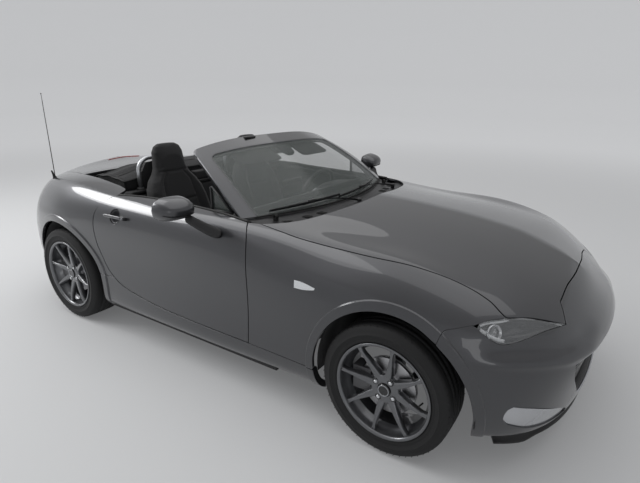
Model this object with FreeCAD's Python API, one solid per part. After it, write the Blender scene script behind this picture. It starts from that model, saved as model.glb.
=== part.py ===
import FreeCAD, Part
import math
import os

V = FreeCAD.Vector

# ---------------------------------------------------------------- driving dimensions (mm)
WHEELBASE = 2310.0
FRONT_OVERHANG = 775.0
REAR_OVERHANG = 830.0
BODY_WIDTH = 1735.0
HEADER_HEIGHT = 1197.0          # ground to the top of the windscreen header
FRONT_TRACK = 1496.0
REAR_TRACK = 1505.0

TYRE_RADIUS = 300.0
TYRE_WIDTH = 195.0
RIM_FLANGE_RADIUS = 219.0
RIM_WIDTH = 178.0
DISC_RADIUS = 128.0
ARCH_GAP = 60.0                 # wheel-arch edge to tyre
ARCH_AHEAD = 15.0               # arch centre ahead of each axle

SHUT_GAP = 6.0                  # round doors and lids
SEAM = 0.4                      # between fixed panels
SEAT_GAP = 0.3                  # pieces that rest on each other
RUN_GAP = 0.05                  # radial clearance of a pin in its bore
SKIN = 22.0                     # fixed outer panels
LID = 20.0                      # bonnet and boot lid
DOOR_THICKNESS = 76.0

LENGTH = FRONT_OVERHANG + WHEELBASE + REAR_OVERHANG
NOSE_X = LENGTH / 2
FRONT_AXLE_X = NOSE_X - FRONT_OVERHANG
REAR_AXLE_X = FRONT_AXLE_X - WHEELBASE

# The lines plan below is drawn for these sizes. Every place on the body is read from it
# through X, Y and Z, which stretch the plan to the driving dimensions.
PLAN_STATIONS = (1957.5, 1182.5, -1127.5, -1957.5)   # nose, front axle, rear axle, tail
PLAN_WIDTH = 1735.0
PLAN_HEIGHT = 1197.0


def X(x):
    """Plan station to the car's own length."""
    own = (NOSE_X, FRONT_AXLE_X, REAR_AXLE_X, -NOSE_X)
    for i in range(3):
        if x >= PLAN_STATIONS[i + 1] or i == 2:
            share = (PLAN_STATIONS[i] - x) / (PLAN_STATIONS[i] - PLAN_STATIONS[i + 1])
            return own[i] + share * (own[i + 1] - own[i])


def Y(y):
    return y * BODY_WIDTH / PLAN_WIDTH


def Z(z):
    return z * HEADER_HEIGHT / PLAN_HEIGHT


def P(x, y, z):
    """A point of the plan in the car's frame."""
    return V(X(x), Y(y), Z(z))


# ---------------------------------------------------------------- lines plan of the body skin
# Each level runs nose to tail at one height on the flank (L0 at the bottom edge, L7 at the
# shoulder) or along the top (T1, T2, and T3 on the centreline). The numbers are the poles of
# one cubic surface for the left half.
# nose, per level L0..T2: centre (x, z), then (x, y, z) at a third and two thirds of the corner
NOSE = (
    (1790, 150, 1762, 430, 152, 1640, 640, 165),
    (1862, 150, 1835, 440, 152, 1688, 700, 170),
    (1892, 210, 1862, 460, 215, 1708, 735, 240),
    (1908, 300, 1878, 470, 310, 1722, 752, 340),
    (1935, 400, 1900, 475, 410, 1730, 758, 445),
    (1967, 482, 1920, 470, 497, 1716, 752, 545),
    (1942, 545, 1886, 450, 562, 1674, 735, 630),
    (1885, 600, 1822, 420, 615, 1620, 705, 690),
    (1840, 655, 1780, 360, 665, 1600, 600, 735),
    (1800, 695, 1735, 250, 720, 1585, 380, 775),
)
NOSE_CENTRE = ((1765, 722), (1735, 740), (1680, 768), (1600, 797))      # T3 (x, z), nose to corner
# flank stations: x, half breadths L0..T2, heights L0..T3
FLANK = (
    (1480, (690, 765, 812, 834, 842, 838, 800, 715, 600, 340),
     (165, 168, 235, 340, 455, 575, 685, 768, 770, 812, 838)),
    (1330, (700, 785, 832, 850, 856, 850, 812, 700, 585, 340),
     (165, 168, 235, 345, 465, 590, 715, 818, 795, 842, 862)),
    (1182, (700, 790, 838, 856, 862, 856, 818, 690, 575, 335),
     (165, 168, 235, 345, 470, 605, 740, 848, 812, 862, 882)),
    (1000, (710, 790, 838, 854, 858, 850, 812, 685, 570, 330),
     (165, 168, 235, 345, 470, 605, 742, 850, 822, 878, 898)),
    (780, (740, 800, 836, 844, 842, 838, 806, 695, 575, 325),
     (165, 170, 240, 350, 475, 608, 735, 843, 832, 892, 912)),
    (400, (760, 812, 838, 824, 812, 818, 812, 752, 640, 330),
     (165, 172, 245, 355, 480, 610, 735, 862, 868, 905, 925)),
    (0, (760, 814, 840, 822, 808, 818, 828, 775, 680, 340),
     (165, 172, 245, 355, 480, 612, 735, 858, 885, 890, 890)),
    (-400, (760, 814, 840, 820, 808, 824, 840, 790, 690, 340),
     (165, 172, 245, 355, 480, 612, 738, 862, 885, 890, 890)),
    (-720, (755, 812, 838, 828, 828, 848, 862, 800, 690, 340),
     (165, 172, 245, 355, 482, 620, 750, 878, 902, 905, 905)),
    (-960, (740, 808, 838, 842, 852, 868, 868, 780, 660, 330),
     (168, 175, 248, 360, 490, 630, 765, 898, 922, 925, 925)),
    (-1128, (700, 790, 830, 850, 862, 872, 862, 760, 630, 320),
     (175, 180, 250, 365, 495, 635, 770, 902, 922, 925, 925)),
    (-1350, (680, 765, 803, 828, 838, 838, 812, 722, 600, 310),
     (190, 195, 260, 370, 495, 625, 755, 882, 902, 915, 918)),
    (-1560, (650, 725, 763, 788, 795, 787, 755, 672, 555, 300),
     (210, 215, 270, 375, 495, 615, 735, 850, 878, 900, 905)),
)
# tail, per level L0..T2: (x, y, z) at two thirds and a third of the corner, then centre (x, z)
TAIL = (
    (-1675, 580, 225, -1790, 400, 235, -1810, 235),
    (-1720, 630, 228, -1860, 440, 238, -1890, 238),
    (-1742, 662, 285, -1900, 455, 290, -1935, 290),
    (-1756, 685, 385, -1918, 468, 390, -1955, 390),
    (-1760, 690, 495, -1922, 472, 500, -1962, 500),
    (-1750, 680, 600, -1903, 462, 600, -1945, 600),
    (-1728, 652, 700, -1865, 440, 700, -1905, 705),
    (-1700, 595, 800, -1815, 405, 790, -1860, 800),
    (-1688, 490, 868, -1800, 330, 868, -1850, 868),
    (-1680, 290, 893, -1780, 200, 895, -1835, 895),
)
TAIL_CENTRE = ((-1670, 905), (-1740, 904), (-1790, 904), (-1815, 902))
CENTRE_STRIP = 170              # half breadth of the first pole column beside the centreline
CENTRE_TAPER = (1, 1, 1, 1, 1, 1, 1, 0.95, 0.8, 0.5)


def pole_columns():
    """Columns of poles from the nose centreline to the tail centreline, levels L0..T3."""
    nose_c, tail_c = NOSE_CENTRE, TAIL_CENTRE
    cols = [[(r[0], 0, r[1]) for r in NOSE] + [(nose_c[0][0], 0, nose_c[0][1])]]
    cols.append([(r[0], CENTRE_STRIP * w, r[1]) for r, w in zip(NOSE, CENTRE_TAPER)]
                + [(nose_c[1][0], 0, nose_c[1][1])])
    cols.append([r[2:5] for r in NOSE] + [(nose_c[2][0], 0, nose_c[2][1])])
    cols.append([r[5:8] for r in NOSE] + [(nose_c[3][0], 0, nose_c[3][1])])
    for x, breadths, heights in FLANK:
        cols.append([(x, y, z) for y, z in zip(breadths, heights)] + [(x, 0, heights[10])])
    cols.append([r[0:3] for r in TAIL] + [(tail_c[0][0], 0, tail_c[0][1])])
    cols.append([r[3:6] for r in TAIL] + [(tail_c[1][0], 0, tail_c[1][1])])
    cols.append([(r[6], CENTRE_STRIP * w, r[7]) for r, w in zip(TAIL, CENTRE_TAPER)]
                + [(tail_c[2][0], 0, tail_c[2][1])])
    cols.append([(r[6], 0, r[7]) for r in TAIL] + [(tail_c[3][0], 0, tail_c[3][1])])
    return cols


def skin_surface():
    poles = [[P(*p) for p in col] for col in pole_columns()]
    spans_u, spans_v = len(poles) - 3, len(poles[0]) - 3
    surface = Part.BSplineSurface()
    surface.buildFromPolesMultsKnots(
        poles,
        [4] + [1] * (spans_u - 1) + [4], [4] + [1] * (spans_v - 1) + [4],
        [float(i) for i in range(spans_u + 1)], [float(i) for i in range(spans_v + 1)],
        False, False, 3, 3)
    return surface, float(spans_u), float(spans_v)


SKIN_SURFACE, U_END, V_END = skin_surface()

# ---------------------------------------------------------------- reading places on the skin
# A place on the skin is named in one of three views: "s" side (x, z), "t" top (x, y),
# "f" front or rear (y, z).
VIEW_AXES = {"s": (0, 2), "t": (0, 1), "f": (1, 2)}
SEED_STEP = 0.25


def skin_seeds():
    seeds = []
    for i in range(int(U_END / SEED_STEP) + 1):
        for j in range(int(V_END / SEED_STEP) + 1):
            u, v = i * SEED_STEP, j * SEED_STEP
            seeds.append((u, v, SKIN_SURFACE.value(u, v)))
    return seeds


SEEDS = skin_seeds()


def to_frame(view, a, b):
    """The two plan coordinates of a view in the car's frame."""
    stretch = {"s": (X, Z), "t": (X, Y), "f": (Y, Z)}[view]
    return stretch[0](a), stretch[1](b)


def on_skin(view, a, b, tail=False):
    """Parameters (u, v) of the skin point seen at (a, b), in the car's frame, in a view."""
    i, j = VIEW_AXES[view]

    def miss(seed):
        u, v, p = seed
        if view == "t" and v < V_END * 0.5:
            return 1e12
        if view == "f" and (p[0] > 0) == tail:
            return 1e12
        return (p[i] - a) ** 2 + (p[j] - b) ** 2

    near = min(SEEDS, key=miss)[:2]
    u, v = near
    step = 1e-4
    for _ in range(30):
        u0, v0 = min(u, U_END - step), min(v, V_END - step)
        p = SKIN_SURFACE.value(u0, v0)
        pu = (SKIN_SURFACE.value(u0 + step, v0) - p) * (1 / step)
        pv = (SKIN_SURFACE.value(u0, v0 + step) - p) * (1 / step)
        ra, rb = a - p[i], b - p[j]
        det = pu[i] * pv[j] - pu[j] * pv[i]
        if abs(det) < 1e-9:
            break
        du = (ra * pv[j] - rb * pv[i]) / det
        dv = (pu[i] * rb - pu[j] * ra) / det
        reach = max(abs(du), abs(dv), 1.0)
        u = min(max(u0 + du / reach, 0.0), U_END)
        v = min(max(v0 + dv / reach, 0.0), V_END)
        if abs(du) + abs(dv) < 1e-7:
            break
    return u, v





def place(point):
    """Skin parameters of one named place, such as ("s", 436, 285); "r" looks at the tail."""
    view, a, b = point
    if view == "r":
        return on_skin("f", Y(a), Z(b), tail=True)
    if view == "S":
        return on_skin("s", a, b)
    fa, fb = to_frame(view, a, b)
    return on_skin(view, fa, fb)


class Line:
    """A smooth run of places on the skin, read by the share of its length."""

    def __init__(self, *points):
        self.uv = [place(p) for p in points]
        spots = [skin_point(uv) for uv in self.uv]
        self.at = [0.0]
        for p, q in zip(spots, spots[1:]):
            self.at.append(self.at[-1] + p.distanceToPoint(q))
        self.length = self.at[-1]
        self.at = [a / self.length for a in self.at]
        self.corners = []

    def slope(self, k, c):
        last = len(self.at) - 1
        a, b = max(k - 1, 0), min(k + 1, last)
        return (self.uv[b][c] - self.uv[a][c]) / (self.at[b] - self.at[a])

    def __call__(self, share):
        uv, at = self.uv, self.at
        i = 0
        while i < len(at) - 2 and share > at[i + 1]:
            i += 1
        span = at[i + 1] - at[i]
        t = (share - at[i]) / span
        out = []
        for c in (0, 1):
            a, b = uv[i][c], uv[i + 1][c]
            ma, mb = self.slope(i, c) * span, self.slope(i + 1, c) * span
            out.append((2 * t ** 3 - 3 * t ** 2 + 1) * a + (t ** 3 - 2 * t ** 2 + t) * ma
                       + (3 * t ** 2 - 2 * t ** 3) * b + (t ** 3 - t ** 2) * mb)
        return out


class Chain:
    """Lines end to end, with a sharp corner where two meet. A line in brackets runs backwards."""

    def __init__(self, *lines):
        self.lines = [(x[0], True) if isinstance(x, list) else (x, False) for x in lines]
        self.length = sum(x.length for x, _ in self.lines)
        self.at, self.corners = [0.0], []
        for line, backwards in self.lines:
            start, share = self.at[-1], line.length / self.length
            inner = [1 - c for c in line.corners] if backwards else line.corners
            self.corners += [start + c * share for c in inner]
            self.at.append(start + share)
        self.corners += self.at[1:-1]

    def __call__(self, share):
        i = 0
        while i < len(self.lines) - 1 and share > self.at[i + 1]:
            i += 1
        line, backwards = self.lines[i]
        t = (share - self.at[i]) / (self.at[i + 1] - self.at[i])
        return line(1 - t) if backwards else line(t)


def skin_point(uv):
    """The skin at (u, v). Past the centreline it goes on as its own mirror image."""
    u, v = uv
    side = 1
    if u < 0:
        u, side = -u, -side
    if u > U_END:
        u, side = 2 * U_END - u, -side
    if v > V_END:
        v, side = 2 * V_END - v, -side
    p = SKIN_SURFACE.value(u, max(v, 0.0))
    return V(p.x, p.y * side, p.z)


def coons(low, high, fore, aft):
    """Places inside four lines: low and high run aft to fore, fore and aft run upwards."""
    corner = {(0, 0): low(0), (1, 0): low(1), (0, 1): high(0), (1, 1): high(1)}

    def inside(s, t):
        a, b, c, d = low(s), high(s), aft(t), fore(t)
        out = []
        for k in (0, 1):
            flat = ((1 - s) * (1 - t) * corner[0, 0][k] + s * (1 - t) * corner[1, 0][k]
                    + (1 - s) * t * corner[0, 1][k] + s * t * corner[1, 1][k])
            out.append((1 - t) * a[k] + t * b[k] + (1 - s) * c[k] + s * d[k] - flat)
        return skin_point(out)
    return inside


WIDEST_INSET = 0.12             # share of a panel that a gap may take at a skewed corner


def inset_range(inside, across, share, gaps):
    """The range of s (or t) left after gaps are taken off both ends at one share."""
    step = 1e-3
    ends = []
    for end, gap in zip((0.0, 1.0), gaps):
        inner = end + step if end == 0.0 else end - step
        other = share + step if share < 0.5 else share - step
        if across == "s":
            p, q, r = inside(end, share), inside(inner, share), inside(end, other)
        else:
            p, q, r = inside(share, end), inside(share, inner), inside(other, end)
        along = (r - p)
        reach = (q - p).cross(along).Length / max(along.Length, 1e-9) / step
        ends.append(end + (1 if end == 0.0 else -1) * min(gap / max(reach, 1e-6), WIDEST_INSET))
    return ends


CORNER_STEP = 8.0               # grid lines are drawn this close on both sides of a corner


def shares(count, *lines):
    """Even shares of a length, with lines added at and beside each corner."""
    out = [i / (count - 1) for i in range(count)]
    for line in lines:
        step = CORNER_STEP / line.length
        for corner in line.corners:
            out = [s for s in out if abs(s - corner) > 2.5 * step or s in (0.0, 1.0)]
            out += [corner - step, corner, corner + step]
    return sorted(out)


def skin_grid(low, high, fore, aft, gaps, columns, rows):
    """A grid of skin points; gaps are taken off (low, high, fore, aft)."""
    inside = coons(low, high, fore, aft)
    grid = []
    for s in shares(columns, low, high):
        t0, t1 = inset_range(inside, "t", s, gaps[0:2])
        column = []
        for row in shares(rows, fore, aft):
            t = t0 + (t1 - t0) * row
            s0, s1 = inset_range(inside, "s", min(max(t, 0.0), 1.0), (gaps[3], gaps[2]))
            column.append(inside(s0 + (s1 - s0) * s, t))
        grid.append(column)
    return grid


def onto_centre(grid, edge):
    """Lay one edge of a grid exactly on the centreline."""
    cells = {"high": [(i, -1) for i in range(len(grid))],
             "fore": [(-1, j) for j in range(len(grid[0]))],
             "aft": [(0, j) for j in range(len(grid[0]))]}.get(edge, [])
    for i, j in cells:
        grid[i][j] = V(grid[i][j].x, 0, grid[i][j].z)
    return grid


def normals(grid):
    """Outward unit normals of a grid whose columns run fore and whose rows run up."""
    out = []
    last_i, last_j = len(grid) - 1, len(grid[0]) - 1
    for i in range(last_i + 1):
        line = []
        for j in range(last_j + 1):
            a = grid[min(i + 1, last_i)][j] - grid[max(i - 1, 0)][j]
            b = grid[i][min(j + 1, last_j)] - grid[i][max(j - 1, 0)]
            n = b.cross(a)
            line.append(n.normalize())
        out.append(line)
    return out


def cubic_knots(count):
    return [4] + [1] * (count - 4) + [4], [float(i) for i in range(count - 2)]


def draped(grid):
    """A cubic surface with the grid as its poles: it keeps the edges and never swings past them."""
    mults_u, knots_u = cubic_knots(len(grid))
    mults_v, knots_v = cubic_knots(len(grid[0]))
    surface = Part.BSplineSurface()
    surface.buildFromPolesMultsKnots(grid, mults_u, mults_v, knots_u, knots_v, False, False, 3, 3)
    return surface.toShape()


def rim_face(outer_edge, inner_edge):
    """The straight-ruled face between matching edges of two draped surfaces."""
    mults, knots = cubic_knots(len(outer_edge))
    surface = Part.BSplineSurface()
    surface.buildFromPolesMultsKnots([list(pair) for pair in zip(outer_edge, inner_edge)],
                                     mults, [2, 2], knots, [0.0, 1.0], False, False, 3, 1)
    return surface.toShape()


def between(outer, inner):
    """A closed solid between two grids of the same size."""
    faces = [draped(outer), draped(inner),
             rim_face(outer[0], inner[0]), rim_face(outer[-1], inner[-1]),
             rim_face([c[0] for c in outer], [c[0] for c in inner]),
             rim_face([c[-1] for c in outer], [c[-1] for c in inner])]
    shell = Part.makeShell(faces)
    shell.sewShape(1e-3)
    solid = Part.Solid(shell)
    if solid.Volume < 0:
        solid.reverse()
    return solid


def slab(outer, core, thickness, centre_edge=None):
    """A closed solid between an outer grid and a core grid sunk along its normals."""
    inner = [[p - n * thickness for p, n in zip(col, ns)]
             for col, ns in zip(core, normals(core))]
    return between(outer, onto_centre(inner, centre_edge))


def mirrored(shape):
    return shape.mirror(V(0, 0, 0), V(0, 1, 0))




# ---------------------------------------------------------------- shut lines of the left flank
def arch(axle_x, angle):
    """A place on a wheel-arch edge, by its angle from straight ahead, in the car's frame."""
    radius = TYRE_RADIUS + ARCH_GAP
    turn = math.radians(angle)
    return ("S", axle_x + ARCH_AHEAD + radius * math.cos(turn), TYRE_RADIUS + radius * math.sin(turn))


def arch_run(axle_x, start, end, steps):
    return [arch(axle_x, start + (end - start) * i / steps) for i in range(steps + 1)]


def arch_foot(axle_x, z, side):
    """The arch edge at one height below the middle, ahead of the wheel (+1) or behind it (-1)."""
    radius = TYRE_RADIUS + ARCH_GAP
    rise = Z(z) - TYRE_RADIUS
    return ("S", axle_x + ARCH_AHEAD + side * math.sqrt(radius ** 2 - rise ** 2), Z(z))


SILL_TOP = 290
SKIRT = 175                                   # bottom edge of the sills
BUMPER_EDGE = 202                             # front bumper's bottom edge, above the black lip
TAIL_EDGE = 235                               # rear bumper's bottom edge
FENDER_ARCH_END = 55                          # angle where fender meets bumper
QUARTER_ARCH_END = 140
QUARTER_FOOT = 14

DOOR_HEEL = ("s", -640, 385)
DOOR_TOP_REAR = ("t", -604, 756)
DOOR_TOP_FRONT = ("t", 352, 704)
DOOR_TOE = ("s", 436, SILL_TOP)
BONNET_HEEL = ("t", 416, 688)
HEADLIGHT_PEAK = ("t", 1613, 677)
HEADLIGHT_OUTER = ("s", 1522, 676)
HEADLIGHT_INNER = ("f", 456, 617)
NOSE_CORNER = ("f", 375, 671)
LAMP_FOOT = ("r", 640, 640)
LAMP_HEAD = ("r", 600, 785)
LID_SHOULDER = ("r", 512, 792)
LID_FOOT = ("r", 498, 640)

door_front = Line(DOOR_TOE, ("s", 437, 464), ("s", 436, 622), ("s", 422, 745), ("s", 392, 822),
                  DOOR_TOP_FRONT)
door_rear = Line(DOOR_HEEL, ("s", -690, 435), ("s", -721, 515), ("s", -737, 600),
                 ("s", -721, 761), ("s", -693, 820), ("t", -640, 785), DOOR_TOP_REAR)
door_low = Line(DOOR_HEEL, ("s", -575, 352), ("s", -491, 332), ("s", -275, 304), ("s", 0, 292),
                ("s", 200, SILL_TOP), DOOR_TOE)
door_high = Line(DOOR_TOP_REAR, ("t", -457, 719), ("t", -313, 698), ("t", -159, 689),
                 ("t", 0, 688), ("t", 180, 692), DOOR_TOP_FRONT)

toe_run = Line(DOOR_TOE, ("s", 560, SILL_TOP), ("s", 700, SILL_TOP),
               arch_foot(FRONT_AXLE_X, SILL_TOP, -1))
fender_arch = Line(arch_foot(FRONT_AXLE_X, SILL_TOP, -1),
                   *arch_run(FRONT_AXLE_X, 170, FENDER_ARCH_END, 10))
fender_seam = Line(arch(FRONT_AXLE_X, FENDER_ARCH_END), ("s", 1424, 645), ("s", 1463, 660),
                   HEADLIGHT_OUTER)
fender_tip = Line(HEADLIGHT_OUTER, ("t", 1565, 731), HEADLIGHT_PEAK)
cowl_tip = Line(DOOR_TOP_FRONT, BONNET_HEEL)
bonnet_side = Line(BONNET_HEEL, ("t", 550, 697), ("t", 674, 701), ("t", 886, 698),
                   ("t", 1080, 700), ("t", 1255, 684), ("t", 1419, 666), ("t", 1541, 667),
                   HEADLIGHT_PEAK)

lamp_top = Line(HEADLIGHT_PEAK, ("t", 1667, 610), ("t", 1713, 556), ("t", 1756, 508),
                HEADLIGHT_INNER)
lamp_under = Line(HEADLIGHT_OUTER, ("s", 1551, 654), ("s", 1604, 623), ("s", 1634, 616),
                  ("s", 1676, 622), ("f", 582, 628), HEADLIGHT_INNER)
nose_side = Line(HEADLIGHT_INNER, ("f", 411, 646), NOSE_CORNER)
nose_top = Line(NOSE_CORNER, ("t", 1759, 290), ("t", 1763, 216), ("t", 1775, 63), ("t", 1777, 0))
bonnet_heel = Line(BONNET_HEEL, ("t", 474, 649), ("t", 540, 575), ("t", 592, 479),
                   ("t", 640, 339), ("t", 674, 193), ("t", 690, 0))
bonnet_centre = Line(("t", 690, 0), ("t", 900, 0), ("t", 1200, 0), ("t", 1500, 0), ("t", 1777, 0))

bumper_low = Line(arch_foot(FRONT_AXLE_X, BUMPER_EDGE, 1), ("s", 1631, BUMPER_EDGE),
                  ("f", 660, BUMPER_EDGE), ("f", 540, BUMPER_EDGE), ("f", 373, BUMPER_EDGE),
                  ("f", 180, BUMPER_EDGE), ("f", 0, BUMPER_EDGE))
bumper_arch = Line(arch_foot(FRONT_AXLE_X, BUMPER_EDGE, 1),
                   *arch_run(FRONT_AXLE_X, 0, FENDER_ARCH_END, 5))
bumper_centre = Line(("f", 0, BUMPER_EDGE), ("f", 0, 300), ("f", 0, 400), ("f", 0, 500),
                     ("f", 0, 600), ("f", 0, 680), ("t", 1777, 0))

lens_low = Line(("s", 1530, 668), ("s", 1551, 652), ("s", 1604, 623), ("s", 1634, 616),
                ("s", 1676, 622), ("f", 582, 628), ("f", 500, 621))
lens_high = Line(("s", 1535, 682), ("t", 1565, 731), HEADLIGHT_PEAK, ("t", 1667, 610),
                 ("t", 1713, 556), ("f", 500, 635))
lens_aft = Line(("s", 1530, 668), ("s", 1535, 682))
lens_fore = Line(("f", 500, 621), ("f", 500, 635))

sill_low = Line(arch_foot(REAR_AXLE_X, SKIRT, 1), ("s", -500, SKIRT), ("s", 0, SKIRT),
                ("s", 500, SKIRT), arch_foot(FRONT_AXLE_X, SKIRT, -1))
heel_run = Line(arch(REAR_AXLE_X, QUARTER_FOOT), DOOR_HEEL)
sill_aft = Line(arch_foot(REAR_AXLE_X, SKIRT, 1), arch_foot(REAR_AXLE_X, 240, 1),
                arch(REAR_AXLE_X, 0), arch(REAR_AXLE_X, QUARTER_FOOT))
sill_fore = Line(arch_foot(FRONT_AXLE_X, SKIRT, -1), arch_foot(FRONT_AXLE_X, 235, -1),
                 arch_foot(FRONT_AXLE_X, SILL_TOP, -1))

quarter_arch = Line(*arch_run(REAR_AXLE_X, QUARTER_ARCH_END, QUARTER_FOOT, 12))
quarter_seam = Line(arch(REAR_AXLE_X, QUARTER_ARCH_END), ("s", -1500, 565), ("s", -1620, 600),
                    LAMP_FOOT)
lamp_side = Line(LAMP_FOOT, ("r", 636, 710), LAMP_HEAD)
lamp_brow = Line(LAMP_HEAD, ("r", 555, 800), LID_SHOULDER)
lid_side = Line(LID_SHOULDER, ("t", -1740, 508), ("t", -1600, 530), ("t", -1400, 565),
                ("t", -1240, 603))
hood_side = Line(("t", -1240, 603), ("t", -1100, 628), ("t", -950, 640), ("t", -820, 650),
                 ("t", -700, 664), ("t", -632, 692), DOOR_TOP_REAR)

tail_low = Line(("r", 0, TAIL_EDGE), ("r", 250, TAIL_EDGE), ("r", 440, TAIL_EDGE + 4),
                ("r", 600, TAIL_EDGE + 8), ("s", -1600, TAIL_EDGE + 8),
                arch_foot(REAR_AXLE_X, TAIL_EDGE + 8, -1))
tail_brow = Line(("r", 0, 640), ("r", 250, 640), LID_FOOT, ("r", 580, 640), LAMP_FOOT)
tail_arch = Line(arch_foot(REAR_AXLE_X, TAIL_EDGE + 8, -1),
                 *arch_run(REAR_AXLE_X, 180, QUARTER_ARCH_END, 3))
tail_centre = Line(("r", 0, TAIL_EDGE), ("r", 0, 350), ("r", 0, 500), ("r", 0, 640))

tail_lamp_low = Line(LID_FOOT, ("r", 580, 640), LAMP_FOOT)
tail_lamp_aft = Line(LID_FOOT, ("r", 506, 715), LID_SHOULDER)

lid_centre = Line(("r", 0, 640), ("r", 0, 700), ("r", 0, 780), ("r", 0, 850), ("t", -1820, 0),
                  ("t", -1740, 0), ("t", -1600, 0), ("t", -1400, 0), ("t", -1240, 0))
lid_foot = Line(LID_FOOT, ("r", 250, 640), ("r", 0, 640))
lid_fore = Line(("t", -1240, 603), ("t", -1240, 400), ("t", -1240, 200), ("t", -1240, 0))

deck_low = Line(("t", -1240, 603), ("t", -1192, 612))
deck_centre = Line(("t", -1240, 0), ("t", -1192, 0))
deck_fore = Line(("t", -1192, 612), ("t", -1192, 400), ("t", -1192, 200), ("t", -1192, 0))

# name: low, high, fore, aft lines, then the gaps left there, thickness, extra bevel at the inner
# face (low, high, fore, aft), columns, rows
G, S = SHUT_GAP / 2, SEAM / 2
PANELS = {
    "front_fender": (Chain(toe_run, fender_arch), Chain(cowl_tip, bonnet_side),
                     Chain(fender_seam, fender_tip), door_front,
                     (S, G, S, G), SKIN, (0, 4, 0, 18), 36, 12, None),
    "door": (door_low, door_high, door_front, door_rear,
             (G, G, G, G), DOOR_THICKNESS, (18, 0, 0, 6), 24, 18, None),
    "rear_quarter": (quarter_arch, Chain(lid_side, hood_side, [door_rear]), heel_run,
                     Chain(quarter_seam, lamp_side, lamp_brow),
                     (S, G, S, S), SKIN, (0, 8, 0, 0), 44, 12, None),
    "sill": (sill_low, Chain(heel_run, door_low, toe_run), sill_fore, sill_aft,
             (0, G, S, S), 80.0, (0, 0, 0, 0), 30, 6, None),
    "front_bumper": (bumper_low, Chain(fender_seam, lamp_under, nose_side, nose_top),
                     bumper_centre, bumper_arch,
                     (S, S, 0, 0), SKIN, (0, 0, 0, 0), 30, 14, "fore"),
    "bonnet": (Chain(bonnet_side, lamp_top), bonnet_centre, Chain(nose_side, nose_top), bonnet_heel,
               (G, 0, 2 * G, G), LID, (4, 0, 4, 0), 30, 16, "high"),
    "headlight": (lens_low, lens_high, lens_fore, lens_aft,
                  (S, G, S, S), 40.0, (0, 0, 0, 0), 16, 6, None),
    "rear_bumper": (tail_low, Chain(tail_brow, [quarter_seam]), tail_arch, tail_centre,
                    (0, S, S, 0), SKIN, (0, 0, 0, 0), 28, 10, "aft"),
    "tail_lamp": (tail_lamp_low, Chain([lamp_brow]), lamp_side, tail_lamp_aft,
                  (S, S, S, G), 40.0, (0, 0, 0, 4), 8, 8, None),
    "boot_lid": (Chain(tail_lamp_aft, lid_side), lid_centre, lid_fore, lid_foot,
                 (G, 0, G, 2 * G), LID, (2, 0, 0, 2), 34, 14, "high"),
    "rear_deck": (deck_low, deck_centre, deck_fore, lid_fore,
                  (G, 0, S, G), 14.0, (0, 0, 0, 0), 6, 14, "high"),
}


def panel_grids(name):
    low, high, fore, aft, gaps, thickness, bevel, columns, rows, centre_edge = PANELS[name]
    outer = skin_grid(low, high, fore, aft, gaps, columns, rows)
    core_gaps = [g + b for g, b in zip(gaps, bevel)]
    core = skin_grid(low, high, fore, aft, core_gaps, columns, rows)
    return onto_centre(outer, centre_edge), onto_centre(core, centre_edge), thickness, centre_edge


def panel(name):
    return slab(*panel_grids(name))


def whole(half):
    """A panel that crosses the centreline, from its left half."""
    joined = half.fuse(mirrored(half))
    return joined.removeSplitter()


# ---------------------------------------------------------------- plain shapes
def box(x0, x1, y0, y1, z0, z1):
    return Part.makeBox(x1 - x0, y1 - y0, z1 - z0, V(x0, y0, z0))


def plan_box(x0, x1, y0, y1, z0, z1):
    """A box whose corners are places of the plan."""
    return box(X(x0), X(x1), Y(y0), Y(y1), Z(z0), Z(z1))


def rod(start, end, radius):
    way = end - start
    return Part.makeCylinder(radius, way.Length, start, way)


def side_prism(outline, y0, y1):
    """A prism across the car from a closed outline of own-frame (x, z) points."""
    wire = Part.makePolygon([V(x, y0, z) for x, z in outline + outline[:1]])
    return Part.Face(wire).extrude(V(0, y1 - y0, 0))


def plan_prism(outline, z0, z1):
    wire = Part.makePolygon([V(x, y, z0) for x, y in outline + outline[:1]])
    return Part.Face(wire).extrude(V(0, 0, z1 - z0))


def ring(profile, centre):
    """A solid of revolution about the Y line through centre, from (radius, y offset) points."""
    points = [V(centre.x + r, centre.y + y, centre.z) for r, y in profile + profile[:1]]
    return Part.Face(Part.makePolygon(points)).revolve(centre, V(0, 1, 0), 360)


def both(make, *args):
    left = make(*args)
    return left, mirrored(left)


# ---------------------------------------------------------------- wheels, hubs and brakes
HUB_FACE = 45.0                 # wheel mounting face, outboard of the tyre's middle
SPOKE_FACE = 78.0               # outer face of the spokes
HUB_PLATE = 12.0
HUB_RADIUS = 72.0
SPINDLE_RADIUS = 24.0
BARREL_RADIUS = 196.0
BARREL_WALL = 7.0
SPOKES = 8
SPOKE_WIDTH = 30.0
KINGPIN_IN = 60.0               # steering axis, inboard of the tyre's middle
KINGPIN_RADIUS = 9.0
BRAKE_GAP = 6.0
DISC_THICKNESS = 20.0
DISC_Y = 12.0                   # disc's inner face, outboard of the tyre's middle


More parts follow.
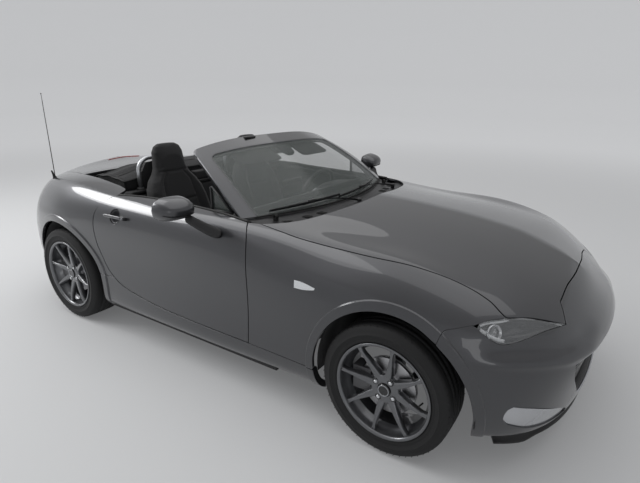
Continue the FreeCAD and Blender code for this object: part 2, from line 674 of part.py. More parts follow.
def tyre(centre, out):
    half, rim_half = TYRE_WIDTH / 2, RIM_WIDTH / 2
    bead = BARREL_RADIUS + SEAT_GAP
    shoulder = TYRE_RADIUS - 12
    profile = [(bead, -rim_half + 5.4), (RIM_FLANGE_RADIUS + 0.4, -rim_half + 3.4),
               (RIM_FLANGE_RADIUS + 3, -rim_half - 2),
               (RIM_FLANGE_RADIUS + 28, -half), (shoulder - 18, -half + 3),
               (shoulder, -half + 12), (TYRE_RADIUS - 2, -half + 28), (TYRE_RADIUS, 0),
               (TYRE_RADIUS - 2, half - 28), (shoulder, half - 12), (shoulder - 18, half - 3),
               (RIM_FLANGE_RADIUS + 28, half), (RIM_FLANGE_RADIUS + 3, rim_half + 2),
               (RIM_FLANGE_RADIUS + 0.4, rim_half - 3.4), (bead, rim_half - 5.4)]
    return ring([(r, y * out) for r, y in profile], centre)


def rim(centre, out):
    rim_half = RIM_WIDTH / 2
    inner = BARREL_RADIUS - BARREL_WALL
    barrel = ring([(BARREL_RADIUS, (-rim_half + 5) * out), (RIM_FLANGE_RADIUS, (-rim_half + 3) * out),
                   (RIM_FLANGE_RADIUS, -rim_half * out), (inner, -rim_half * out),
                   (inner, rim_half * out), (RIM_FLANGE_RADIUS, rim_half * out),
                   (RIM_FLANGE_RADIUS, (rim_half - 3) * out), (BARREL_RADIUS, (rim_half - 5) * out)],
                  centre)
    hub = ring([(SPINDLE_RADIUS + RUN_GAP, HUB_FACE * out), (HUB_RADIUS, HUB_FACE * out),
                (HUB_RADIUS, SPOKE_FACE * out), (SPINDLE_RADIUS + RUN_GAP, SPOKE_FACE * out)], centre)
    shape = barrel.fuse(hub)
    for i in range(SPOKES):
        face_y = sorted((centre.y + (SPOKE_FACE - 26) * out, centre.y + SPOKE_FACE * out))
        spoke = box(centre.x + HUB_RADIUS - 14, centre.x + inner + 2, face_y[0], face_y[1],
                    centre.z - SPOKE_WIDTH / 2, centre.z + SPOKE_WIDTH / 2)
        spoke.rotate(centre, V(0, 1, 0), 360.0 * (i + 0.5) / SPOKES)
        shape = shape.fuse(spoke)
    return shape.removeSplitter()


def brake_disc(centre, out):
    hat = 70.0
    bore = SPINDLE_RADIUS + RUN_GAP
    return ring([(bore, (HUB_FACE - 8) * out), (bore, HUB_FACE * out), (hat, HUB_FACE * out),
                 (hat, (DISC_Y + DISC_THICKNESS) * out), (DISC_RADIUS, (DISC_Y + DISC_THICKNESS) * out),
                 (DISC_RADIUS, DISC_Y * out), (hat - 8, DISC_Y * out), (hat - 8, (HUB_FACE - 8) * out)],
                centre)


def knuckle(centre, out, steered):
    """Spindle, upright and caliper; a steered one has eyes for the kingpins."""
    axis = V(0, out, 0)
    spindle = Part.makeCylinder(SPINDLE_RADIUS, KINGPIN_IN + SPOKE_FACE - 4,
                                centre - axis * KINGPIN_IN, axis)
    post_y = sorted((centre.y - (KINGPIN_IN - 18) * out, centre.y - (KINGPIN_IN + 18) * out))
    post = box(centre.x - 26, centre.x + 26, post_y[0], post_y[1], centre.z - 110, centre.z + 110)
    caliper_y = sorted((centre.y + (DISC_Y - 28) * out,
                        centre.y + (DISC_Y + DISC_THICKNESS + BRAKE_GAP + 7) * out))
    caliper = box(centre.x - 165, centre.x - 78, caliper_y[0], caliper_y[1],
                  centre.z - 55, centre.z + 55)
    slot_y = sorted((centre.y + (DISC_Y - BRAKE_GAP) * out,
                     centre.y + (DISC_Y + DISC_THICKNESS + BRAKE_GAP) * out))
    slot = Part.makeCylinder(DISC_RADIUS + BRAKE_GAP, slot_y[1] - slot_y[0],
                             V(centre.x, slot_y[0], centre.z), V(0, 1, 0))
    bracket_y = sorted((centre.y - (KINGPIN_IN - 18) * out, centre.y + (DISC_Y - BRAKE_GAP - 4) * out))
    bracket = box(centre.x - 140, centre.x - 20, bracket_y[0], bracket_y[1], centre.z - 22, centre.z + 22)
    shape = spindle.fuse([post, caliper.cut(slot), bracket])
    if steered:
        kingpin = V(centre.x, centre.y - KINGPIN_IN * out, centre.z - 200)
        shape = shape.cut(Part.makeCylinder(KINGPIN_RADIUS + RUN_GAP, 150, kingpin))
        top = V(centre.x, kingpin.y, centre.z + 50)
        shape = shape.cut(Part.makeCylinder(KINGPIN_RADIUS + RUN_GAP, 150, top))
    return shape.removeSplitter()


WHEELS = {
    "front_left": (FRONT_AXLE_X, FRONT_TRACK / 2, True),
    "front_right": (FRONT_AXLE_X, -FRONT_TRACK / 2, True),
    "rear_left": (REAR_AXLE_X, REAR_TRACK / 2, False),
    "rear_right": (REAR_AXLE_X, -REAR_TRACK / 2, False),
}


def suspension(axle_x, track, steered):
    """Cross member with an arm to each knuckle, above and below."""
    pin_y = track / 2 - KINGPIN_IN
    low_z, top_z = TYRE_RADIUS - 128, TYRE_RADIUS + 116
    shape = box(axle_x - 60, axle_x + 60, -400, 400, low_z - 4, low_z + 44)
    for side in (1, -1):
        near, far = sorted((side * 390, side * (pin_y + 16)))
        for z0, z1 in ((low_z, low_z + 12), (top_z, top_z + 12)):
            shape = shape.fuse(box(axle_x - 20, axle_x + 20, near, far, z0, z1))
        tower = sorted((side * (RAIL_OUTER + SEAT_GAP), side * 400))
        shape = shape.fuse(box(axle_x - 30, axle_x + 30, tower[0], tower[1], low_z, top_z + 12))
        if steered:
            shape = shape.fuse([rod(V(axle_x, side * pin_y, low_z + 4),
                                    V(axle_x, side * pin_y, low_z + 50), KINGPIN_RADIUS),
                                rod(V(axle_x, side * pin_y, top_z + 4),
                                    V(axle_x, side * pin_y, top_z - 40), KINGPIN_RADIUS)])
        else:
            shape = shape.fuse([box(axle_x - 20, axle_x + 20, *sorted((side * (pin_y - 16), side * (pin_y + 16))),
                                    low_z + 12, TYRE_RADIUS - 110 - SEAT_GAP)])
    return shape.removeSplitter()


# ---------------------------------------------------------------- tub, engine and floor
FLOOR_LOW, FLOOR_TOP = 168, 186
TUB_HALF = 700
FIREWALL_X = 520
BULKHEAD_X = -735


def floor_pan(sills):
    """Cabin floor with the centre tunnel."""
    pan = plan_box(BULKHEAD_X - 20, FIREWALL_X + 60, -800, 800, FLOOR_LOW, FLOOR_TOP)
    tunnel = plan_box(BULKHEAD_X, FIREWALL_X, -110, 110, FLOOR_TOP, 400)
    return pan.cut(sills[0]).cut(sills[1]).fuse(tunnel).removeSplitter()


def firewall(fenders, sills):
    """Wall ahead of the cabin with a hinge post at each end."""
    wall = plan_box(FIREWALL_X, FIREWALL_X + 60, -800, 800, FLOOR_TOP, 800)
    for piece in fenders + sills:
        wall = wall.cut(piece)
    post = hinge_post()
    return biggest(wall).fuse([post, mirrored(post)]).removeSplitter()


def biggest(shape):
    return max(shape.Solids, key=lambda s: s.Volume)


HINGE_BACK = 60.0               # door hinge line behind the door's front edge
HINGE_IN = 26.0                 # and inboard of the widest skin there
HINGE_PIN = 6.0
HINGE_HEIGHTS = (400, 660)
HINGE_X = X(436) - SHUT_GAP / 2 - HINGE_BACK
HINGE_Y = Y(821) - HINGE_IN
EYE_RADIUS = 12.0
POST_OUTER = 706


def hinge_post():
    """Footwell wall with the two fixed hinge eyes of the left door."""
    post = plan_box(330, FIREWALL_X, 648, POST_OUTER, FLOOR_TOP, 700)
    for z in HINGE_HEIGHTS:
        eye = box(HINGE_X - EYE_RADIUS, HINGE_X + EYE_RADIUS, Y(POST_OUTER) - 1, HINGE_Y,
                  Z(z) - 15, Z(z) + 15)
        eye = eye.fuse(Part.makeCylinder(EYE_RADIUS, 30, V(HINGE_X, HINGE_Y, Z(z) - 15)))
        bore = Part.makeCylinder(HINGE_PIN + RUN_GAP, 60, V(HINGE_X, HINGE_Y, Z(z) - 30))
        post = post.fuse(eye).cut(bore)
    return post.removeSplitter()


SASH_FOOT = 862
OPENING_TRIM = 0.5              # the opening's cutter stays this far off the neighbours' edges


def door_opening():
    """The door's own shape, grown to the lines its neighbours keep to."""
    low, high, fore, aft, gaps, thickness, bevel, columns, rows, centre_edge = PANELS["door"]
    grown = [OPENING_TRIM - g for g in gaps]
    grid = skin_grid(low, high, fore, aft, grown, columns, rows)
    raised = [[p + n * 10 for p, n in zip(col, ns)] for col, ns in zip(grid, normals(grid))]
    return slab(raised, grid, thickness + SHUT_GAP)


def fixed_panel(name, opening):
    return biggest(panel(name).cut(opening))


JACK_STATIONS = (620, -560)
JACK_HALF_LENGTH, JACK_HALF_WIDTH = 40, 20
JACK_Y = 770
JACK_FACE = 160


def left_sill(opening):
    """Sill with a flat jacking pad near each end."""
    shape = fixed_panel("sill", opening)
    for x in JACK_STATIONS:
        pad = box(X(x) - JACK_HALF_LENGTH, X(x) + JACK_HALF_LENGTH, Y(JACK_Y) - JACK_HALF_WIDTH,
                  Y(JACK_Y) + JACK_HALF_WIDTH, JACK_FACE, Z(SKIRT) + 25)
        shape = shape.fuse(pad)
    return biggest(shape.removeSplitter())


PLATE_HOLE_RADIUS = 3.0
PLATE_HOLE_Y = 89.0             # half the spacing of the rear plate's two holes
PLATE_HOLE_Z = 590


def rear_bumper(quarters):
    """Tail panel with the two holes of the rear plate."""
    shape = whole(panel("rear_bumper"))
    for piece in quarters:
        shape = shape.cut(piece)
    for y in (-PLATE_HOLE_Y, PLATE_HOLE_Y):
        shape = shape.cut(rod(V(-NOSE_X - 40, y, Z(PLATE_HOLE_Z)), V(X(-1880), y, Z(PLATE_HOLE_Z)),
                              PLATE_HOLE_RADIUS))
    return shape


def door():
    """Door with hinge pockets and pins, and the sash of its quarter window."""
    shape = panel("door")
    for z in HINGE_HEIGHTS:
        pocket = box(HINGE_X - 19, X(436) + 20, HINGE_Y - 130, HINGE_Y + EYE_RADIUS + 3,
                     Z(z) - 21, Z(z) + 21)
        pin = Part.makeCylinder(HINGE_PIN, 72, V(HINGE_X, HINGE_Y, Z(z) - 36))
        shape = shape.cut(pocket).fuse(pin)
    shape = shape.cut(plan_box(170, 460, 560, 690, 790, 900))
    sash = plan_box(56, 66, 650, 668, SASH_FOOT, 990)
    foot = plan_box(56, 200, 650, 700, SASH_FOOT, SASH_FOOT + 12)
    return shape.fuse([sash, foot]).removeSplitter()


BULKHEAD_HALF = 712


def rear_bulkhead():
    return plan_box(BULKHEAD_X - 20, BULKHEAD_X, -BULKHEAD_HALF, BULKHEAD_HALF, FLOOR_TOP, WELL_FLOOR)


def engine():
    """Engine with the gearbox that reaches back to the firewall."""
    box_low = plan_box(FIREWALL_X + 60, 900, -120, 120, 260, 480)
    block = box(X(900), X(1330), -230, 230, TYRE_RADIUS - 80, Z(760))
    return box_low.fuse(block).removeSplitter()


RAIL_INNER, RAIL_OUTER = 290, 350


def chassis_frame(front_bumper_body, rear_bumper_body):
    """Front and rear rails, each pair with its crash beam."""
    front = plan_box(1700, 1790, -700, 700, 390, 480)
    rear = plan_box(-1880, -1800, -600, 600, 340, 420)
    front = biggest(front.cut(front_bumper_body))
    rear = biggest(rear.cut(rear_bumper_body))
    for low, high in ((-RAIL_OUTER, -RAIL_INNER), (RAIL_INNER, RAIL_OUTER)):
        front = front.fuse(box(X(FIREWALL_X + 60), X(1700), low, high, Z(400), Z(480)))
        rear = rear.fuse(box(X(-1800), X(BULKHEAD_X - 20), low, high, Z(340), Z(400)))
    return [front.removeSplitter(), rear.removeSplitter()]


BOOT = (-1690, -1262, 430, 420, 790)          # rear, front, half width, floor, rim
BOOT_WALL = 12


def boot_tub():
    rear, front, half, low, high = BOOT
    outer = plan_box(rear, front, -half, half, low - 20, high)
    inner = box(X(rear) + BOOT_WALL, X(front) - BOOT_WALL, Y(-half) + BOOT_WALL,
                Y(half) - BOOT_WALL, Z(low), Z(high) + 10)
    return outer.cut(inner)


PIPE_Y = 430
PIPE_Z = 202
PIPE_RADIUS = 28
PIPE_WALL = 3


def exhaust():
    """Silencer across the tail with one pipe on each side."""
    shape = plan_box(-1740, -1560, -500, 500, 182, 340)
    for y in (-PIPE_Y, PIPE_Y):
        start, end = P(-1912, y, PIPE_Z), P(-1730, y, PIPE_Z)
        shape = shape.fuse(rod(start, end, PIPE_RADIUS))
        shape = shape.cut(rod(start - V(5, 0, 0), start + V(60, 0, 0), PIPE_RADIUS - PIPE_WALL))
    return shape.removeSplitter()


# ---------------------------------------------------------------- windscreen
SCREEN_BASE = (475, 860)        # x, z of the glass foot on the centreline
SCREEN_HEAD = (-128, 1197)      # x, z of the header's top edge on the centreline
SCREEN_BASE_HALF, SCREEN_HEAD_HALF = 683, 566
BASE_BOW, HEAD_BOW = 182, 40    # how far back the corners lie
HEAD_DROP = 52                  # how far down the header's corners lie
PILLAR_SHARE = 0.905            # share of the half breadth where the glass ends
HEADER_SHARE = 0.86             # share of the height where the glass ends
FRAME_DEPTH = 30.0
GLASS = 5.0


def screen_point(s, t):
    """A place on the windscreen: s from right (-1) to left (1), t from foot to header top."""
    foot = (SCREEN_BASE[0] - BASE_BOW * s * s, SCREEN_BASE_HALF * s, SCREEN_BASE[1])
    head = (SCREEN_HEAD[0] - HEAD_BOW * s * s, SCREEN_HEAD_HALF * s,
            SCREEN_HEAD[1] - HEAD_DROP * abs(s) ** 3)
    bulge = math.sin(math.pi * t)
    x = foot[0] + (head[0] - foot[0]) * t + 10 * bulge
    y = foot[1] + (head[1] - foot[1]) * t + 14 * s * bulge
    z = foot[2] + (head[2] - foot[2]) * t + 14 * bulge
    return P(x, y, z)


def screen_slab(s0, s1, t0, t1, depth, columns, rows, sink=0.0):
    grid = [[screen_point(s0 + (s1 - s0) * i / (columns - 1), t0 + (t1 - t0) * j / (rows - 1))
             for j in range(rows)] for i in range(columns)]
    sides = normals(grid)
    flip = -1 if sides[0][0].x < 0 else 1
    outer = [[p - n * (sink * flip) for p, n in zip(c, ns)] for c, ns in zip(grid, sides)]
    inner = [[p - n * ((sink + depth) * flip) for p, n in zip(c, ns)] for c, ns in zip(grid, sides)]
    return between(outer, inner)


def pillar():
    return screen_slab(PILLAR_SHARE, 1.0, 0.0, 1.0, FRAME_DEPTH, 5, 14)


def header():
    edge = PILLAR_SHARE - 0.0017
    return screen_slab(-edge, edge, HEADER_SHARE, 1.0, FRAME_DEPTH, 22, 5)


def screen_glass():
    edge = PILLAR_SHARE - 0.002
    return screen_slab(-edge, edge, 0.0, HEADER_SHARE - 0.002, GLASS, 22, 14, 3.0)


COWL_TOP = 832
COWL_LOW = 800


def cowl(fenders, screen):
    """Box section under the windscreen, with a ledge that carries the screen's foot."""
    half = [(215, 666), (445, 666), (445, 725), (500, 725), (520, 590), (586, 470), (634, 330),
            (668, 190)]
    full = half + [(684, 0)] + [(x, -y) for x, y in reversed(half)]
    shape = plan_prism([(X(x), Y(y)) for x, y in full], Z(COWL_LOW), Z(COWL_TOP))
    front = [(SCREEN_BASE[0] - BASE_BOW * s * s + 2, SCREEN_BASE_HALF * s)
             for s in [i / 10.0 for i in range(-10, 11)]]
    back = [(x - 45, y) for x, y in reversed(front)]
    ledge = plan_prism([(X(x), Y(y)) for x, y in front + back], Z(COWL_TOP), Z(SCREEN_BASE[1] + 2))
    shape = shape.fuse(ledge)
    for piece in fenders + screen:
        shape = shape.cut(piece)
    for side in (1, -1):
        low, high = sorted((side * (Y(BONNET_HINGE_Y) + 11), side * (Y(BONNET_HINGE_Y) + 32)))
        shape = shape.cut(box(X(416), X(700), low, high, Z(COWL_TOP) - 18, Z(COWL_TOP) + 40))
    return biggest(shape.removeSplitter())


BONNET_HINGE = (400, 862)       # plan x and z of the bonnet's hinge line
BONNET_HINGE_Y = 560
BONNET_PIN = 5.0


def bonnet_eye():
    """Upstand on the cowl with the fixed hinge eye."""
    x, z = X(BONNET_HINGE[0]), Z(BONNET_HINGE[1])
    y = Y(BONNET_HINGE_Y)
    eye = box(x - 9, x + 9, y - 10, y + 10, Z(COWL_TOP) - 5, z)
    eye = eye.fuse(Part.makeCylinder(11, 20, V(x, y - 10, z), V(0, 1, 0)))
    return eye.cut(Part.makeCylinder(BONNET_PIN + RUN_GAP, 40, V(x, y - 20, z), V(0, 1, 0)))


def bonnet_arm():
    """Hinge arm of the bonnet, beside the fixed eye."""
    x, z = X(BONNET_HINGE[0]), Z(BONNET_HINGE[1])
    y = Y(BONNET_HINGE_Y) + 16
    under = skin_point(place(("t", 620, 580))).z - LID + 3
    outline = [(x - 9, z - 9), (x - 9, z + 9), (X(470), z + 6), (X(570), under), (X(660), under - 6),
               (X(660), under - 20), (X(540), under - 20), (X(470), z - 8)]
    arm = side_prism(outline, y, y + 10)
    return arm.fuse(Part.makeCylinder(BONNET_PIN, 36, V(x, y + 5, z), V(0, -1, 0)))


def bonnet():
    half = panel("bonnet")
    half = half.fuse(bonnet_arm())
    return half.fuse(mirrored(half)).removeSplitter()


LID_HINGE = (-1256, 911)        # plan x and z of the boot lid's hinge line
LID_HINGE_YS = (60, 150)        # fixed eye from, to
LID_PIN = 4.0
LID_EYE = 7.5


def lid_eye(y0, y1):
    x, z = X(LID_HINGE[0]), Z(LID_HINGE[1])
    return Part.makeCylinder(LID_EYE, y1 - y0, V(x, y0, z), V(0, 1, 0))


def boot_lid():
    half = panel("boot_lid")
    x, z = X(LID_HINGE[0]), Z(LID_HINGE[1])
    y0, y1 = Y(LID_HINGE_YS[0]), Y(LID_HINGE_YS[1])
    space = box(x - LID_EYE - 7, x + 40, y0 - 6, y1 + 6, z - 60, z + 30)
    corner = box(x - 60, x + 20, Y(555), Y(640), z - 80, z - 10)
    half = half.cut(space).cut(corner)
    for a, b in ((y0 - 26, y0 - 5), (y1 + 5, y1 + 26)):
        ear = lid_eye(a, b).fuse(box(x - 34, x, a, b, z - 16, z - 2))
        half = half.fuse(ear)
    half = half.fuse(Part.makeCylinder(LID_PIN, y1 - y0 + 30, V(x, y0 - 15, z), V(0, 1, 0)))
    return half.fuse(mirrored(half)).removeSplitter()


def rear_deck():
    half = panel("rear_deck")
    x, z = X(LID_HINGE[0]), Z(LID_HINGE[1])
    y0, y1 = Y(LID_HINGE_YS[0]), Y(LID_HINGE_YS[1])
    for a, b in ((y0 - 26, y0 - 5), (y1 + 5, y1 + 26)):
        half = half.cut(box(x - 20, x + LID_EYE + 5, a - 5, b + 5, z - 60, z + 30))
    half = half.cut(box(x - 20, x + 4, y0 - 10, y1 + 10, z - 60, z + 30))
    eye = lid_eye(y0, y1).fuse(box(x, x + 20, y0, y1, z - 9, z + 1))
    half = half.fuse(eye.cut(Part.makeCylinder(LID_PIN + RUN_GAP, y1 - y0 + 20, V(x, y0 - 10, z),
                                               V(0, 1, 0))))
    return half.fuse(mirrored(half)).removeSplitter()


# ---------------------------------------------------------------- cabin
WELL_FLOOR = 812
WELL_TOP = 830


def soft_top():
    """The folded hood in its well behind the seats."""
    outline = [(-800, 830), (-812, 915), (-860, 945), (-1000, 962), (-1110, 950), (-1178, 918),
               (-1184, 830)]
    return side_prism([(X(x), Z(z)) for x, z in outline], Y(-590), Y(590))


def hood_well(quarters, deck):
    """Tray under the folded hood, with the wall that carries the rear deck."""
    tray = plan_box(-1218, BULKHEAD_X - 20, -800, 800, WELL_FLOOR, WELL_TOP)
    wall = plan_box(-1218, -1200, -570, 570, WELL_TOP, 930)
    tray = tray.fuse(wall)
    for piece in quarters + [deck]:
        tray = tray.cut(piece)
    return biggest(tray.removeSplitter())


SEAT_Y = 352                    # middle of a seat, off the centreline


def seat_cushion(y):
    outline = [(-60, 330), (-40, 400), (-60, 448), (-150, 458), (-420, 420), (-560, 420),
               (-560, FLOOR_TOP), (-150, FLOOR_TOP)]
    return side_prism([(X(x), Z(z)) for x, z in outline], Y(y - 225), Y(y + 225))


def seat_back(y):
    outline = [(-430, 420.3), (-480, 430), (-585, 760), (-620, 900), (-640, 960), (-652, 1120),
               (-680, 1146), (-712, 1140), (-722, 1080), (-716, 960), (-710, 860), (-690, 600),
               (-640, 420.3)]
    return side_prism([(X(x), Z(z)) for x, z in outline], Y(y - 205), Y(y + 205))


def roll_hoop(y):
    """Hoop behind a seat's head restraint, standing on the hood well."""
    radius, x = 14, X(-775)
    low, top = Z(WELL_TOP), Z(1036)
    y0, y1 = Y(y - 150), Y(y + 150)
    bend = 80
    shape = rod(V(x, y0 + bend, top), V(x, y1 - bend, top), radius)
    for foot_y, way in ((y0, 1), (y1, -1)):
        leg = rod(V(x, foot_y, low), V(x, foot_y, top - bend), radius)
        middle = V(x, foot_y + way * bend, top - bend)
        disc = Part.Face(Part.Wire(Part.makeCircle(radius, V(x, foot_y, top - bend), V(0, 0, 1))))
        shape = shape.fuse([leg, disc.revolve(middle, V(-way, 0, 0), 90)])
    return shape.removeSplitter()


def dashboard():
    outline = [(60, 640), (40, 700), (80, 800), (160, 858), (215, 862), (215, 660), (150, 600)]
    return side_prism([(X(x), Z(z)) for x, z in outline], Y(-640), Y(640))


def centre_console():
    outline = [(-560, 400), (-560, 470), (-250, 480), (-60, 540), (100, 620), (150, 600), (150, 400)]
    return side_prism([(X(x), Z(z)) for x, z in outline], Y(-100), Y(100))


WHEEL_CENTRE = (-30, 352, 770)  # steering wheel's middle
COLUMN_TILT = 22.0              # column below the horizontal
STEERING_RADIUS = 183.0
GRIP_RADIUS = 16.0
SHAFT_RADIUS = 12.0


def column_way():
    tilt = math.radians(COLUMN_TILT)
    return V(math.cos(tilt), 0, -math.sin(tilt))


def steering_wheel():
    centre, way = P(*WHEEL_CENTRE), column_way()
    shape = Part.makeTorus(STEERING_RADIUS - GRIP_RADIUS, GRIP_RADIUS, centre, way)
    hub = Part.makeCylinder(56, 50, centre - way * 8, way)
    shaft = Part.makeCylinder(SHAFT_RADIUS, 150, centre + way * 20, way)
    shape = shape.fuse([hub, shaft])
    for angle in (0, 180, 270):
        spoke = box(centre.x - 7, centre.x + 7, centre.y + 40, centre.y + STEERING_RADIUS - GRIP_RADIUS,
                    centre.z - 16, centre.z + 16)
        spoke.rotate(centre, V(1, 0, 0), angle)
        spoke.rotate(centre, V(0, 1, 0), COLUMN_TILT)
        shape = shape.fuse(spoke)
    return shape


def dashboard_with_column():
    """Dashboard with the steering column's tube, bored for the shaft."""
    centre, way = P(*WHEEL_CENTRE), column_way()
    start = centre + way * 56
    tube = Part.makeCylinder(34, 150, start, way)
    bore = Part.makeCylinder(SHAFT_RADIUS + RUN_GAP, 180, start - way * 4, way)
    return dashboard().fuse(tube).cut(bore).removeSplitter()


# ---------------------------------------------------------------- outside fittings
def mirror_pod(door_body):
    """Door mirror: housing on a short foot that stands on the door's shoulder."""
    matrix = FreeCAD.Matrix()
    matrix.scale(58, 100, 64)
    housing = Part.makeSphere(1).transformGeometry(matrix)
    housing.translate(P(110, 905, 925))
    foot = rod(P(215, 775, 795), P(125, 880, 905), 20)
    return biggest(housing.fuse(foot).cut(door_body))


def door_handle(door_body):
    """Bar on two stubs, standing off the door's skin."""
    spots = [skin_point(place(("s", x, 774))) for x in (-622, -436)]
    ends = [p + V(0, 20, 0) for p in spots]
    shape = rod(ends[0], ends[1], 9)
    for spot, end in zip(spots, ends):
        shape = shape.fuse(rod(spot - V(0, 3, 0), end, 9))
    return shape.cut(door_body).removeSplitter()


def quarter_glass():
    outline = [(196, SASH_FOOT + 12.3), (66.3, SASH_FOOT + 12.3), (66.3, 984)]
    return side_prism([(X(x), Z(z)) for x, z in outline], Y(655), Y(661))


def interior_mirror(screen):
    """Rear-view mirror on a short stem from the glass."""
    shape = plan_box(-66, -40, -112, 112, 1078, 1144).fuse(plan_box(-42, 60, -14, 14, 1100, 1136))
    for piece in screen:
        shape = shape.cut(piece)
    return max(shape.Solids, key=lambda s: -s.BoundBox.XMin)


def antenna(quarter):
    """Whip on a small cone that stands on the right rear quarter."""
    foot, tip = P(-1490, -648, 855), P(-1545, -618, 1413)
    rise = (tip - foot).normalize()
    base = Part.makeCone(16, 6, 66, foot - rise * 12, rise).cut(quarter)
    return biggest(base).fuse(rod(foot + rise * 20, tip, 3.5)).removeSplitter()


def proud(name, rise, thickness):
    """A slab of the named skin patch whose outer face stands proud of the skin."""
    low, high, fore, aft, columns, rows = PATCHES[name]
    grid = skin_grid(low, high, fore, aft, (0, 0, 0, 0), columns, rows)
    sides = normals(grid)
    outer = [[p + n * rise for p, n in zip(col, ns)] for col, ns in zip(grid, sides)]
    inner = [[p + n * (rise - thickness) for p, n in zip(col, ns)] for col, ns in zip(grid, sides)]
    return between(outer, inner)


# skin patches of small lamps: low, high, fore, aft lines, columns, rows
PATCHES = {
    "side_lamp": (Line(("s", 727, 652), ("s", 780, 655), ("s", 836, 666)),
                  Line(("s", 723, 684), ("s", 765, 684), ("s", 838, 674)),
                  Line(("s", 836, 666), ("s", 838, 674)),
                  Line(("s", 727, 652), ("s", 723, 684)), 6, 5),
    "daytime_lamp": (Line(("s", 1670, 279), ("f", 660, 240), ("f", 550, 216), ("f", 430, 207)),
                     Line(("s", 1690, 374), ("f", 655, 345), ("f", 540, 290), ("f", 451, 242),
                          ("f", 430, 226)),
                     Line(("f", 430, 207), ("f", 430, 226)),
                     Line(("s", 1670, 279), ("s", 1656, 310), ("s", 1667, 354), ("s", 1690, 374)),
                     18, 7),
}
LENS_DEPTH = 16.0


def front_lip(bumper):
    outline = [(1640, 742), (1715, 690), (1790, 585), (1855, 430), (1893, 240), (1903, 0)]
    inner = [(1800, 0), (1790, 240), (1740, 430), (1690, 540), (1600, 640)]
    full = outline + inner
    pts = [(X(x), Y(y)) for x, y in full]
    half = plan_prism(pts, Z(140), Z(BUMPER_EDGE) - SEAM)
    return half.fuse(mirrored(half)).removeSplitter()


GRILLE = ((0, 508), (343, 501), (476, 500), (524, 484), (498, 411), (370, 272), (300, 250), (0, 246))


def grille_outline(x, grow):
    pts = [(y + grow * (1 if y > 0 else 0), z + (grow if z > 400 else -grow)) for y, z in GRILLE]
    full = pts + [(-y, z) for y, z in reversed(pts[1:-1])]
    return [V(x, Y(y), Z(z)) for y, z in full]


def grille_prism(x0, x1, grow):
    pts = grille_outline(X(x0), grow)
    return Part.Face(Part.makePolygon(pts + pts[:1])).extrude(V(X(x1) - X(x0), 0, 0))


def grille():
    """A dark lattice plate that fills the mouth, set back from the skin."""
    return grille_prism(1800, 1824, 12)


def front_bumper():
    """Nose panel with its mouth and the two lamp openings cut through."""
    half = panel("front_bumper")
    half = half.cut(grille_prism(1700, 2000, 0)).cut(proud("daytime_lamp", 10, LENS_DEPTH + 60))
    return whole(half)


def lamp_body(name, neighbours):
    """A lamp with everything cut away that its neighbours fill."""
    shape = panel(name)
    for piece in neighbours:
        shape = shape.cut(piece)
    return biggest(shape)


def save(name, shapes):
    shapes = shapes if isinstance(shapes, (list, tuple)) else [shapes]
    solids = [s for shape in shapes for s in shape.Solids]
    for solid in solids:
        if not solid.isValid():
            print("not valid:", name)
    out = solids[0] if len(solids) == 1 else Part.makeCompound(solids)
    out.exportStep(os.path.join("parts", name + ".step"))
    print(name, len(solids), round(sum(s.Volume for s in solids) / 1e6, 3))


# ---------------------------------------------------------------- every piece
os.makedirs("parts", exist_ok=True)

doorway = door_opening()
front_fenders = both(fixed_panel, "front_fender", doorway)
rear_quarters = both(fixed_panel, "rear_quarter", doorway)
sills = both(left_sill, doorway)
left_door = door()
nose = front_bumper().cut(front_fenders[0]).cut(front_fenders[1])
tail = rear_bumper(rear_quarters)
bonnet_body = bonnet()
pillars = both(pillar)
head = header()
glass = screen_glass()
deck = rear_deck()

save("front_fenders", front_fenders)
save("rear_quarters", rear_quarters)
save("sills", sills)
save("headlights", both(lamp_body, "headlight", [nose, front_fenders[0]]))
save("tail_lamps", both(lamp_body, "tail_lamp", [tail, rear_quarters[0]]))
save("side_lamps", both(proud, "side_lamp", 3.3, 3.0))
save("daytime_lamps", both(proud, "daytime_lamp", 0, LENS_DEPTH))
save("front_bumper", nose)
save("rear_bumper", tail)
save("front_lip", front_lip(nose))
save("grille", grille())
save("bonnet", bonnet_body)
save("boot_lid", boot_lid())
save("rear_deck", deck)

left_handle = door_handle(left_door)
left_mirror = mirror_pod(left_door)
left_quarter_glass = quarter_glass()
for side, turn in (("left", lambda s: s), ("right", mirrored)):
    save(side + "_door", turn(left_door))
    save(side + "_door_handle", turn(left_handle))
    save(side + "_mirror", turn(left_mirror))
    save(side + "_quarter_glass", turn(left_quarter_glass))

save("windscreen_pillars", pillars)
save("windscreen_header", head)
save("windscreen_glass", glass)
cowl_body = cowl(list(front_fenders), list(pillars) + [glass])
eye = bonnet_eye()
save("cowl", cowl_body.fuse([eye, mirrored(eye)]))
save("interior_mirror", interior_mirror([glass, head]))

save("floor_pan", floor_pan(sills))
save("firewall", firewall(list(front_fenders), list(sills)))
save("rear_bulkhead", rear_bulkhead())
save("dashboard", dashboard_with_column())
save("centre_console", centre_console())
save("steering_wheel", steering_wheel())
save("seat_cushions", [seat_cushion(SEAT_Y), seat_cushion(-SEAT_Y)])
save("seat_backs", [seat_back(SEAT_Y), seat_back(-SEAT_Y)])
save("soft_top", soft_top())
save("hood_well", hood_well(list(rear_quarters), deck))
save("roll_hoops", [roll_hoop(SEAT_Y), roll_hoop(-SEAT_Y)])

save("engine", engine())
save("chassis_frame", chassis_frame(nose, tail))
save("boot_tub", boot_tub())
save("exhaust", exhaust())
save("antenna", antenna(rear_quarters[1]))
save("suspension", [suspension(FRONT_AXLE_X, FRONT_TRACK, True),
                    suspension(REAR_AXLE_X, REAR_TRACK, False)])

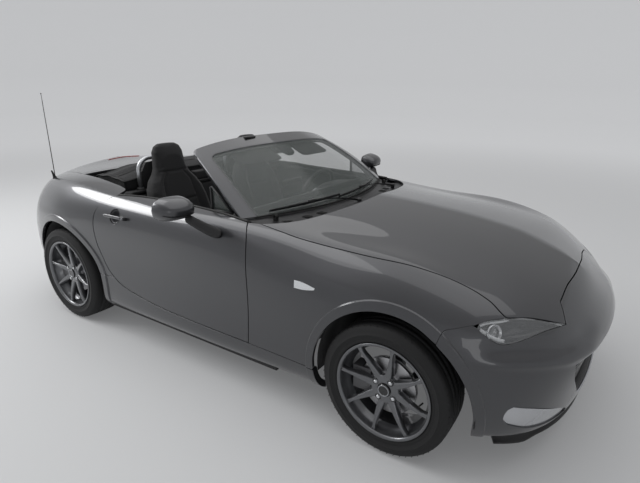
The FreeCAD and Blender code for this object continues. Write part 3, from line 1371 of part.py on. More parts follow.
rear_knuckles = []
for corner, (axle_x, axle_y, steered) in WHEELS.items():
    middle = V(axle_x, axle_y, TYRE_RADIUS)
    out = 1 if axle_y > 0 else -1
    save(corner + "_tyre", tyre(middle, out))
    save(corner + "_rim", rim(middle, out))
    save(corner + "_disc", brake_disc(middle, out))
    if steered:
        save(corner + "_knuckle", knuckle(middle, out, steered))
    else:
        rear_knuckles.append(knuckle(middle, out, steered))
save("rear_knuckles", rear_knuckles)
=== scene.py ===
import math

import bmesh
import bpy
import numpy as np
from mathutils import Matrix, Vector
from mathutils.geometry import delaunay_2d_cdt


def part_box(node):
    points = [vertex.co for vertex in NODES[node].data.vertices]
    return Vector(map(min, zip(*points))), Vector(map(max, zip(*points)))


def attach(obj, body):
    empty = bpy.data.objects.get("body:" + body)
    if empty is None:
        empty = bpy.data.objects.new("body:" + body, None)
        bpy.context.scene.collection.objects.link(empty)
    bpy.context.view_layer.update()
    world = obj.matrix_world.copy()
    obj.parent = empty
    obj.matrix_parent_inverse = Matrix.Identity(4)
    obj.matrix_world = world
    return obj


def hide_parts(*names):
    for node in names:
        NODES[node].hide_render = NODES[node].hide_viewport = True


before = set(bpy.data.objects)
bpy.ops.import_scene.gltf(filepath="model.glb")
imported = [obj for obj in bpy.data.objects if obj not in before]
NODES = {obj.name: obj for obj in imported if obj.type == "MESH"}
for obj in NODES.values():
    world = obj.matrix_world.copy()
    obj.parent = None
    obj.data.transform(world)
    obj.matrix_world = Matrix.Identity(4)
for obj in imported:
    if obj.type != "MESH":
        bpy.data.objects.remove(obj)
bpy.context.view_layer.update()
MM = 0.001


# ------------------------------------------------------------------ measures taken from the frame
def centre(node):
    low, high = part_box(node)
    return (low + high) / 2


CORNERS = ("front_left", "front_right", "rear_left", "rear_right")
WHEEL_AT = {c: centre(c + "_tyre") for c in CORNERS}
TYRE_LOW, TYRE_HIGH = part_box("front_left_tyre")
TYRE_R = (TYRE_HIGH.z - TYRE_LOW.z) / 2
TYRE_HALF = (TYRE_HIGH.y - TYRE_LOW.y) / 2
RIM_R = (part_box("front_left_rim")[1].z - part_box("front_left_rim")[0].z) / 2
FRONT_X = WHEEL_AT["front_left"].x
REAR_X = WHEEL_AT["rear_left"].x
ARCH_R = 0.360                  # wheel-arch edge
ARCH_AHEAD = 0.015              # arch centre ahead of its axle

# ------------------------------------------------------------------ body lines plan (mm)
# Poles of one cubic surface for the left half: levels L0 (bottom edge) to L7 (shoulder), T1 and
# T2 across the top, T3 on the centreline.
# nose, per level L0..T2: centre (x, z), then (x, y, z) at a third and two thirds of the corner
NOSE = (
    (1790, 150, 1762, 430, 152, 1640, 640, 165),
    (1862, 150, 1835, 440, 152, 1688, 700, 170),
    (1892, 210, 1862, 460, 215, 1708, 735, 240),
    (1908, 300, 1878, 470, 310, 1722, 752, 340),
    (1935, 400, 1900, 475, 410, 1730, 758, 445),
    (1967, 482, 1920, 470, 497, 1716, 752, 545),
    (1942, 545, 1886, 450, 562, 1674, 735, 630),
    (1885, 600, 1822, 420, 615, 1620, 705, 690),
    (1840, 655, 1780, 360, 665, 1600, 600, 735),
    (1800, 695, 1735, 250, 720, 1585, 380, 775),
)
NOSE_CENTRE = ((1765, 722), (1735, 740), (1680, 768), (1600, 797))
# flank stations: x, half breadths L0..T2, heights L0..T3
FLANK = (
    (1480, (690, 765, 812, 834, 842, 838, 800, 715, 600, 340),
     (165, 168, 235, 340, 455, 575, 685, 768, 770, 812, 838)),
    (1330, (700, 785, 832, 850, 856, 850, 812, 700, 585, 340),
     (165, 168, 235, 345, 465, 590, 715, 818, 795, 842, 862)),
    (1182, (700, 790, 838, 856, 862, 856, 818, 690, 575, 335),
     (165, 168, 235, 345, 470, 605, 740, 848, 812, 862, 882)),
    (1000, (710, 790, 838, 854, 858, 850, 812, 685, 570, 330),
     (165, 168, 235, 345, 470, 605, 742, 850, 822, 878, 898)),
    (780, (740, 800, 836, 844, 842, 838, 806, 695, 575, 325),
     (165, 170, 240, 350, 475, 608, 735, 843, 832, 892, 912)),
    (400, (760, 812, 838, 824, 812, 818, 812, 752, 640, 330),
     (165, 172, 245, 355, 480, 610, 735, 862, 868, 905, 925)),
    (0, (760, 814, 840, 822, 808, 818, 828, 775, 680, 340),
     (165, 172, 245, 355, 480, 612, 735, 858, 885, 890, 890)),
    (-400, (760, 814, 840, 820, 808, 824, 840, 790, 690, 340),
     (165, 172, 245, 355, 480, 612, 738, 862, 885, 890, 890)),
    (-720, (755, 812, 838, 828, 828, 848, 862, 800, 690, 340),
     (165, 172, 245, 355, 482, 620, 750, 878, 902, 905, 905)),
    (-960, (740, 808, 838, 842, 852, 868, 868, 780, 660, 330),
     (168, 175, 248, 360, 490, 630, 765, 898, 922, 925, 925)),
    (-1128, (700, 790, 830, 850, 862, 872, 862, 760, 630, 320),
     (175, 180, 250, 365, 495, 635, 770, 902, 922, 925, 925)),
    (-1350, (680, 765, 803, 828, 838, 838, 812, 722, 600, 310),
     (190, 195, 260, 370, 495, 625, 755, 882, 902, 915, 918)),
    (-1560, (650, 725, 763, 788, 795, 787, 755, 672, 555, 300),
     (210, 215, 270, 375, 495, 615, 735, 850, 878, 900, 905)),
)
# tail, per level L0..T2: (x, y, z) at two thirds and a third of the corner, then centre (x, z)
TAIL = (
    (-1675, 580, 225, -1790, 400, 235, -1810, 235),
    (-1720, 630, 228, -1860, 440, 238, -1890, 238),
    (-1742, 662, 285, -1900, 455, 290, -1935, 290),
    (-1756, 685, 385, -1918, 468, 390, -1955, 390),
    (-1760, 690, 495, -1922, 472, 500, -1962, 500),
    (-1750, 680, 600, -1903, 462, 600, -1945, 600),
    (-1728, 652, 700, -1865, 440, 700, -1905, 705),
    (-1700, 595, 800, -1815, 405, 790, -1860, 800),
    (-1688, 490, 868, -1800, 330, 868, -1850, 868),
    (-1680, 290, 893, -1780, 200, 895, -1835, 895),
)
TAIL_CENTRE = ((-1670, 905), (-1740, 904), (-1790, 904), (-1815, 902))
CENTRE_STRIP = 170
CENTRE_TAPER = (1, 1, 1, 1, 1, 1, 1, 0.95, 0.8, 0.5)


def pole_net():
    """Poles of the body skin in metres, as an array of columns from nose to tail."""
    cols = [[(r[0], 0, r[1]) for r in NOSE] + [(NOSE_CENTRE[0][0], 0, NOSE_CENTRE[0][1])],
            [(r[0], CENTRE_STRIP * w, r[1]) for r, w in zip(NOSE, CENTRE_TAPER)]
            + [(NOSE_CENTRE[1][0], 0, NOSE_CENTRE[1][1])],
            [r[2:5] for r in NOSE] + [(NOSE_CENTRE[2][0], 0, NOSE_CENTRE[2][1])],
            [r[5:8] for r in NOSE] + [(NOSE_CENTRE[3][0], 0, NOSE_CENTRE[3][1])]]
    for x, breadths, heights in FLANK:
        cols.append([(x, y, z) for y, z in zip(breadths, heights)] + [(x, 0, heights[10])])
    cols.append([r[0:3] for r in TAIL] + [(TAIL_CENTRE[0][0], 0, TAIL_CENTRE[0][1])])
    cols.append([r[3:6] for r in TAIL] + [(TAIL_CENTRE[1][0], 0, TAIL_CENTRE[1][1])])
    cols.append([(r[6], CENTRE_STRIP * w, r[7]) for r, w in zip(TAIL, CENTRE_TAPER)]
                + [(TAIL_CENTRE[2][0], 0, TAIL_CENTRE[2][1])])
    cols.append([(r[6], 0, r[7]) for r in TAIL] + [(TAIL_CENTRE[3][0], 0, TAIL_CENTRE[3][1])])
    return np.array(cols, float) * MM


NET = pole_net()
U_END, V_END = NET.shape[0] - 3.0, NET.shape[1] - 3.0


def basis(t, count):
    """Clamped uniform cubic basis at each t, as a matrix with one column per pole."""
    spans = count - 3
    knots = np.concatenate([[0.0] * 3, np.arange(spans + 1.0), [float(spans)] * 3])
    t = np.clip(np.asarray(t, float), 0, spans - 1e-9)
    b = [((knots[i] <= t) & (t < knots[i + 1])).astype(float) for i in range(len(knots) - 1)]
    for p in range(1, 4):
        nxt = []
        for i in range(len(b) - 1):
            left, right = knots[i + p] - knots[i], knots[i + p + 1] - knots[i + 1]
            value = 0
            if left > 0:
                value = value + (t - knots[i]) / left * b[i]
            if right > 0:
                value = value + (knots[i + p + 1] - t) / right * b[i + 1]
            nxt.append(value + np.zeros_like(t))
        b = nxt
    return np.stack(b, 1)


def bare_skin(uv):
    """Places on the plain surface; past the centreline it goes on as its own mirror image."""
    u, v = uv[:, 0].copy(), uv[:, 1].copy()
    side = np.ones(len(u))
    low = u < 0
    u[low], side[low] = -u[low], -side[low]
    high = u > U_END
    u[high], side[high] = 2 * U_END - u[high], -side[high]
    high = v > V_END
    v[high], side[high] = 2 * V_END - v[high], -side[high]
    v = np.maximum(v, 0)
    rows = np.einsum("ni,ijk->njk", basis(u, NET.shape[0]), NET)
    p = np.einsum("nj,njk->nk", basis(v, NET.shape[1]), rows)
    p[:, 1] *= side
    return p


STEP = 1e-3                     # step in u and v for a surface's slopes


def across(surface, uv):
    """Unit normals of a surface given as a function of (u, v)."""
    du, dv = np.array([STEP, 0]), np.array([0, STEP])
    n = np.cross(surface(uv + du) - surface(uv - du), surface(uv + dv) - surface(uv - dv))
    return n / np.maximum(np.linalg.norm(n, axis=1, keepdims=True), 1e-12)


def smooth(x, low, high):
    """An eased step from 0 at low to 1 at high."""
    t = np.clip((x - low) / (high - low), 0, 1)
    return t * t * (3 - 2 * t)


# width, height and edge width of the raised band round each wheel arch
FLARE_BAND, FLARE_RISE, FLARE_EDGE = 0.044, 0.0065, 0.006
# half breadth and height of the crease that runs from each headlight to the grille
CREASE = ((0.30, 0.507), (0.46, 0.511), (0.55, 0.515), (0.65, 0.532), (0.72, 0.543), (0.82, 0.550))
CREASE_RISE, SCOOP_SINK = 0.0085, 0.0075


def crease(p):
    """The sharp crease below each headlight and the hollow above it."""
    y = np.abs(p[:, 1])
    d = p[:, 2] - np.interp(y, *zip(*CREASE))
    ridge = np.exp(-(d / np.where(d > 0, 0.026, 0.017)) ** 2) * CREASE_RISE
    hollow = np.exp(-((d - 0.058) / 0.026) ** 2) * SCOOP_SINK
    fade = smooth(p[:, 0], 1.50, 1.64) * smooth(y, 0.26, 0.42)
    return (ridge - hollow) * fade


def relief(p):
    """How far the finished skin stands out from the plain surface."""
    rise = crease(p)
    outboard = smooth(np.abs(p[:, 1]), 0.60, 0.70)
    for axle_x in (FRONT_X, REAR_X):
        r = np.hypot(p[:, 0] - axle_x - ARCH_AHEAD, p[:, 2] - TYRE_R)
        edge = ARCH_R + FLARE_BAND
        rise += FLARE_RISE * (1 - smooth(r, edge - FLARE_EDGE, edge)) * outboard
    return rise


def skin(uv):
    p = bare_skin(uv)
    return p + across(bare_skin, uv) * relief(p)[:, None]


# ------------------------------------------------------------------ places and lines on the skin
FAR = 1e9                       # stands for out of the running in a search
NEWTON_STEPS, PROBE = 14, 1e-4
VIEW_AXES = {"s": (0, 2), "t": (0, 1), "f": (1, 2), "r": (1, 2)}
SEED_UV = np.array([(u, v) for u in np.arange(0, U_END + 0.1, 0.25)
                    for v in np.arange(0, V_END + 0.1, 0.25)])
SEED_AT = bare_skin(SEED_UV)


def place_many(view, points):
    """Skin parameters of places named in one view: s side (x, z), t top (x, y), f front or
    r rear (y, z), all in mm; S is the side view in metres."""
    at = np.array(points, float).reshape(-1, 2)
    if view == "S":
        view = "s"
    else:
        at = at * MM
    i, j = VIEW_AXES[view]
    miss = (SEED_AT[None, :, i] - at[:, 0, None]) ** 2 + (SEED_AT[None, :, j] - at[:, 1, None]) ** 2
    if view == "t":
        miss[:, SEED_UV[:, 1] < V_END / 2] = FAR
    if view == "f":
        miss[:, SEED_AT[:, 0] < 0] = FAR
    if view == "r":
        miss[:, SEED_AT[:, 0] > 0] = FAR
    uv = SEED_UV[np.argmin(miss, 1)].copy()
    for _ in range(NEWTON_STEPS):
        uv = np.minimum(uv, [U_END - PROBE, V_END - PROBE])
        p, pu, pv = bare_skin(uv), bare_skin(uv + [PROBE, 0]), bare_skin(uv + [0, PROBE])
        pu, pv = (pu - p) / PROBE, (pv - p) / PROBE
        det = pu[:, i] * pv[:, j] - pu[:, j] * pv[:, i]
        det[np.abs(det) < 1e-12] = FAR
        ra, rb = at[:, 0] - p[:, i], at[:, 1] - p[:, j]
        move = np.stack([(ra * pv[:, j] - rb * pv[:, i]) / det,
                         (pu[:, i] * rb - pu[:, j] * ra) / det], 1)
        move /= np.maximum(np.abs(move).max(1, keepdims=True), 1.0)
        uv = np.clip(uv + move, 0, [U_END, V_END])
        if np.abs(move).sum(1).max() < 1e-6:
            break
    return uv


def place(point):
    return place_many(point[0], point[1:])[0]


SKIRT_TOP = 0.19                # flare points below this height are not needed


def flare_points():
    """Places in rings round each wheel arch, close together where the flare steps down."""
    rows = []
    for axle_x in (FRONT_X, REAR_X):
        for rise in (0.009, 0.019, 0.029, 0.0365, 0.0385, 0.040, 0.0415, 0.043, 0.0445, 0.052):
            r = ARCH_R + rise
            for degrees in range(-20, 200, 2):
                a = math.radians(degrees)
                x, z = axle_x + ARCH_AHEAD + r * math.cos(a), TYRE_R + r * math.sin(a)
                if z > SKIRT_TOP:
                    rows.append((x, z))
    at = np.array(rows)
    uv = place_many("S", at)
    p = bare_skin(uv)
    found = np.hypot(p[:, 0] - at[:, 0], p[:, 2] - at[:, 1]) < 1e-4
    return uv[found & (p[:, 1] > 0.6) & (uv[:, 1] < 6.2)]


FLARE_POINTS = flare_points()


class Line:
    """A smooth run of places on the skin, read by shares of its length."""

    def __init__(self, *points):
        self.uv = np.array([place(p) for p in points])
        steps = np.linalg.norm(np.diff(bare_skin(self.uv), axis=0), axis=1)
        self.length = steps.sum()
        self.at = np.concatenate([[0], np.cumsum(steps)]) / self.length
        self.corners = []
        last = len(self.at) - 1
        before = np.maximum(np.arange(last + 1) - 1, 0)
        after = np.minimum(np.arange(last + 1) + 1, last)
        self.slope = (self.uv[after] - self.uv[before]) / (self.at[after] - self.at[before])[:, None]

    def __call__(self, share):
        share = np.asarray(share, float)
        i = np.clip(np.searchsorted(self.at, share, side="right") - 1, 0, len(self.at) - 2)
        span = (self.at[i + 1] - self.at[i])[:, None]
        t = (share - self.at[i])[:, None] / span
        start, end = self.slope[i] * span, self.slope[i + 1] * span
        return ((2 * t ** 3 - 3 * t ** 2 + 1) * self.uv[i] + (t ** 3 - 2 * t ** 2 + t) * start
                + (3 * t ** 2 - 2 * t ** 3) * self.uv[i + 1] + (t ** 3 - t ** 2) * end)


class Chain:
    """Lines end to end with sharp corners. A line in brackets runs backwards."""

    def __init__(self, *lines):
        self.lines = [(x[0], True) if isinstance(x, list) else (x, False) for x in lines]
        self.length = sum(x.length for x, _ in self.lines)
        self.at, self.corners = [0.0], []
        for line, backwards in self.lines:
            start, share = self.at[-1], line.length / self.length
            inner = [1 - c for c in line.corners] if backwards else line.corners
            self.corners += [start + c * share for c in inner]
            self.at.append(start + share)
        self.corners += self.at[1:-1]

    def __call__(self, share):
        share = np.asarray(share, float)
        out = np.zeros((len(share), 2))
        for k, (line, backwards) in enumerate(self.lines):
            mine = share > (self.at[k] if k else -FAR)
            if k < len(self.lines) - 1:
                mine &= share <= self.at[k + 1]
            if mine.any():
                t = (share[mine] - self.at[k]) / (self.at[k + 1] - self.at[k])
                out[mine] = line(1 - t if backwards else t)
        return out


def coons(low, high, fore, aft):
    """Skin parameters inside four lines: low and high run aft to fore, fore and aft upwards."""
    ends = np.array([0.0, 1.0])
    (c00, c10), (c01, c11) = low(ends), high(ends)

    def inside(s, t):
        s, t = np.broadcast_arrays(np.asarray(s, float), np.asarray(t, float))
        a, b, c, d = low(s), high(s), aft(t), fore(t)
        s, t = s[:, None], t[:, None]
        flat = (1 - s) * (1 - t) * c00 + s * (1 - t) * c10 + (1 - s) * t * c01 + s * t * c11
        return (1 - t) * a + t * b + (1 - s) * c + s * d - flat
    return inside


WIDEST_INSET = 0.12             # as a share of the patch


def inset(inside, along_s, share, end, gap):
    """How far, as a share, a gap in metres reaches in from one end at each share across."""
    inner = STEP if end == 0 else 1 - STEP
    other = np.where(share < 0.5, share + STEP, share - STEP)
    e, q = np.full_like(share, float(end)), np.full_like(share, inner)
    if along_s:
        p, near, side = inside(e, share), inside(q, share), inside(e, other)
    else:
        p, near, side = inside(share, e), inside(share, q), inside(other, e)
    p, near, side = bare_skin(p), bare_skin(near), bare_skin(side)
    run = side - p
    run /= np.maximum(np.linalg.norm(run, axis=1, keepdims=True), 1e-12)
    reach = np.linalg.norm(np.cross(near - p, run), axis=1) / STEP
    part = np.clip(gap / np.maximum(reach, 1e-9), -WIDEST_INSET, WIDEST_INSET)
    return e + (part if end == 0 else -part)


def shares(line, other, spacing):
    """Shares of two facing lines, about evenly spaced, with both lines' corners among them."""
    count = max(3, int(max(line.length, other.length) / spacing))
    stops = sorted({0.0, 1.0, *line.corners, *other.corners})
    out = [0.0]
    for a, b in zip(stops, stops[1:]):
        steps = max(1, round((b - a) * count))
        out += [a + (b - a) * (k + 1) / steps for k in range(steps)]
    return np.array(out)


SHORTEST_EDGE = 0.0008


def outline(lines, gaps, spacing=0.008):
    """The closed border of a patch in skin parameters, interior on the left."""
    low, high, fore, aft = lines
    inside = coons(low, high, fore, aft)

    def cell(s, t):
        t0 = inset(inside, False, s, 0, gaps[0])
        t1 = inset(inside, False, s, 1, gaps[1])
        tt = t0 + (t1 - t0) * t
        across_t = np.clip(tt, 0, 1)
        s0 = inset(inside, True, across_t, 0, gaps[3])
        s1 = inset(inside, True, across_t, 1, gaps[2])
        return inside(s0 + (s1 - s0) * s, tt)
    s, t = shares(low, high, spacing), shares(fore, aft, spacing)
    zero, one = np.zeros_like, np.ones_like
    ring = np.concatenate([cell(s, zero(s))[:-1], cell(one(t), t)[:-1], cell(s, one(s))[::-1][:-1],
                           cell(zero(t), t)[::-1][:-1]])
    edges = np.linalg.norm(bare_skin(ring) - bare_skin(np.roll(ring, 1, 0)), axis=1)
    ring = ring[edges > SHORTEST_EDGE]
    return ring if ring_area(ring) > 0 else ring[::-1]


def ring_area(ring):
    """Signed area of a ring of (u, v) points."""
    return np.sum(ring[:, 0] * np.roll(ring[:, 1], -1) - np.roll(ring[:, 0], -1) * ring[:, 1])


def as_hole(ring):
    """A ring turned the way a hole in a panel runs."""
    return ring[::-1] if ring_area(ring) > 0 else ring


def within(points, ring):
    """Which points lie inside a closed ring."""
    x, y = points[:, 0][:, None], points[:, 1][:, None]
    a, b = ring, np.roll(ring, -1, 0)
    cross = (a[:, 1] > y) != (b[:, 1] > y)
    with np.errstate(divide="ignore", invalid="ignore"):
        at = a[:, 0] + (y - a[:, 1]) / (b[:, 1] - a[:, 1]) * (b[:, 0] - a[:, 0])
    return (np.sum(cross & (x < at), 1) % 2) == 1


LATTICE_U, LATTICE_V = 0.06, 0.06        # spacing of the mesh points inside a panel
METRIC = np.array([0.2, 0.12])           # metres per unit of u and v, near enough for meshing
CLEAR_OF_BORDER, CLEAR_OF_FLARE = 0.0045, 0.012


def meshed(rings, surface=None):
    """Triangles over the area inside the first ring and outside the others."""
    low, high = rings[0].min(0), rings[0].max(0)
    lattice = np.array([(u, v) for u in np.arange(low[0], high[0], LATTICE_U)
                        for v in np.arange(low[1], high[1], LATTICE_V)]).reshape(-1, 2)
    keep = within(lattice, rings[0])
    for hole in rings[1:]:
        keep &= ~within(lattice, hole)
    lattice = lattice[keep]
    if surface is skin:
        extra = FLARE_POINTS[within(FLARE_POINTS, rings[0])]
        if len(extra):
            at = bare_skin(lattice)
            r = np.min([np.hypot(at[:, 0] - x - ARCH_AHEAD, at[:, 2] - TYRE_R)
                        for x in (FRONT_X, REAR_X)], 0)
            lattice = np.concatenate([lattice[r > ARCH_R + FLARE_BAND + CLEAR_OF_FLARE], extra])
    border = points = np.concatenate(rings)
    if len(lattice):
        clear = [np.min(np.sum(((border - p) * METRIC) ** 2, 1)) > CLEAR_OF_BORDER ** 2
                 for p in lattice]
        points = np.concatenate([border, lattice[np.array(clear)]])
    edges, start = [], 0
    for ring in rings:
        n = len(ring)
        edges += [(start + k, start + (k + 1) % n) for k in range(n)]
        start += n
    flat = [Vector((p[0] * METRIC[0], p[1] * METRIC[1])) for p in points]
    verts, _, faces, origin, _, _ = delaunay_2d_cdt(flat, edges, [], 0, 1e-7)
    uv = np.array([(v.x / METRIC[0], v.y / METRIC[1]) for v in verts])
    back = {}
    for k, names in enumerate(origin):
        for name in names:
            back[name] = k
    faces = np.array([f for f in faces if len(f) == 3])
    middle = uv[faces].mean(1)
    good = within(middle, rings[0])
    for hole in rings[1:]:
        good &= ~within(middle, hole)
    loops, start = [], 0
    for ring in rings:
        loops.append([back[start + k] for k in range(len(ring))])
        start += len(ring)
    return uv, faces[good], loops


HEM_STEPS = 3
INNER_BORDER = 0.0012           # first step of the inner face in from the flange


def strip_between(before, now):
    return [(before[i], now[i], now[(i + 1) % len(now)], before[(i + 1) % len(now)])
            for i in range(len(now))]


def shell(rings, radius, depth, surface=skin, sink=0.0):
    """A closed panel over the rings: outer face, rounded edge, flange and inner face."""
    uv, faces, loops = meshed(rings, surface)
    n = across(surface, uv)
    outer = surface(uv) - n * sink
    verts, norms, quads = [outer], [n], []
    count = len(outer)
    inner_of = {}
    for loop in loops:
        p, nn = outer[loop], n[loop]
        run = np.roll(p, -1, 0) - np.roll(p, 1, 0)
        away = np.cross(run, nn)
        away /= np.maximum(np.linalg.norm(away, axis=1, keepdims=True), 1e-9)
        before = np.array(loop)
        for k in range(1, HEM_STEPS + 2):
            a = min(k, HEM_STEPS) / HEM_STEPS * math.pi / 2
            ring = p + away * radius * math.sin(a) - nn * radius * (1 - math.cos(a))
            if k > HEM_STEPS:
                ring = ring - nn * (depth - radius)
            verts.append(ring)
            norms.append(away * math.sin(a) + nn * math.cos(a))
            now = np.arange(count, count + len(loop))
            count += len(loop)
            quads += strip_between(before, now)
            before = now
        verts.append(ring - away * INNER_BORDER)
        norms.append(-nn)
        now = np.arange(count, count + len(loop))
        count += len(loop)
        quads += strip_between(before, now)
        inner_of.update(zip(loop, now))
    inside_points = [k for k in range(len(outer)) if k not in inner_of]
    verts.append(outer[inside_points] - n[inside_points] * depth)
    norms.append(-n[inside_points])
    for k, i in enumerate(inside_points):
        inner_of[i] = count + k
    tris = [tuple(int(i) for i in f) for f in faces]
    tris += [(inner_of[f[0]], inner_of[f[2]], inner_of[f[1]]) for f in faces]
    quads = [tuple(int(i) for i in q) for q in quads]
    return np.concatenate(verts), tris + quads, np.concatenate(norms)


# ------------------------------------------------------------------ pieces
PAINTS, SLOT_OF = {}, {}


def mirrored(part):
    """A part reflected to the other side of the car."""
    verts, faces, norms = part
    flip = np.array([1, -1, 1])
    return verts * flip, [tuple(reversed(f)) for f in faces], None if norms is None else norms * flip


def joined(*parts):
    """Several parts as one."""
    verts, faces, norms, start = [], [], [], 0
    for v, f, n in parts:
        verts.append(v)
        norms.append(n if n is not None else np.zeros_like(v))
        faces += [tuple(i + start for i in face) for face in f]
        start += len(v)
    return np.concatenate(verts), faces, np.concatenate(norms)


def pair(part):
    """A left-hand part and its mirror image as one."""
    return joined(part, mirrored(part))


SIDES = (("left", lambda part: part), ("right", mirrored))


def linked(name, data):
    """A new object in the scene, holding the given data."""
    obj = bpy.data.objects.new(name, data)
    bpy.context.scene.collection.objects.link(obj)
    return obj


def bare_mesh(name, part):
    """A mesh from a part's points and faces."""
    mesh = bpy.data.meshes.new(name)
    mesh.from_pydata([tuple(v) for v in part[0]], [], [tuple(int(i) for i in f) for f in part[1]])
    return mesh


def piece(name, part, finish, body="body", stands_for=(), slot=None):
    """A finished object that rides on a body. finish names one of the materials."""
    mesh, norms = bare_mesh(name, part), part[2]
    mesh.validate()
    mesh.shade_smooth()
    if norms is not None and len(mesh.vertices) == len(norms):
        short = np.linalg.norm(norms, axis=1) < 0.5
        norms = np.where(short[:, None], [v.normal[:] for v in mesh.vertices], norms)
        mesh.normals_split_custom_set_from_vertices([tuple(v) for v in norms])
    mesh.materials.append(PAINTS[finish])
    return enrol(linked(name, mesh), finish, body, stands_for, slot)


def enrol(obj, finish, body="body", stands_for=(), slot=None):
    """Hangs an object on what it rides on and hides the CAD nodes it stands for. Its material slot is not
    used.
    """
    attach(obj, body)
    if stands_for:
        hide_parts(*stands_for)
    slot or SLOT_OF[finish]
    return obj


# ------------------------------------------------------------------ shut lines (plan, mm)
def arch(axle_x, angle):
    turn = math.radians(angle)
    return ("S", axle_x + ARCH_AHEAD + ARCH_R * math.cos(turn), TYRE_R + ARCH_R * math.sin(turn))


def arch_run(axle_x, start, end, steps):
    return [arch(axle_x, start + (end - start) * i / steps) for i in range(steps + 1)]


def arch_foot(axle_x, z, side):
    rise = z * MM - TYRE_R
    return ("S", axle_x + ARCH_AHEAD + side * math.sqrt(ARCH_R ** 2 - rise ** 2), z * MM)


SILL_TOP, SKIRT, BUMPER_EDGE, TAIL_EDGE = 290, 175, 202, 235
FENDER_ARCH_END, QUARTER_ARCH_END, QUARTER_FOOT = 55, 140, 14
DOOR_HEEL = ("s", -640, 385)
DOOR_TOP_REAR = ("t", -604, 756)
DOOR_TOP_FRONT = ("t", 352, 704)
DOOR_TOE = ("s", 436, SILL_TOP)
BONNET_HEEL = ("t", 416, 688)
HEADLIGHT_PEAK = ("t", 1613, 677)
HEADLIGHT_OUTER = ("s", 1522, 676)
HEADLIGHT_INNER = ("f", 456, 617)
NOSE_CORNER = ("f", 375, 671)
LAMP_FOOT, LAMP_HEAD = ("r", 640, 640), ("r", 600, 785)
LID_SHOULDER, LID_FOOT = ("r", 512, 792), ("r", 498, 640)

door_front = Line(DOOR_TOE, ("s", 437, 464), ("s", 436, 622), ("s", 422, 745), ("s", 392, 822),
                  DOOR_TOP_FRONT)
door_rear = Line(DOOR_HEEL, ("s", -690, 435), ("s", -721, 515), ("s", -737, 600),
                 ("s", -721, 761), ("s", -693, 820), ("t", -640, 785), DOOR_TOP_REAR)
door_low = Line(DOOR_HEEL, ("s", -575, 352), ("s", -491, 332), ("s", -275, 304), ("s", 0, 292),
                ("s", 200, SILL_TOP), DOOR_TOE)
door_high = Line(DOOR_TOP_REAR, ("t", -457, 719), ("t", -313, 698), ("t", -159, 689),
                 ("t", 0, 688), ("t", 180, 692), DOOR_TOP_FRONT)
toe_run = Line(DOOR_TOE, ("s", 560, SILL_TOP), ("s", 700, SILL_TOP),
               arch_foot(FRONT_X, SILL_TOP, -1))
fender_arch = Line(arch_foot(FRONT_X, SILL_TOP, -1), *arch_run(FRONT_X, 170, FENDER_ARCH_END, 10))
fender_seam = Line(arch(FRONT_X, FENDER_ARCH_END), ("s", 1424, 645), ("s", 1463, 660),
                   HEADLIGHT_OUTER)
fender_tip = Line(HEADLIGHT_OUTER, ("t", 1565, 731), HEADLIGHT_PEAK)
cowl_tip = Line(DOOR_TOP_FRONT, BONNET_HEEL)
bonnet_side = Line(BONNET_HEEL, ("t", 550, 697), ("t", 674, 701), ("t", 886, 698),
                   ("t", 1080, 700), ("t", 1255, 684), ("t", 1419, 666), ("t", 1541, 667),
                   HEADLIGHT_PEAK)
lamp_top = Line(HEADLIGHT_PEAK, ("t", 1667, 610), ("t", 1713, 556), ("t", 1756, 508),
                HEADLIGHT_INNER)
lamp_under = Line(HEADLIGHT_OUTER, ("s", 1551, 654), ("s", 1604, 623), ("s", 1634, 616),
                  ("s", 1676, 622), ("f", 582, 628), HEADLIGHT_INNER)
nose_side = Line(HEADLIGHT_INNER, ("f", 411, 646), NOSE_CORNER)
nose_top = Line(NOSE_CORNER, ("t", 1759, 290), ("t", 1763, 216), ("t", 1775, 63), ("t", 1777, 0))
bonnet_heel = Line(BONNET_HEEL, ("t", 474, 649), ("t", 540, 575), ("t", 592, 479),
                   ("t", 640, 339), ("t", 674, 193), ("t", 690, 0))
bonnet_centre = Chain(Line(("t", 690, 0), ("t", 900, 0), ("t", 1200, 0), ("t", 1500, 0),
                           ("t", 1764.9, 0)), Line(("t", 1764.9, 0), ("t", 1777, 0)))
bumper_low = Line(arch_foot(FRONT_X, BUMPER_EDGE, 1), ("s", 1631, BUMPER_EDGE),
                  ("f", 660, BUMPER_EDGE), ("f", 540, BUMPER_EDGE), ("f", 373, BUMPER_EDGE),
                  ("f", 180, BUMPER_EDGE), ("f", 0, BUMPER_EDGE))
bumper_arch = Line(arch_foot(FRONT_X, BUMPER_EDGE, 1), *arch_run(FRONT_X, 0, FENDER_ARCH_END, 5))
bumper_centre = Line(("f", 0, BUMPER_EDGE), ("f", 0, 300), ("f", 0, 400), ("f", 0, 500),
                     ("f", 0, 600), ("f", 0, 680), ("t", 1777, 0))
lens_low = Line(("s", 1530, 668), ("s", 1551, 652), ("s", 1604, 623), ("s", 1634, 616),
                ("s", 1676, 622), ("f", 582, 628), ("f", 462, 618))
lens_high = Line(("s", 1535, 682), ("t", 1565, 731), HEADLIGHT_PEAK, ("t", 1667, 610),
                 ("t", 1713, 556), ("t", 1756, 508), ("f", 462, 622))
lens_aft = Line(("s", 1530, 668), ("s", 1535, 682))
lens_fore = Line(("f", 462, 618), ("f", 462, 622))
sill_low = Line(arch_foot(REAR_X, SKIRT, 1), ("s", -500, SKIRT), ("s", 0, SKIRT),
                ("s", 500, SKIRT), arch_foot(FRONT_X, SKIRT, -1))
heel_run = Line(arch(REAR_X, QUARTER_FOOT), DOOR_HEEL)
sill_aft = Line(arch_foot(REAR_X, SKIRT, 1), arch_foot(REAR_X, 240, 1), arch(REAR_X, 0),
                arch(REAR_X, QUARTER_FOOT))
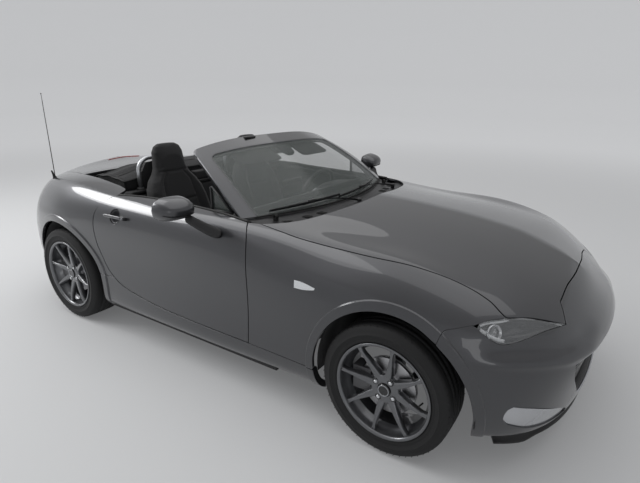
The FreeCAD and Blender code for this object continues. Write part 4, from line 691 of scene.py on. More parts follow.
sill_fore = Line(arch_foot(FRONT_X, SKIRT, -1), arch_foot(FRONT_X, 235, -1),
                 arch_foot(FRONT_X, SILL_TOP, -1))
quarter_arch = Line(*arch_run(REAR_X, QUARTER_ARCH_END, QUARTER_FOOT, 12))
quarter_seam = Line(arch(REAR_X, QUARTER_ARCH_END), ("s", -1500, 565), ("s", -1620, 600),
                    LAMP_FOOT)
lamp_side = Line(LAMP_FOOT, ("r", 636, 710), LAMP_HEAD)
lamp_brow = Line(LAMP_HEAD, ("r", 555, 800), LID_SHOULDER)
lid_side = Line(LID_SHOULDER, ("t", -1740, 508), ("t", -1600, 530), ("t", -1400, 565),
                ("t", -1240, 603))
hood_side = Line(("t", -1240, 603), ("t", -1100, 628), ("t", -950, 640), ("t", -820, 650),
                 ("t", -700, 664), ("t", -632, 692), DOOR_TOP_REAR)
tail_low = Line(("r", 0, TAIL_EDGE), ("r", 250, TAIL_EDGE), ("r", 440, TAIL_EDGE + 4),
                ("r", 600, TAIL_EDGE + 8), ("s", -1600, TAIL_EDGE + 8),
                arch_foot(REAR_X, TAIL_EDGE + 8, -1))
tail_brow = Line(("r", 0, 640), ("r", 250, 640), LID_FOOT, ("r", 580, 640), LAMP_FOOT)
tail_arch = Line(arch_foot(REAR_X, TAIL_EDGE + 8, -1), *arch_run(REAR_X, 180, QUARTER_ARCH_END, 3))
tail_centre = Line(("r", 0, TAIL_EDGE), ("r", 0, 350), ("r", 0, 500), ("r", 0, 640))
tail_lamp_low = Line(LID_FOOT, ("r", 580, 640), LAMP_FOOT)
tail_lamp_aft = Line(LID_FOOT, ("r", 506, 715), LID_SHOULDER)
lid_centre = Chain(Line(("r", 0, 640), ("r", 0, 700), ("r", 0, 780), ("r", 0, 850), ("t", -1814.9, 0)),
                   Line(("t", -1814.9, 0), ("t", -1740, 0), ("t", -1600, 0), ("t", -1400, 0),
                        ("t", -1240, 0)))
lid_foot = Line(LID_FOOT, ("r", 250, 640), ("r", 0, 640))
lid_fore = Line(("t", -1240, 603), ("t", -1240, 400), ("t", -1240, 200), ("t", -1240, 0))
deck_low = Line(("t", -1240, 603), ("t", -1192, 612))
deck_centre = Line(("t", -1240, 0), ("t", -1192, 0))
deck_fore = Line(("t", -1192, 612), ("t", -1192, 400), ("t", -1192, 200), ("t", -1192, 0))

G, S = 0.0022, 0.0004           # half a shut gap, half a fixed seam
EDGE = 0.0016                   # radius of a hemmed edge
# low, high, fore, aft lines, gaps in that order, depth of the closed panel
PANELS = {
    "front_fender": (Chain(toe_run, fender_arch), Chain(cowl_tip, bonnet_side),
                     Chain(fender_seam, fender_tip), door_front, (S, G, S, G), 0.014),
    "door": (door_low, door_high, door_front, door_rear, (G, G, G, G), 0.030),
    "rear_quarter": (quarter_arch, Chain(lid_side, hood_side, [door_rear]), heel_run,
                     Chain(quarter_seam, lamp_side, lamp_brow), (S, G, S, S), 0.014),
    "sill": (sill_low, Chain(heel_run, door_low, toe_run), sill_fore, sill_aft, (0, G, S, S), 0.030),
    "front_bumper": (bumper_low, Chain(fender_seam, lamp_under, nose_side, nose_top),
                     bumper_centre, bumper_arch, (S, S, 0, 0), 0.012),
    "bonnet": (Chain(bonnet_side, lamp_top), bonnet_centre, Chain(nose_side, nose_top), bonnet_heel,
               (G, 0, 2 * G, G), 0.014),
    "headlight": (lens_low, lens_high, lens_fore, lens_aft, (S, G, S, S), 0.004),
    "rear_bumper": (tail_low, Chain(tail_brow, [quarter_seam]), tail_arch, tail_centre,
                    (0, S, S, 0), 0.012),
    "tail_lamp": (tail_lamp_low, Chain([lamp_brow]), lamp_side, tail_lamp_aft, (S, S, S, G), 0.006),
    "boot_lid": (Chain(tail_lamp_aft, lid_side), lid_centre, lid_fore, lid_foot,
                 (2 * G, 0, 1.6 * G, 2 * G), 0.006),
    "rear_deck": (deck_low, deck_centre, deck_fore, lid_fore, (G, 0, S, G), 0.010),
}
CENTRED = {"front_bumper", "bonnet", "rear_bumper", "boot_lid", "rear_deck"}


def panel_ring(name):
    """The border of a panel's flat face, clear of its gaps and hemmed edge."""
    *lines, gaps, _ = PANELS[name]
    return outline(lines, [g + (EDGE if g or name not in CENTRED else 0) for g in gaps])


def panel(name, *holes):
    """A left-hand panel; a centred one is joined to its mirror image at the middle."""
    part = shell([panel_ring(name), *holes], EDGE, PANELS[name][5])
    return welded(part) if name in CENTRED else part


ON_CENTRE, NEAR_CENTRE = 0.0009, 0.003


def welded(part):
    """A half panel without its wall on the centreline, joined to its mirror image."""
    verts, faces, norms = part
    near = np.abs(verts[:, 1]) < ON_CENTRE
    verts = verts.copy()
    verts[near, 1] = 0
    faces = [f for f in faces if not all(near[i] for i in f)
             and (len(f) == 3 or not all(abs(verts[i][1]) < NEAR_CENTRE for i in f))]
    norms = norms.copy()
    norms[near, 1] = 0
    norms /= np.maximum(np.linalg.norm(norms, axis=1, keepdims=True), 1e-9)
    return pair((verts, faces, norms))


def patch_ring(lines):
    """The closed ring that four border lines make."""
    return outline(lines, (0.0,) * 4, 0.006)


# ------------------------------------------------------------------ finishes
BUMP_DEPTH, WEAVE_BUMP = 0.0006, 0.35


def nodes_of(tree):
    """Short hands for adding, setting and joining a tree's nodes."""
    def new(kind, **values):
        node = tree.nodes.new(kind)
        put(node, values)
        return node

    def put(node, values):
        for socket, value in values.items():
            node.inputs[socket.replace("_", " ")].default_value = value
    return new, put, tree.links.new


def finish(name, slot, colour, metallic=0.0, rough=0.5, coat=0.0, transmission=0.0, alpha=1.0,
           mottle=0.06, grain=0.0, grain_scale=400.0, sheen=0.0, ior=1.45, emission=0.0,
           weave=0.0, rings=None):
    """A node material: colour broken up by fine noise, and a bump from grain, weave or turning."""
    mat = bpy.data.materials.new(name)
    mat.use_nodes = True
    new, put, link = nodes_of(mat.node_tree)
    shader = mat.node_tree.nodes["Principled BSDF"]
    put(shader, {"Metallic": metallic, "Roughness": rough, "Coat Weight": coat,
                 "Coat Roughness": 0.02, "Transmission Weight": transmission, "Alpha": alpha,
                 "Sheen Weight": sheen, "IOR": ior})
    if emission:
        put(shader, {"Emission Color": (*colour, 1), "Emission Strength": emission})
    coords = new("ShaderNodeTexCoord").outputs["Object"]
    noise = new("ShaderNodeTexNoise", Scale=grain_scale, Detail=3.0)
    link(coords, noise.inputs["Vector"])
    ramp = new("ShaderNodeMapRange", From_Min=0.3, From_Max=0.7, To_Min=0.0, To_Max=1.0)
    link(noise.outputs["Fac"], ramp.inputs["Value"])
    mix = new("ShaderNodeMix")
    mix.data_type = "RGBA"
    mix.inputs["A"].default_value = (*[c * (1 - mottle) for c in colour], 1)
    mix.inputs["B"].default_value = (*[min(1, c * (1 + mottle)) for c in colour], 1)
    link(ramp.outputs["Result"], mix.inputs["Factor"])
    link(mix.outputs["Result"], shader.inputs["Base Color"])
    height = noise.outputs["Fac"] if grain else None
    if weave:
        threads = []
        for way in ("X", "Z"):
            wave = new("ShaderNodeTexWave", Scale=weave, Distortion=0.4)
            wave.bands_direction = way
            link(coords, wave.inputs["Vector"])
            threads.append(wave)
        both = new("ShaderNodeMath")
        both.operation = "MAXIMUM"
        for socket, wave in zip(both.inputs, threads):
            link(wave.outputs["Fac"], socket)
        height = both.outputs["Value"]
    if rings is not None:
        spot = new("ShaderNodeMapping", Location=[-c for c in rings])
        wave = new("ShaderNodeTexWave", Scale=160.0)
        wave.wave_type, wave.rings_direction = "RINGS", "Y"
        link(coords, spot.inputs["Vector"])
        link(spot.outputs["Vector"], wave.inputs["Vector"])
        height = wave.outputs["Fac"]
    if height is not None:
        bump = new("ShaderNodeBump", Strength=grain or WEAVE_BUMP, Distance=BUMP_DEPTH)
        link(height, bump.inputs["Height"])
        link(bump.outputs["Normal"], shader.inputs["Normal"])
    PAINTS[name], SLOT_OF[name] = mat, slot


finish("gunmetal_paint", "body_paint", (0.058, 0.059, 0.064), metallic=0.88, rough=0.36, coat=1.0,
       mottle=0.16, grain_scale=1400)
finish("satin_black", "black_trim", (0.012, 0.012, 0.013), rough=0.42, grain=0.08)
finish("gloss_black", "black_trim", (0.006, 0.006, 0.007), rough=0.12, coat=0.6, mottle=0.1)
# A near-black matte that stands for the shade inside gaps, slots and openings: painted shade.
finish("gap_shade_black", "black_trim", (0.004, 0.004, 0.004), rough=0.8)
finish("rubber_black", "black_trim", (0.010, 0.010, 0.010), rough=0.62, grain=0.15, grain_scale=900)
finish("tyre_rubber", "tyre_rubber", (0.008, 0.008, 0.0085), rough=0.70, grain=0.3, grain_scale=700,
       mottle=0.2)
finish("wheel_grey", "alloy", (0.135, 0.138, 0.146), metallic=0.8, rough=0.32, coat=0.8, mottle=0.1,
       grain_scale=1400)
finish("bright_metal", "hoop_metal", (0.72, 0.73, 0.75), metallic=1.0, rough=0.16, mottle=0.03)
finish("satin_metal", "hoop_metal", (0.42, 0.43, 0.45), metallic=1.0, rough=0.34, mottle=0.08)
finish("cast_metal", "hub_metal", (0.20, 0.20, 0.21), metallic=0.9, rough=0.55, grain=0.3)
finish("calliper_grey", "hub_metal", (0.13, 0.13, 0.135), metallic=0.5, rough=0.5, grain=0.2)
finish("lens_clear", "lamp_clear", (0.30, 0.31, 0.32), rough=0.10, alpha=0.22, mottle=0.0, ior=1.8)
finish("lens_red", "lamp_red", (0.62, 0.010, 0.014), rough=0.04, transmission=0.80, coat=1.0, mottle=0.05)
# This finish glows faintly on every part that takes it. On the coolant tank, which is no lamp, that glow is
# painted light.
finish("lamp_white", "lamp_clear", (0.80, 0.82, 0.84), rough=0.22, coat=1.0, mottle=0.03, emission=0.05)
finish("lamp_pearl", "lamp_clear", (0.50, 0.51, 0.53), metallic=0.6, rough=0.24, coat=1.0, mottle=0.06)
finish("lamp_smoke", "black_trim", (0.02, 0.021, 0.023), rough=0.2, coat=0.7, mottle=0.1)
finish("mirror_silver", "hoop_metal", (0.85, 0.87, 0.88), metallic=1.0, rough=0.02, mottle=0.01)
finish("cabin_black", "cabin_plastic", (0.017, 0.017, 0.018), rough=0.6, grain=0.35, grain_scale=1100,
       mottle=0.15)
finish("trim_leather", "cabin_plastic", (0.014, 0.014, 0.015), rough=0.46, grain=0.5, grain_scale=520,
       mottle=0.2)
finish("seat_cloth", "seat_cloth", (0.012, 0.012, 0.013), rough=0.86, sheen=0.10, weave=210.0, grain=0.5,
       mottle=0.25)
finish("hood_canvas", "hood_cloth", (0.009, 0.009, 0.010), rough=0.9, sheen=0.06, weave=320.0, grain=0.4,
       mottle=0.25)
finish("carpet", "cabin_plastic", (0.012, 0.012, 0.013), rough=0.95, grain=0.9, grain_scale=600, mottle=0.4)
finish("under_black", "under_body", (0.02, 0.02, 0.021), rough=0.7, grain=0.3, mottle=0.3)
finish("screen_dark", "black_trim", (0.008, 0.009, 0.011), rough=0.08, coat=1.0, mottle=0.1)
finish("dial_face", "cabin_plastic", (0.03, 0.03, 0.032), rough=0.4, mottle=0.1)
finish("screen_tint", "screen_glass", (0.10, 0.118, 0.112), rough=0.13, alpha=0.30, mottle=0.0, ior=1.8)
finish("thread_grey", "seat_cloth", (0.030, 0.030, 0.032), rough=0.7)
finish("hoop_silver", "hoop_metal", (0.50, 0.51, 0.53), metallic=0.9, rough=0.35, mottle=0.06)
finish("belt_black", "seat_cloth", (0.010, 0.010, 0.011), rough=0.75, weave=500.0, grain=0.4)
finish("lamp_red_glow", "lamp_red", (0.75, 0.03, 0.03), rough=0.3, coat=0.5, emission=0.25)
for corner in CORNERS:
    finish("brake_disc_" + corner, "disc_iron", (0.46, 0.46, 0.47), metallic=1.0, rough=0.36, mottle=0.1,
           grain=0.25, rings=WHEEL_AT[corner])


# ------------------------------------------------------------------ plain makers
def from_bmesh(bm):
    """A part from a bmesh, which is freed."""
    bmesh.ops.remove_doubles(bm, verts=bm.verts, dist=1e-6)
    bmesh.ops.recalc_face_normals(bm, faces=bm.faces)
    verts = np.array([v.co[:] for v in bm.verts])
    bm.verts.index_update()
    faces = [tuple(v.index for v in f.verts) for f in bm.faces]
    bm.free()
    return verts, faces, None


def block(low, high, bevel=0.0, segments=3):
    """A box between two corners with rounded edges."""
    bm = bmesh.new()
    bmesh.ops.create_cube(bm, size=1.0)
    low, high = Vector(low), Vector(high)
    bmesh.ops.scale(bm, vec=high - low, verts=bm.verts)
    bmesh.ops.translate(bm, vec=(low + high) / 2, verts=bm.verts)
    if bevel:
        bmesh.ops.bevel(bm, geom=bm.edges[:] + bm.verts[:], offset=bevel, segments=segments,
                        profile=0.6, affect="EDGES")
    return from_bmesh(bm)


def prism(points, thick, bevel=0.0):
    """A closed slab from a flat ring of 3-D points, pushed along the vector thick."""
    bm = bmesh.new()
    ring = [bm.verts.new(p) for p in points]
    face = bm.faces.new(ring)
    out = bmesh.ops.extrude_face_region(bm, geom=[face])
    moved = [g for g in out["geom"] if isinstance(g, bmesh.types.BMVert)]
    bmesh.ops.translate(bm, vec=Vector(thick), verts=moved)
    if not face.is_valid:
        bm.faces.new(ring)
    bmesh.ops.recalc_face_normals(bm, faces=bm.faces)
    if bevel:
        bmesh.ops.bevel(bm, geom=bm.edges[:], offset=bevel, segments=2, profile=0.6,
                        affect="EDGES", clamp_overlap=True)
    return from_bmesh(bm)


def net_faces(rows, count, round_rows=False):
    """Faces over rows of count points each; every row closes on itself, and so may the rows."""
    return [(i * count + k, i * count + (k + 1) % count, (i + 1) % rows * count + (k + 1) % count,
             (i + 1) % rows * count + k)
            for i in range(rows if round_rows else rows - 1) for k in range(count)]


def tube(path, radius, sides=12, closed=False, caps=True):
    """A round bar along a path; radius may be one number or one for each point."""
    path = [Vector(p) for p in path]
    n = len(path)
    radii = radius if isinstance(radius, (list, tuple)) else [radius] * n
    verts, up = [], None
    for i, p in enumerate(path):
        a = path[(i - 1) % n] if closed or i else p
        b = path[(i + 1) % n] if closed or i < n - 1 else p
        way = (b - a).normalized()
        if up is None:
            up = Vector((0, 0, 1)) if abs(way.z) < 0.9 else Vector((1, 0, 0))
        x = way.cross(up).normalized()
        up = x.cross(way).normalized()
        for k in range(sides):
            t = 2 * math.pi * k / sides
            verts.append(p + (x * math.cos(t) + up * math.sin(t)) * radii[i])
    faces = net_faces(n, sides, closed)
    if caps and not closed:
        faces.append(tuple(range(sides - 1, -1, -1)))
        faces.append(tuple((n - 1) * sides + k for k in range(sides)))
    return np.array([v[:] for v in verts]), faces, None


def tidy(part):
    """The same part with its faces turned outwards."""
    verts, faces, _ = part
    bm = bmesh.new()
    made = [bm.verts.new(v) for v in verts]
    for f in faces:
        try:
            bm.faces.new([made[i] for i in f])
        except ValueError:
            pass
    return from_bmesh(bm)


def turned(profile, at=(0, 0, 0), out=1, steps=64):
    """A body of revolution about the Y line through a place, from (radius, y) points."""
    verts = []
    for k in range(steps):
        t = 2 * math.pi * k / steps
        verts += [(at[0] + r * math.cos(t), at[1] + y * out, at[2] + r * math.sin(t))
                  for r, y in profile]
    return tidy((np.array(verts), net_faces(steps, len(profile), True), None))


def turned_along(profile, at, way, steps):
    """A body of revolution about any line, from (radius, distance) points."""
    way = Vector(way).normalized()
    side = way.orthogonal().normalized()
    up = way.cross(side)
    verts = []
    for k in range(steps):
        t = 2 * math.pi * k / steps
        out = side * math.cos(t) + up * math.sin(t)
        verts += [(Vector(at) + out * r + way * d)[:] for r, d in profile]
    return tidy((np.array(verts), net_faces(steps, len(profile), True), None))


def rounded(profile, radius=0.0015, steps=2):
    """A closed profile with its corners cut round."""
    out = []
    n = len(profile)
    for i in range(n):
        p, a, b = (np.array(profile[j % n], float) for j in (i, i - 1, i + 1))
        la, lb = np.linalg.norm(a - p), np.linalg.norm(b - p)
        if min(la, lb) < 1e-7:
            continue
        r = min(radius, la / 2.5, lb / 2.5)
        q0, q1 = p + (a - p) / la * r, p + (b - p) / lb * r
        for k in range(steps + 1):
            t = k / steps
            out.append(tuple((1 - t) ** 2 * q0 + 2 * t * (1 - t) * p + t ** 2 * q1))
    return out


def shift(part, by):
    """A part moved by a vector."""
    return part[0] + np.array(by, float), part[1], part[2]


def spun(part, at, angle, axis="Y"):
    """A part turned about a line through a place."""
    m = Matrix.Rotation(angle, 3, axis)
    at = np.array(at, float)
    return (part[0] - at) @ np.array(m).T + at, part[1], part[2]


def lofted(rings, caps=True):
    """A skin over a run of matching rings of points."""
    n = len(rings[0])
    verts = np.concatenate([np.array(r, float) for r in rings])
    faces = net_faces(len(rings), n)
    if caps:
        faces.append(tuple(range(n)))
        faces.append(tuple(range(len(verts) - 1, len(verts) - n - 1, -1)))
    return tidy((verts, faces, None))


def looped(rings):
    """A skin over rings that come back to the first one."""
    return lofted([*rings, rings[0]], caps=False)


def superellipse(half_a, half_b, power, steps=32):
    """Points round a rounded rectangle with half sizes a and b."""
    out = []
    for k in range(steps):
        t = 2 * math.pi * k / steps
        c, s = math.cos(t), math.sin(t)
        out.append((half_a * math.copysign(abs(c) ** (2 / power), c),
                    half_b * math.copysign(abs(s) ** (2 / power), s)))
    return out


def polish(obj, bevel=0.0, levels=0, segments=2, angle=40):
    """Live bevel and subdivision on a finished piece."""
    if bevel:
        mod = obj.modifiers.new("edge", "BEVEL")
        mod.width, mod.segments, mod.limit_method = bevel, segments, "ANGLE"
        mod.angle_limit = math.radians(angle)
        mod.harden_normals = True
    if levels:
        mod = obj.modifiers.new("smooth", "SUBSURF")
        mod.levels = mod.render_levels = levels
    return obj


# ------------------------------------------------------------------ repeated things
def repeat_group():
    """Copies of a unit, each one step and one turn on from the last, made real."""
    tree = bpy.data.node_groups.new("repeat_unit", "GeometryNodeTree")
    face = tree.interface
    face.new_socket(name="Geometry", in_out="INPUT", socket_type="NodeSocketGeometry")
    for name, kind in (("Unit", "Object"), ("Count", "Int"), ("Start", "Vector"),
                       ("Step", "Vector"), ("Turn", "Vector"), ("Finish", "Material")):
        face.new_socket(name=name, in_out="INPUT", socket_type="NodeSocket" + kind)
    face.new_socket(name="Geometry", in_out="OUTPUT", socket_type="NodeSocketGeometry")
    new, link = tree.nodes.new, tree.links.new
    given, result = new("NodeGroupInput"), new("NodeGroupOutput")
    points, index = new("GeometryNodePoints"), new("GeometryNodeInputIndex")
    step, place_at, turn = (new("ShaderNodeVectorMath") for _ in range(3))
    step.operation, place_at.operation, turn.operation = "SCALE", "ADD", "SCALE"
    for node, source in ((step, "Step"), (turn, "Turn")):
        link(given.outputs[source], node.inputs[0])
        link(index.outputs[0], node.inputs["Scale"])
    link(given.outputs["Start"], place_at.inputs[0])
    link(step.outputs[0], place_at.inputs[1])
    link(given.outputs["Count"], points.inputs["Count"])
    link(place_at.outputs[0], points.inputs["Position"])
    unit, copies = new("GeometryNodeObjectInfo"), new("GeometryNodeInstanceOnPoints")
    link(given.outputs["Unit"], unit.inputs["Object"])
    link(points.outputs[0], copies.inputs["Points"])
    link(unit.outputs["Geometry"], copies.inputs["Instance"])
    link(turn.outputs[0], copies.inputs["Rotation"])
    real, paint = new("GeometryNodeRealizeInstances"), new("GeometryNodeSetMaterial")
    link(copies.outputs[0], real.inputs[0])
    link(real.outputs[0], paint.inputs["Geometry"])
    link(given.outputs["Finish"], paint.inputs["Material"])
    link(paint.outputs[0], result.inputs[0])
    return tree


REPEAT = repeat_group()


def repeated(unit, count, start=(0, 0, 0), step=(0, 0, 0), turn=(0, 0, 0), paint="satin_black"):
    """A part made of count copies of a unit part; turns are in degrees."""
    source = linked("unit", bare_mesh("unit", unit))
    holder = linked("holder", bare_mesh("holder", (np.zeros((1, 3)), [])))
    mod = holder.modifiers.new("repeat", "NODES")
    mod.node_group = REPEAT
    values = {"Unit": source, "Count": count, "Start": start, "Step": step,
              "Turn": [math.radians(t) for t in turn], "Finish": PAINTS[paint]}
    for item in REPEAT.interface.items_tree:
        if item.item_type == "SOCKET" and item.in_out == "INPUT" and item.name in values:
            mod[item.identifier] = values[item.name]
    holder.update_tag()
    graph = bpy.context.evaluated_depsgraph_get()
    graph.update()
    made = bpy.data.meshes.new_from_object(holder.evaluated_get(graph))
    verts = np.array([v.co[:] for v in made.vertices])
    faces = [tuple(p.vertices) for p in made.polygons]
    for obj in (source, holder):
        mesh = obj.data
        bpy.data.objects.remove(obj)
        bpy.data.meshes.remove(mesh)
    bpy.data.meshes.remove(made)
    return verts, faces, None


# ------------------------------------------------------------------ body panels
MOUTH = (("f", 0, 508), ("f", 160, 505), ("f", 343, 501), ("f", 440, 501), ("f", 476, 499),
         ("f", 503, 494), ("f", 519, 487), ("f", 520, 474), ("f", 498, 411), ("f", 434, 337),
         ("f", 370, 276), ("f", 340, 257), ("f", 300, 250), ("f", 150, 247), ("f", 0, 246))
DAYTIME = (Line(("s", 1670, 279), ("f", 660, 240), ("f", 550, 216), ("f", 430, 207)),
           Line(("s", 1690, 374), ("f", 655, 345), ("f", 540, 290), ("f", 451, 242), ("f", 430, 226)),
           Line(("f", 430, 207), ("f", 430, 226)),
           Line(("s", 1670, 279), ("s", 1656, 310), ("s", 1667, 354), ("s", 1690, 374)))
MARKER = (Line(("s", 727, 652), ("s", 780, 655), ("s", 836, 666)),
          Line(("s", 723, 684), ("s", 765, 684), ("s", 838, 674)),
          Line(("s", 836, 666), ("s", 838, 674)), Line(("s", 727, 652), ("s", 723, 684)))
HANDLE_AT = (-541, 774)
CUP_RADIUS = 43


def evenly(line, spacing=0.007):
    """Points along a line, evenly spaced."""
    return line(np.linspace(0, 1, max(6, int(line.length / spacing))))


MOUTH_RUN = evenly(Line(*MOUTH), 0.008)


def bumper_ring():
    """The half bumper's border, led round the grille mouth."""
    ring = panel_ring("front_bumper")
    p = bare_skin(ring)
    on = (np.abs(p[:, 1]) < 4e-4) & (p[:, 2] > 0.2465) & (p[:, 2] < 0.5075)
    first = next(k for k in range(len(ring)) if on[k] and not on[k - 1])
    ring, on = np.roll(ring, -first, 0), np.roll(on, -first)
    heights = bare_skin(ring[on])[:, 2]
    run = MOUTH_RUN if heights[0] > heights[-1] else MOUTH_RUN[::-1]
    return np.concatenate([run, ring[~on]])


POLE = 0.02                     # share of a bowl's size left open at its middle


def dish(ring_uv, depth, steps=6):
    """A smooth bowl hung inside a hole in the skin, as a closed thin shell."""
    p, n = skin(ring_uv), across(skin, ring_uv)
    middle, way = p.mean(0), n.mean(0) / np.linalg.norm(n.mean(0))
    turns = [k / steps * math.pi / 2 for k in range(steps + 1)]
    face, back = ([middle + (p - middle) * max(math.cos(a), POLE) - way * (depth * math.sin(a) + wall)
                   for a in turns] for wall in (0.0, 0.0015))
    return looped(face + back[::-1])


def lamp_bowl(ring_uv, sink, stations):
    """A lamp's housing: its edge just under the skin, then (share of size, depth) stations."""
    p, n = skin(ring_uv), across(skin, ring_uv)
    middle = p.mean(0)
    rows = [p - n * sink] + [middle + (p - middle) * share - n * depth for share, depth in stations]
    return looped(rows + [r - n * 0.003 for r in rows[::-1]])


def circle_ring(x, z, radius, steps=40):
    """A round ring on the flank of the skin."""
    turn = np.linspace(0, 2 * math.pi, steps, endpoint=False)
    return place_many("s", np.stack([x + radius * np.cos(turn), z + radius * np.sin(turn)], 1))


def add_panels():
    """The painted skins, each for its CAD part."""
    nodes = {"front_fender": "front_fenders", "rear_quarter": "rear_quarters", "sill": "sills"}
    for name in PANELS:
        if name in nodes:
            piece(name + "_skins", pair(panel(name)), "gunmetal_paint", stands_for=[nodes[name]])
        elif name in CENTRED and name != "front_bumper":
            body = name if name in ("bonnet", "boot_lid") else "body"
            piece(name + "_skin", panel(name), "gunmetal_paint", body=body, stands_for=[name])
    cup = circle_ring(*HANDLE_AT, CUP_RADIUS)
    door = joined(panel("door", as_hole(cup)), dish(cup, 0.024))
    for side, put in SIDES:
        piece(side + "_door_skin", put(door), "gunmetal_paint", body=side + "_door",
              stands_for=[side + "_door"])
    rings = [bumper_ring(), as_hole(patch_ring(DAYTIME))]
    part = shell(rings, EDGE, PANELS["front_bumper"][5])
    piece("front_bumper_skin", welded(part), "gunmetal_paint", stands_for=["front_bumper"])


add_panels()


# ------------------------------------------------------------------ nose
def moved_in(ring, inward, back):
    """Ring points drawn in towards their middle height line and pushed back along X."""
    p = ring.copy()
    middle = np.array([p[:, 0].mean(), 0, p[:, 2].mean()])
    run = np.roll(p, -1, 0) - np.roll(p, 1, 0)
    side = np.stack([np.zeros(len(p)), -run[:, 2], run[:, 1]], 1)
    side /= np.maximum(np.linalg.norm(side, axis=1, keepdims=True), 1e-9)
    if np.sum((p - middle) * side) > 0:
        side = -side
    p = p + side * inward
    p[:, 0] -= back
    return p


def whole_mouth():
    half = skin(MOUTH_RUN)
    return np.concatenate([half, (half * [1, -1, 1])[::-1][1:-1]])


def mouth_width(z):
    half = skin(MOUTH_RUN)
    best = [abs(a[1]) + (z - a[2]) / (b[2] - a[2]) * (abs(b[1]) - abs(a[1]))
            for a, b in zip(half, half[1:]) if (a[2] - z) * (b[2] - z) <= 0 and a[2] != b[2]]
    return max(best) if best else 0.0


def front_at(ys, z):
    """Forward reach of the nose at breadths and heights in metres."""
    ys, z = np.broadcast_arrays(np.abs(np.asarray(ys, float)), np.asarray(z, float))
    return bare_skin(place_many("f", np.stack([ys, z], 1) / MM))[:, 0]


def nose():
    """Everything in and round the grille mouth."""
    ring = whole_mouth()
    lip = [moved_in(ring, a, b) for a, b in ((0.001, 0.008), (0.004, 0.010), (0.009, 0.030),
                                             (0.013, 0.060), (0.010, 0.062), (0.004, 0.030))]
    piece("grille_surround", looped(lip), "satin_black")
    rim = [moved_in(ring, a, b) for a, b in ((-0.0005, 0.0005), (0.0035, 0.0005), (0.0045, 0.009),
                                             (0.0005, 0.010))]
    piece("grille_frame", looped(rim), "satin_metal")
    slats = []
    for k in range(12):
        z = 0.262 + k * 0.0208
        w = mouth_width(z) - 0.010
        if w < 0.05:
            continue
        ys = np.linspace(-w, w, 31)
        front = np.stack([front_at(ys, z) - 0.040, ys, np.full(len(ys), z)], 1)
        up, back = np.array([0, 0, 0.0022]), np.array([-0.016, 0, -0.004])
        rows = [front + up, front - up, front + back - up, front + back + up]
        slats.append(lofted([np.array([r[i] for r in rows]) for i in range(len(ys))]))
    piece("grille_slats", joined(*slats), "gloss_black")
    net = []
    for k in range(-9, 10):
        y = k * 0.052
        zs = np.array([z for z in np.linspace(0.25, 0.505, 18) if mouth_width(z) > abs(y) + 0.004])
        if len(zs) > 1:
            ys = np.full(len(zs), y)
            net.append(tube(np.stack([front_at(ys, zs) - 0.052, ys, zs], 1), 0.002, 6))
    piece("grille_ties", joined(*net), "gloss_black")


def lamps_front():
    """Headlights: lens, housing, projector, bright strip and fins."""
    lens_ring = panel_ring("headlight")
    lens = shell([lens_ring], 0.0006, 0.003)
    piece("headlight_lenses", pair(lens), "lens_clear", stands_for=["headlights"])
    bowl = lamp_bowl(lens_ring, 0.0045, ((0.985, 0.016), (0.93, 0.034), (0.80, 0.046),
                                         (0.45, 0.050), (POLE, 0.050)))
    piece("headlight_housings", pair(bowl), "lamp_smoke")
    # projector: bright bowl, ring and ball behind the outboard end of the lens
    at_uv = np.array([place(("s", 1592, 655))])
    at, way = skin(at_uv)[0], across(skin, at_uv)[0]
    at = at - way * 0.026
    way = way + np.array([0.5, 0, -0.15])
    way /= np.linalg.norm(way)
    ball = turned_along([(0.0002, 0.014), (0.012, 0.012), (0.020, 0.006), (0.0235, -0.002),
                         (0.022, -0.004), (0.0002, -0.004)], at, way, 32)
    piece("headlight_balls", pair(ball), "lens_clear")
    ring = turned_along(rounded([(0.0235, 0.008), (0.031, 0.014), (0.034, 0.012), (0.030, -0.008),
                                 (0.0235, -0.008)], 0.0015), at, way, 40)
    back = turned_along([(0.0002, -0.012), (0.024, -0.010), (0.030, -0.004), (0.030, -0.010),
                         (0.022, -0.016), (0.0002, -0.018)], at, way, 32)
    chrome = joined(ring, back)
    piece("headlight_rings", pair(chrome), "bright_metal", slot="lamp_clear")
    # bright strip under the upper edge and reflector bank outboard
    bars = (((("t", 1640, 640), ("t", 1690, 577), ("t", 1730, 528), ("f", 470, 620)),
             0.01, 0.010, 0.007, 0.004),
            ((("s", 1545, 664), ("s", 1580, 646), ("s", 1612, 630), ("s", 1634, 624)),
             0.008, 0.014, 0.012, 0.006),
            ((("s", 1540, 678), ("t", 1562, 738), ("t", 1600, 700), ("t", 1622, 668)),
             0.008, 0.012, 0.012, 0.005))
    bright = joined(*[sunk_strip(evenly(Line(*run), spacing), sink, width, thick)
                      for run, spacing, sink, width, thick in bars])
    piece("headlight_strips", pair(bright), "lamp_white")
    fin_line = Line(("s", 1640, 632), ("s", 1690, 634), ("f", 590, 634), ("f", 500, 624))
    fin = sunk_strip(evenly(fin_line, 0.01), 0.020, 0.016, 0.004)
    piece("headlight_fins", pair(fin), "gloss_black", slot="lamp_clear")


def sunk_strip(line_uv, sink, width, thick):
    """A flat bar that follows the skin from below it."""
    p, n = skin(line_uv), across(skin, line_uv)
    run = np.gradient(p, axis=0)
    side = np.cross(n, run)
    side /= np.maximum(np.linalg.norm(side, axis=1, keepdims=True), 1e-9)
    a, b = p - n * sink - side * width / 2, p - n * sink + side * width / 2
    return lofted([np.array([a[i], b[i], b[i] - n[i] * thick, a[i] - n[i] * thick])
                   for i in range(len(p))])


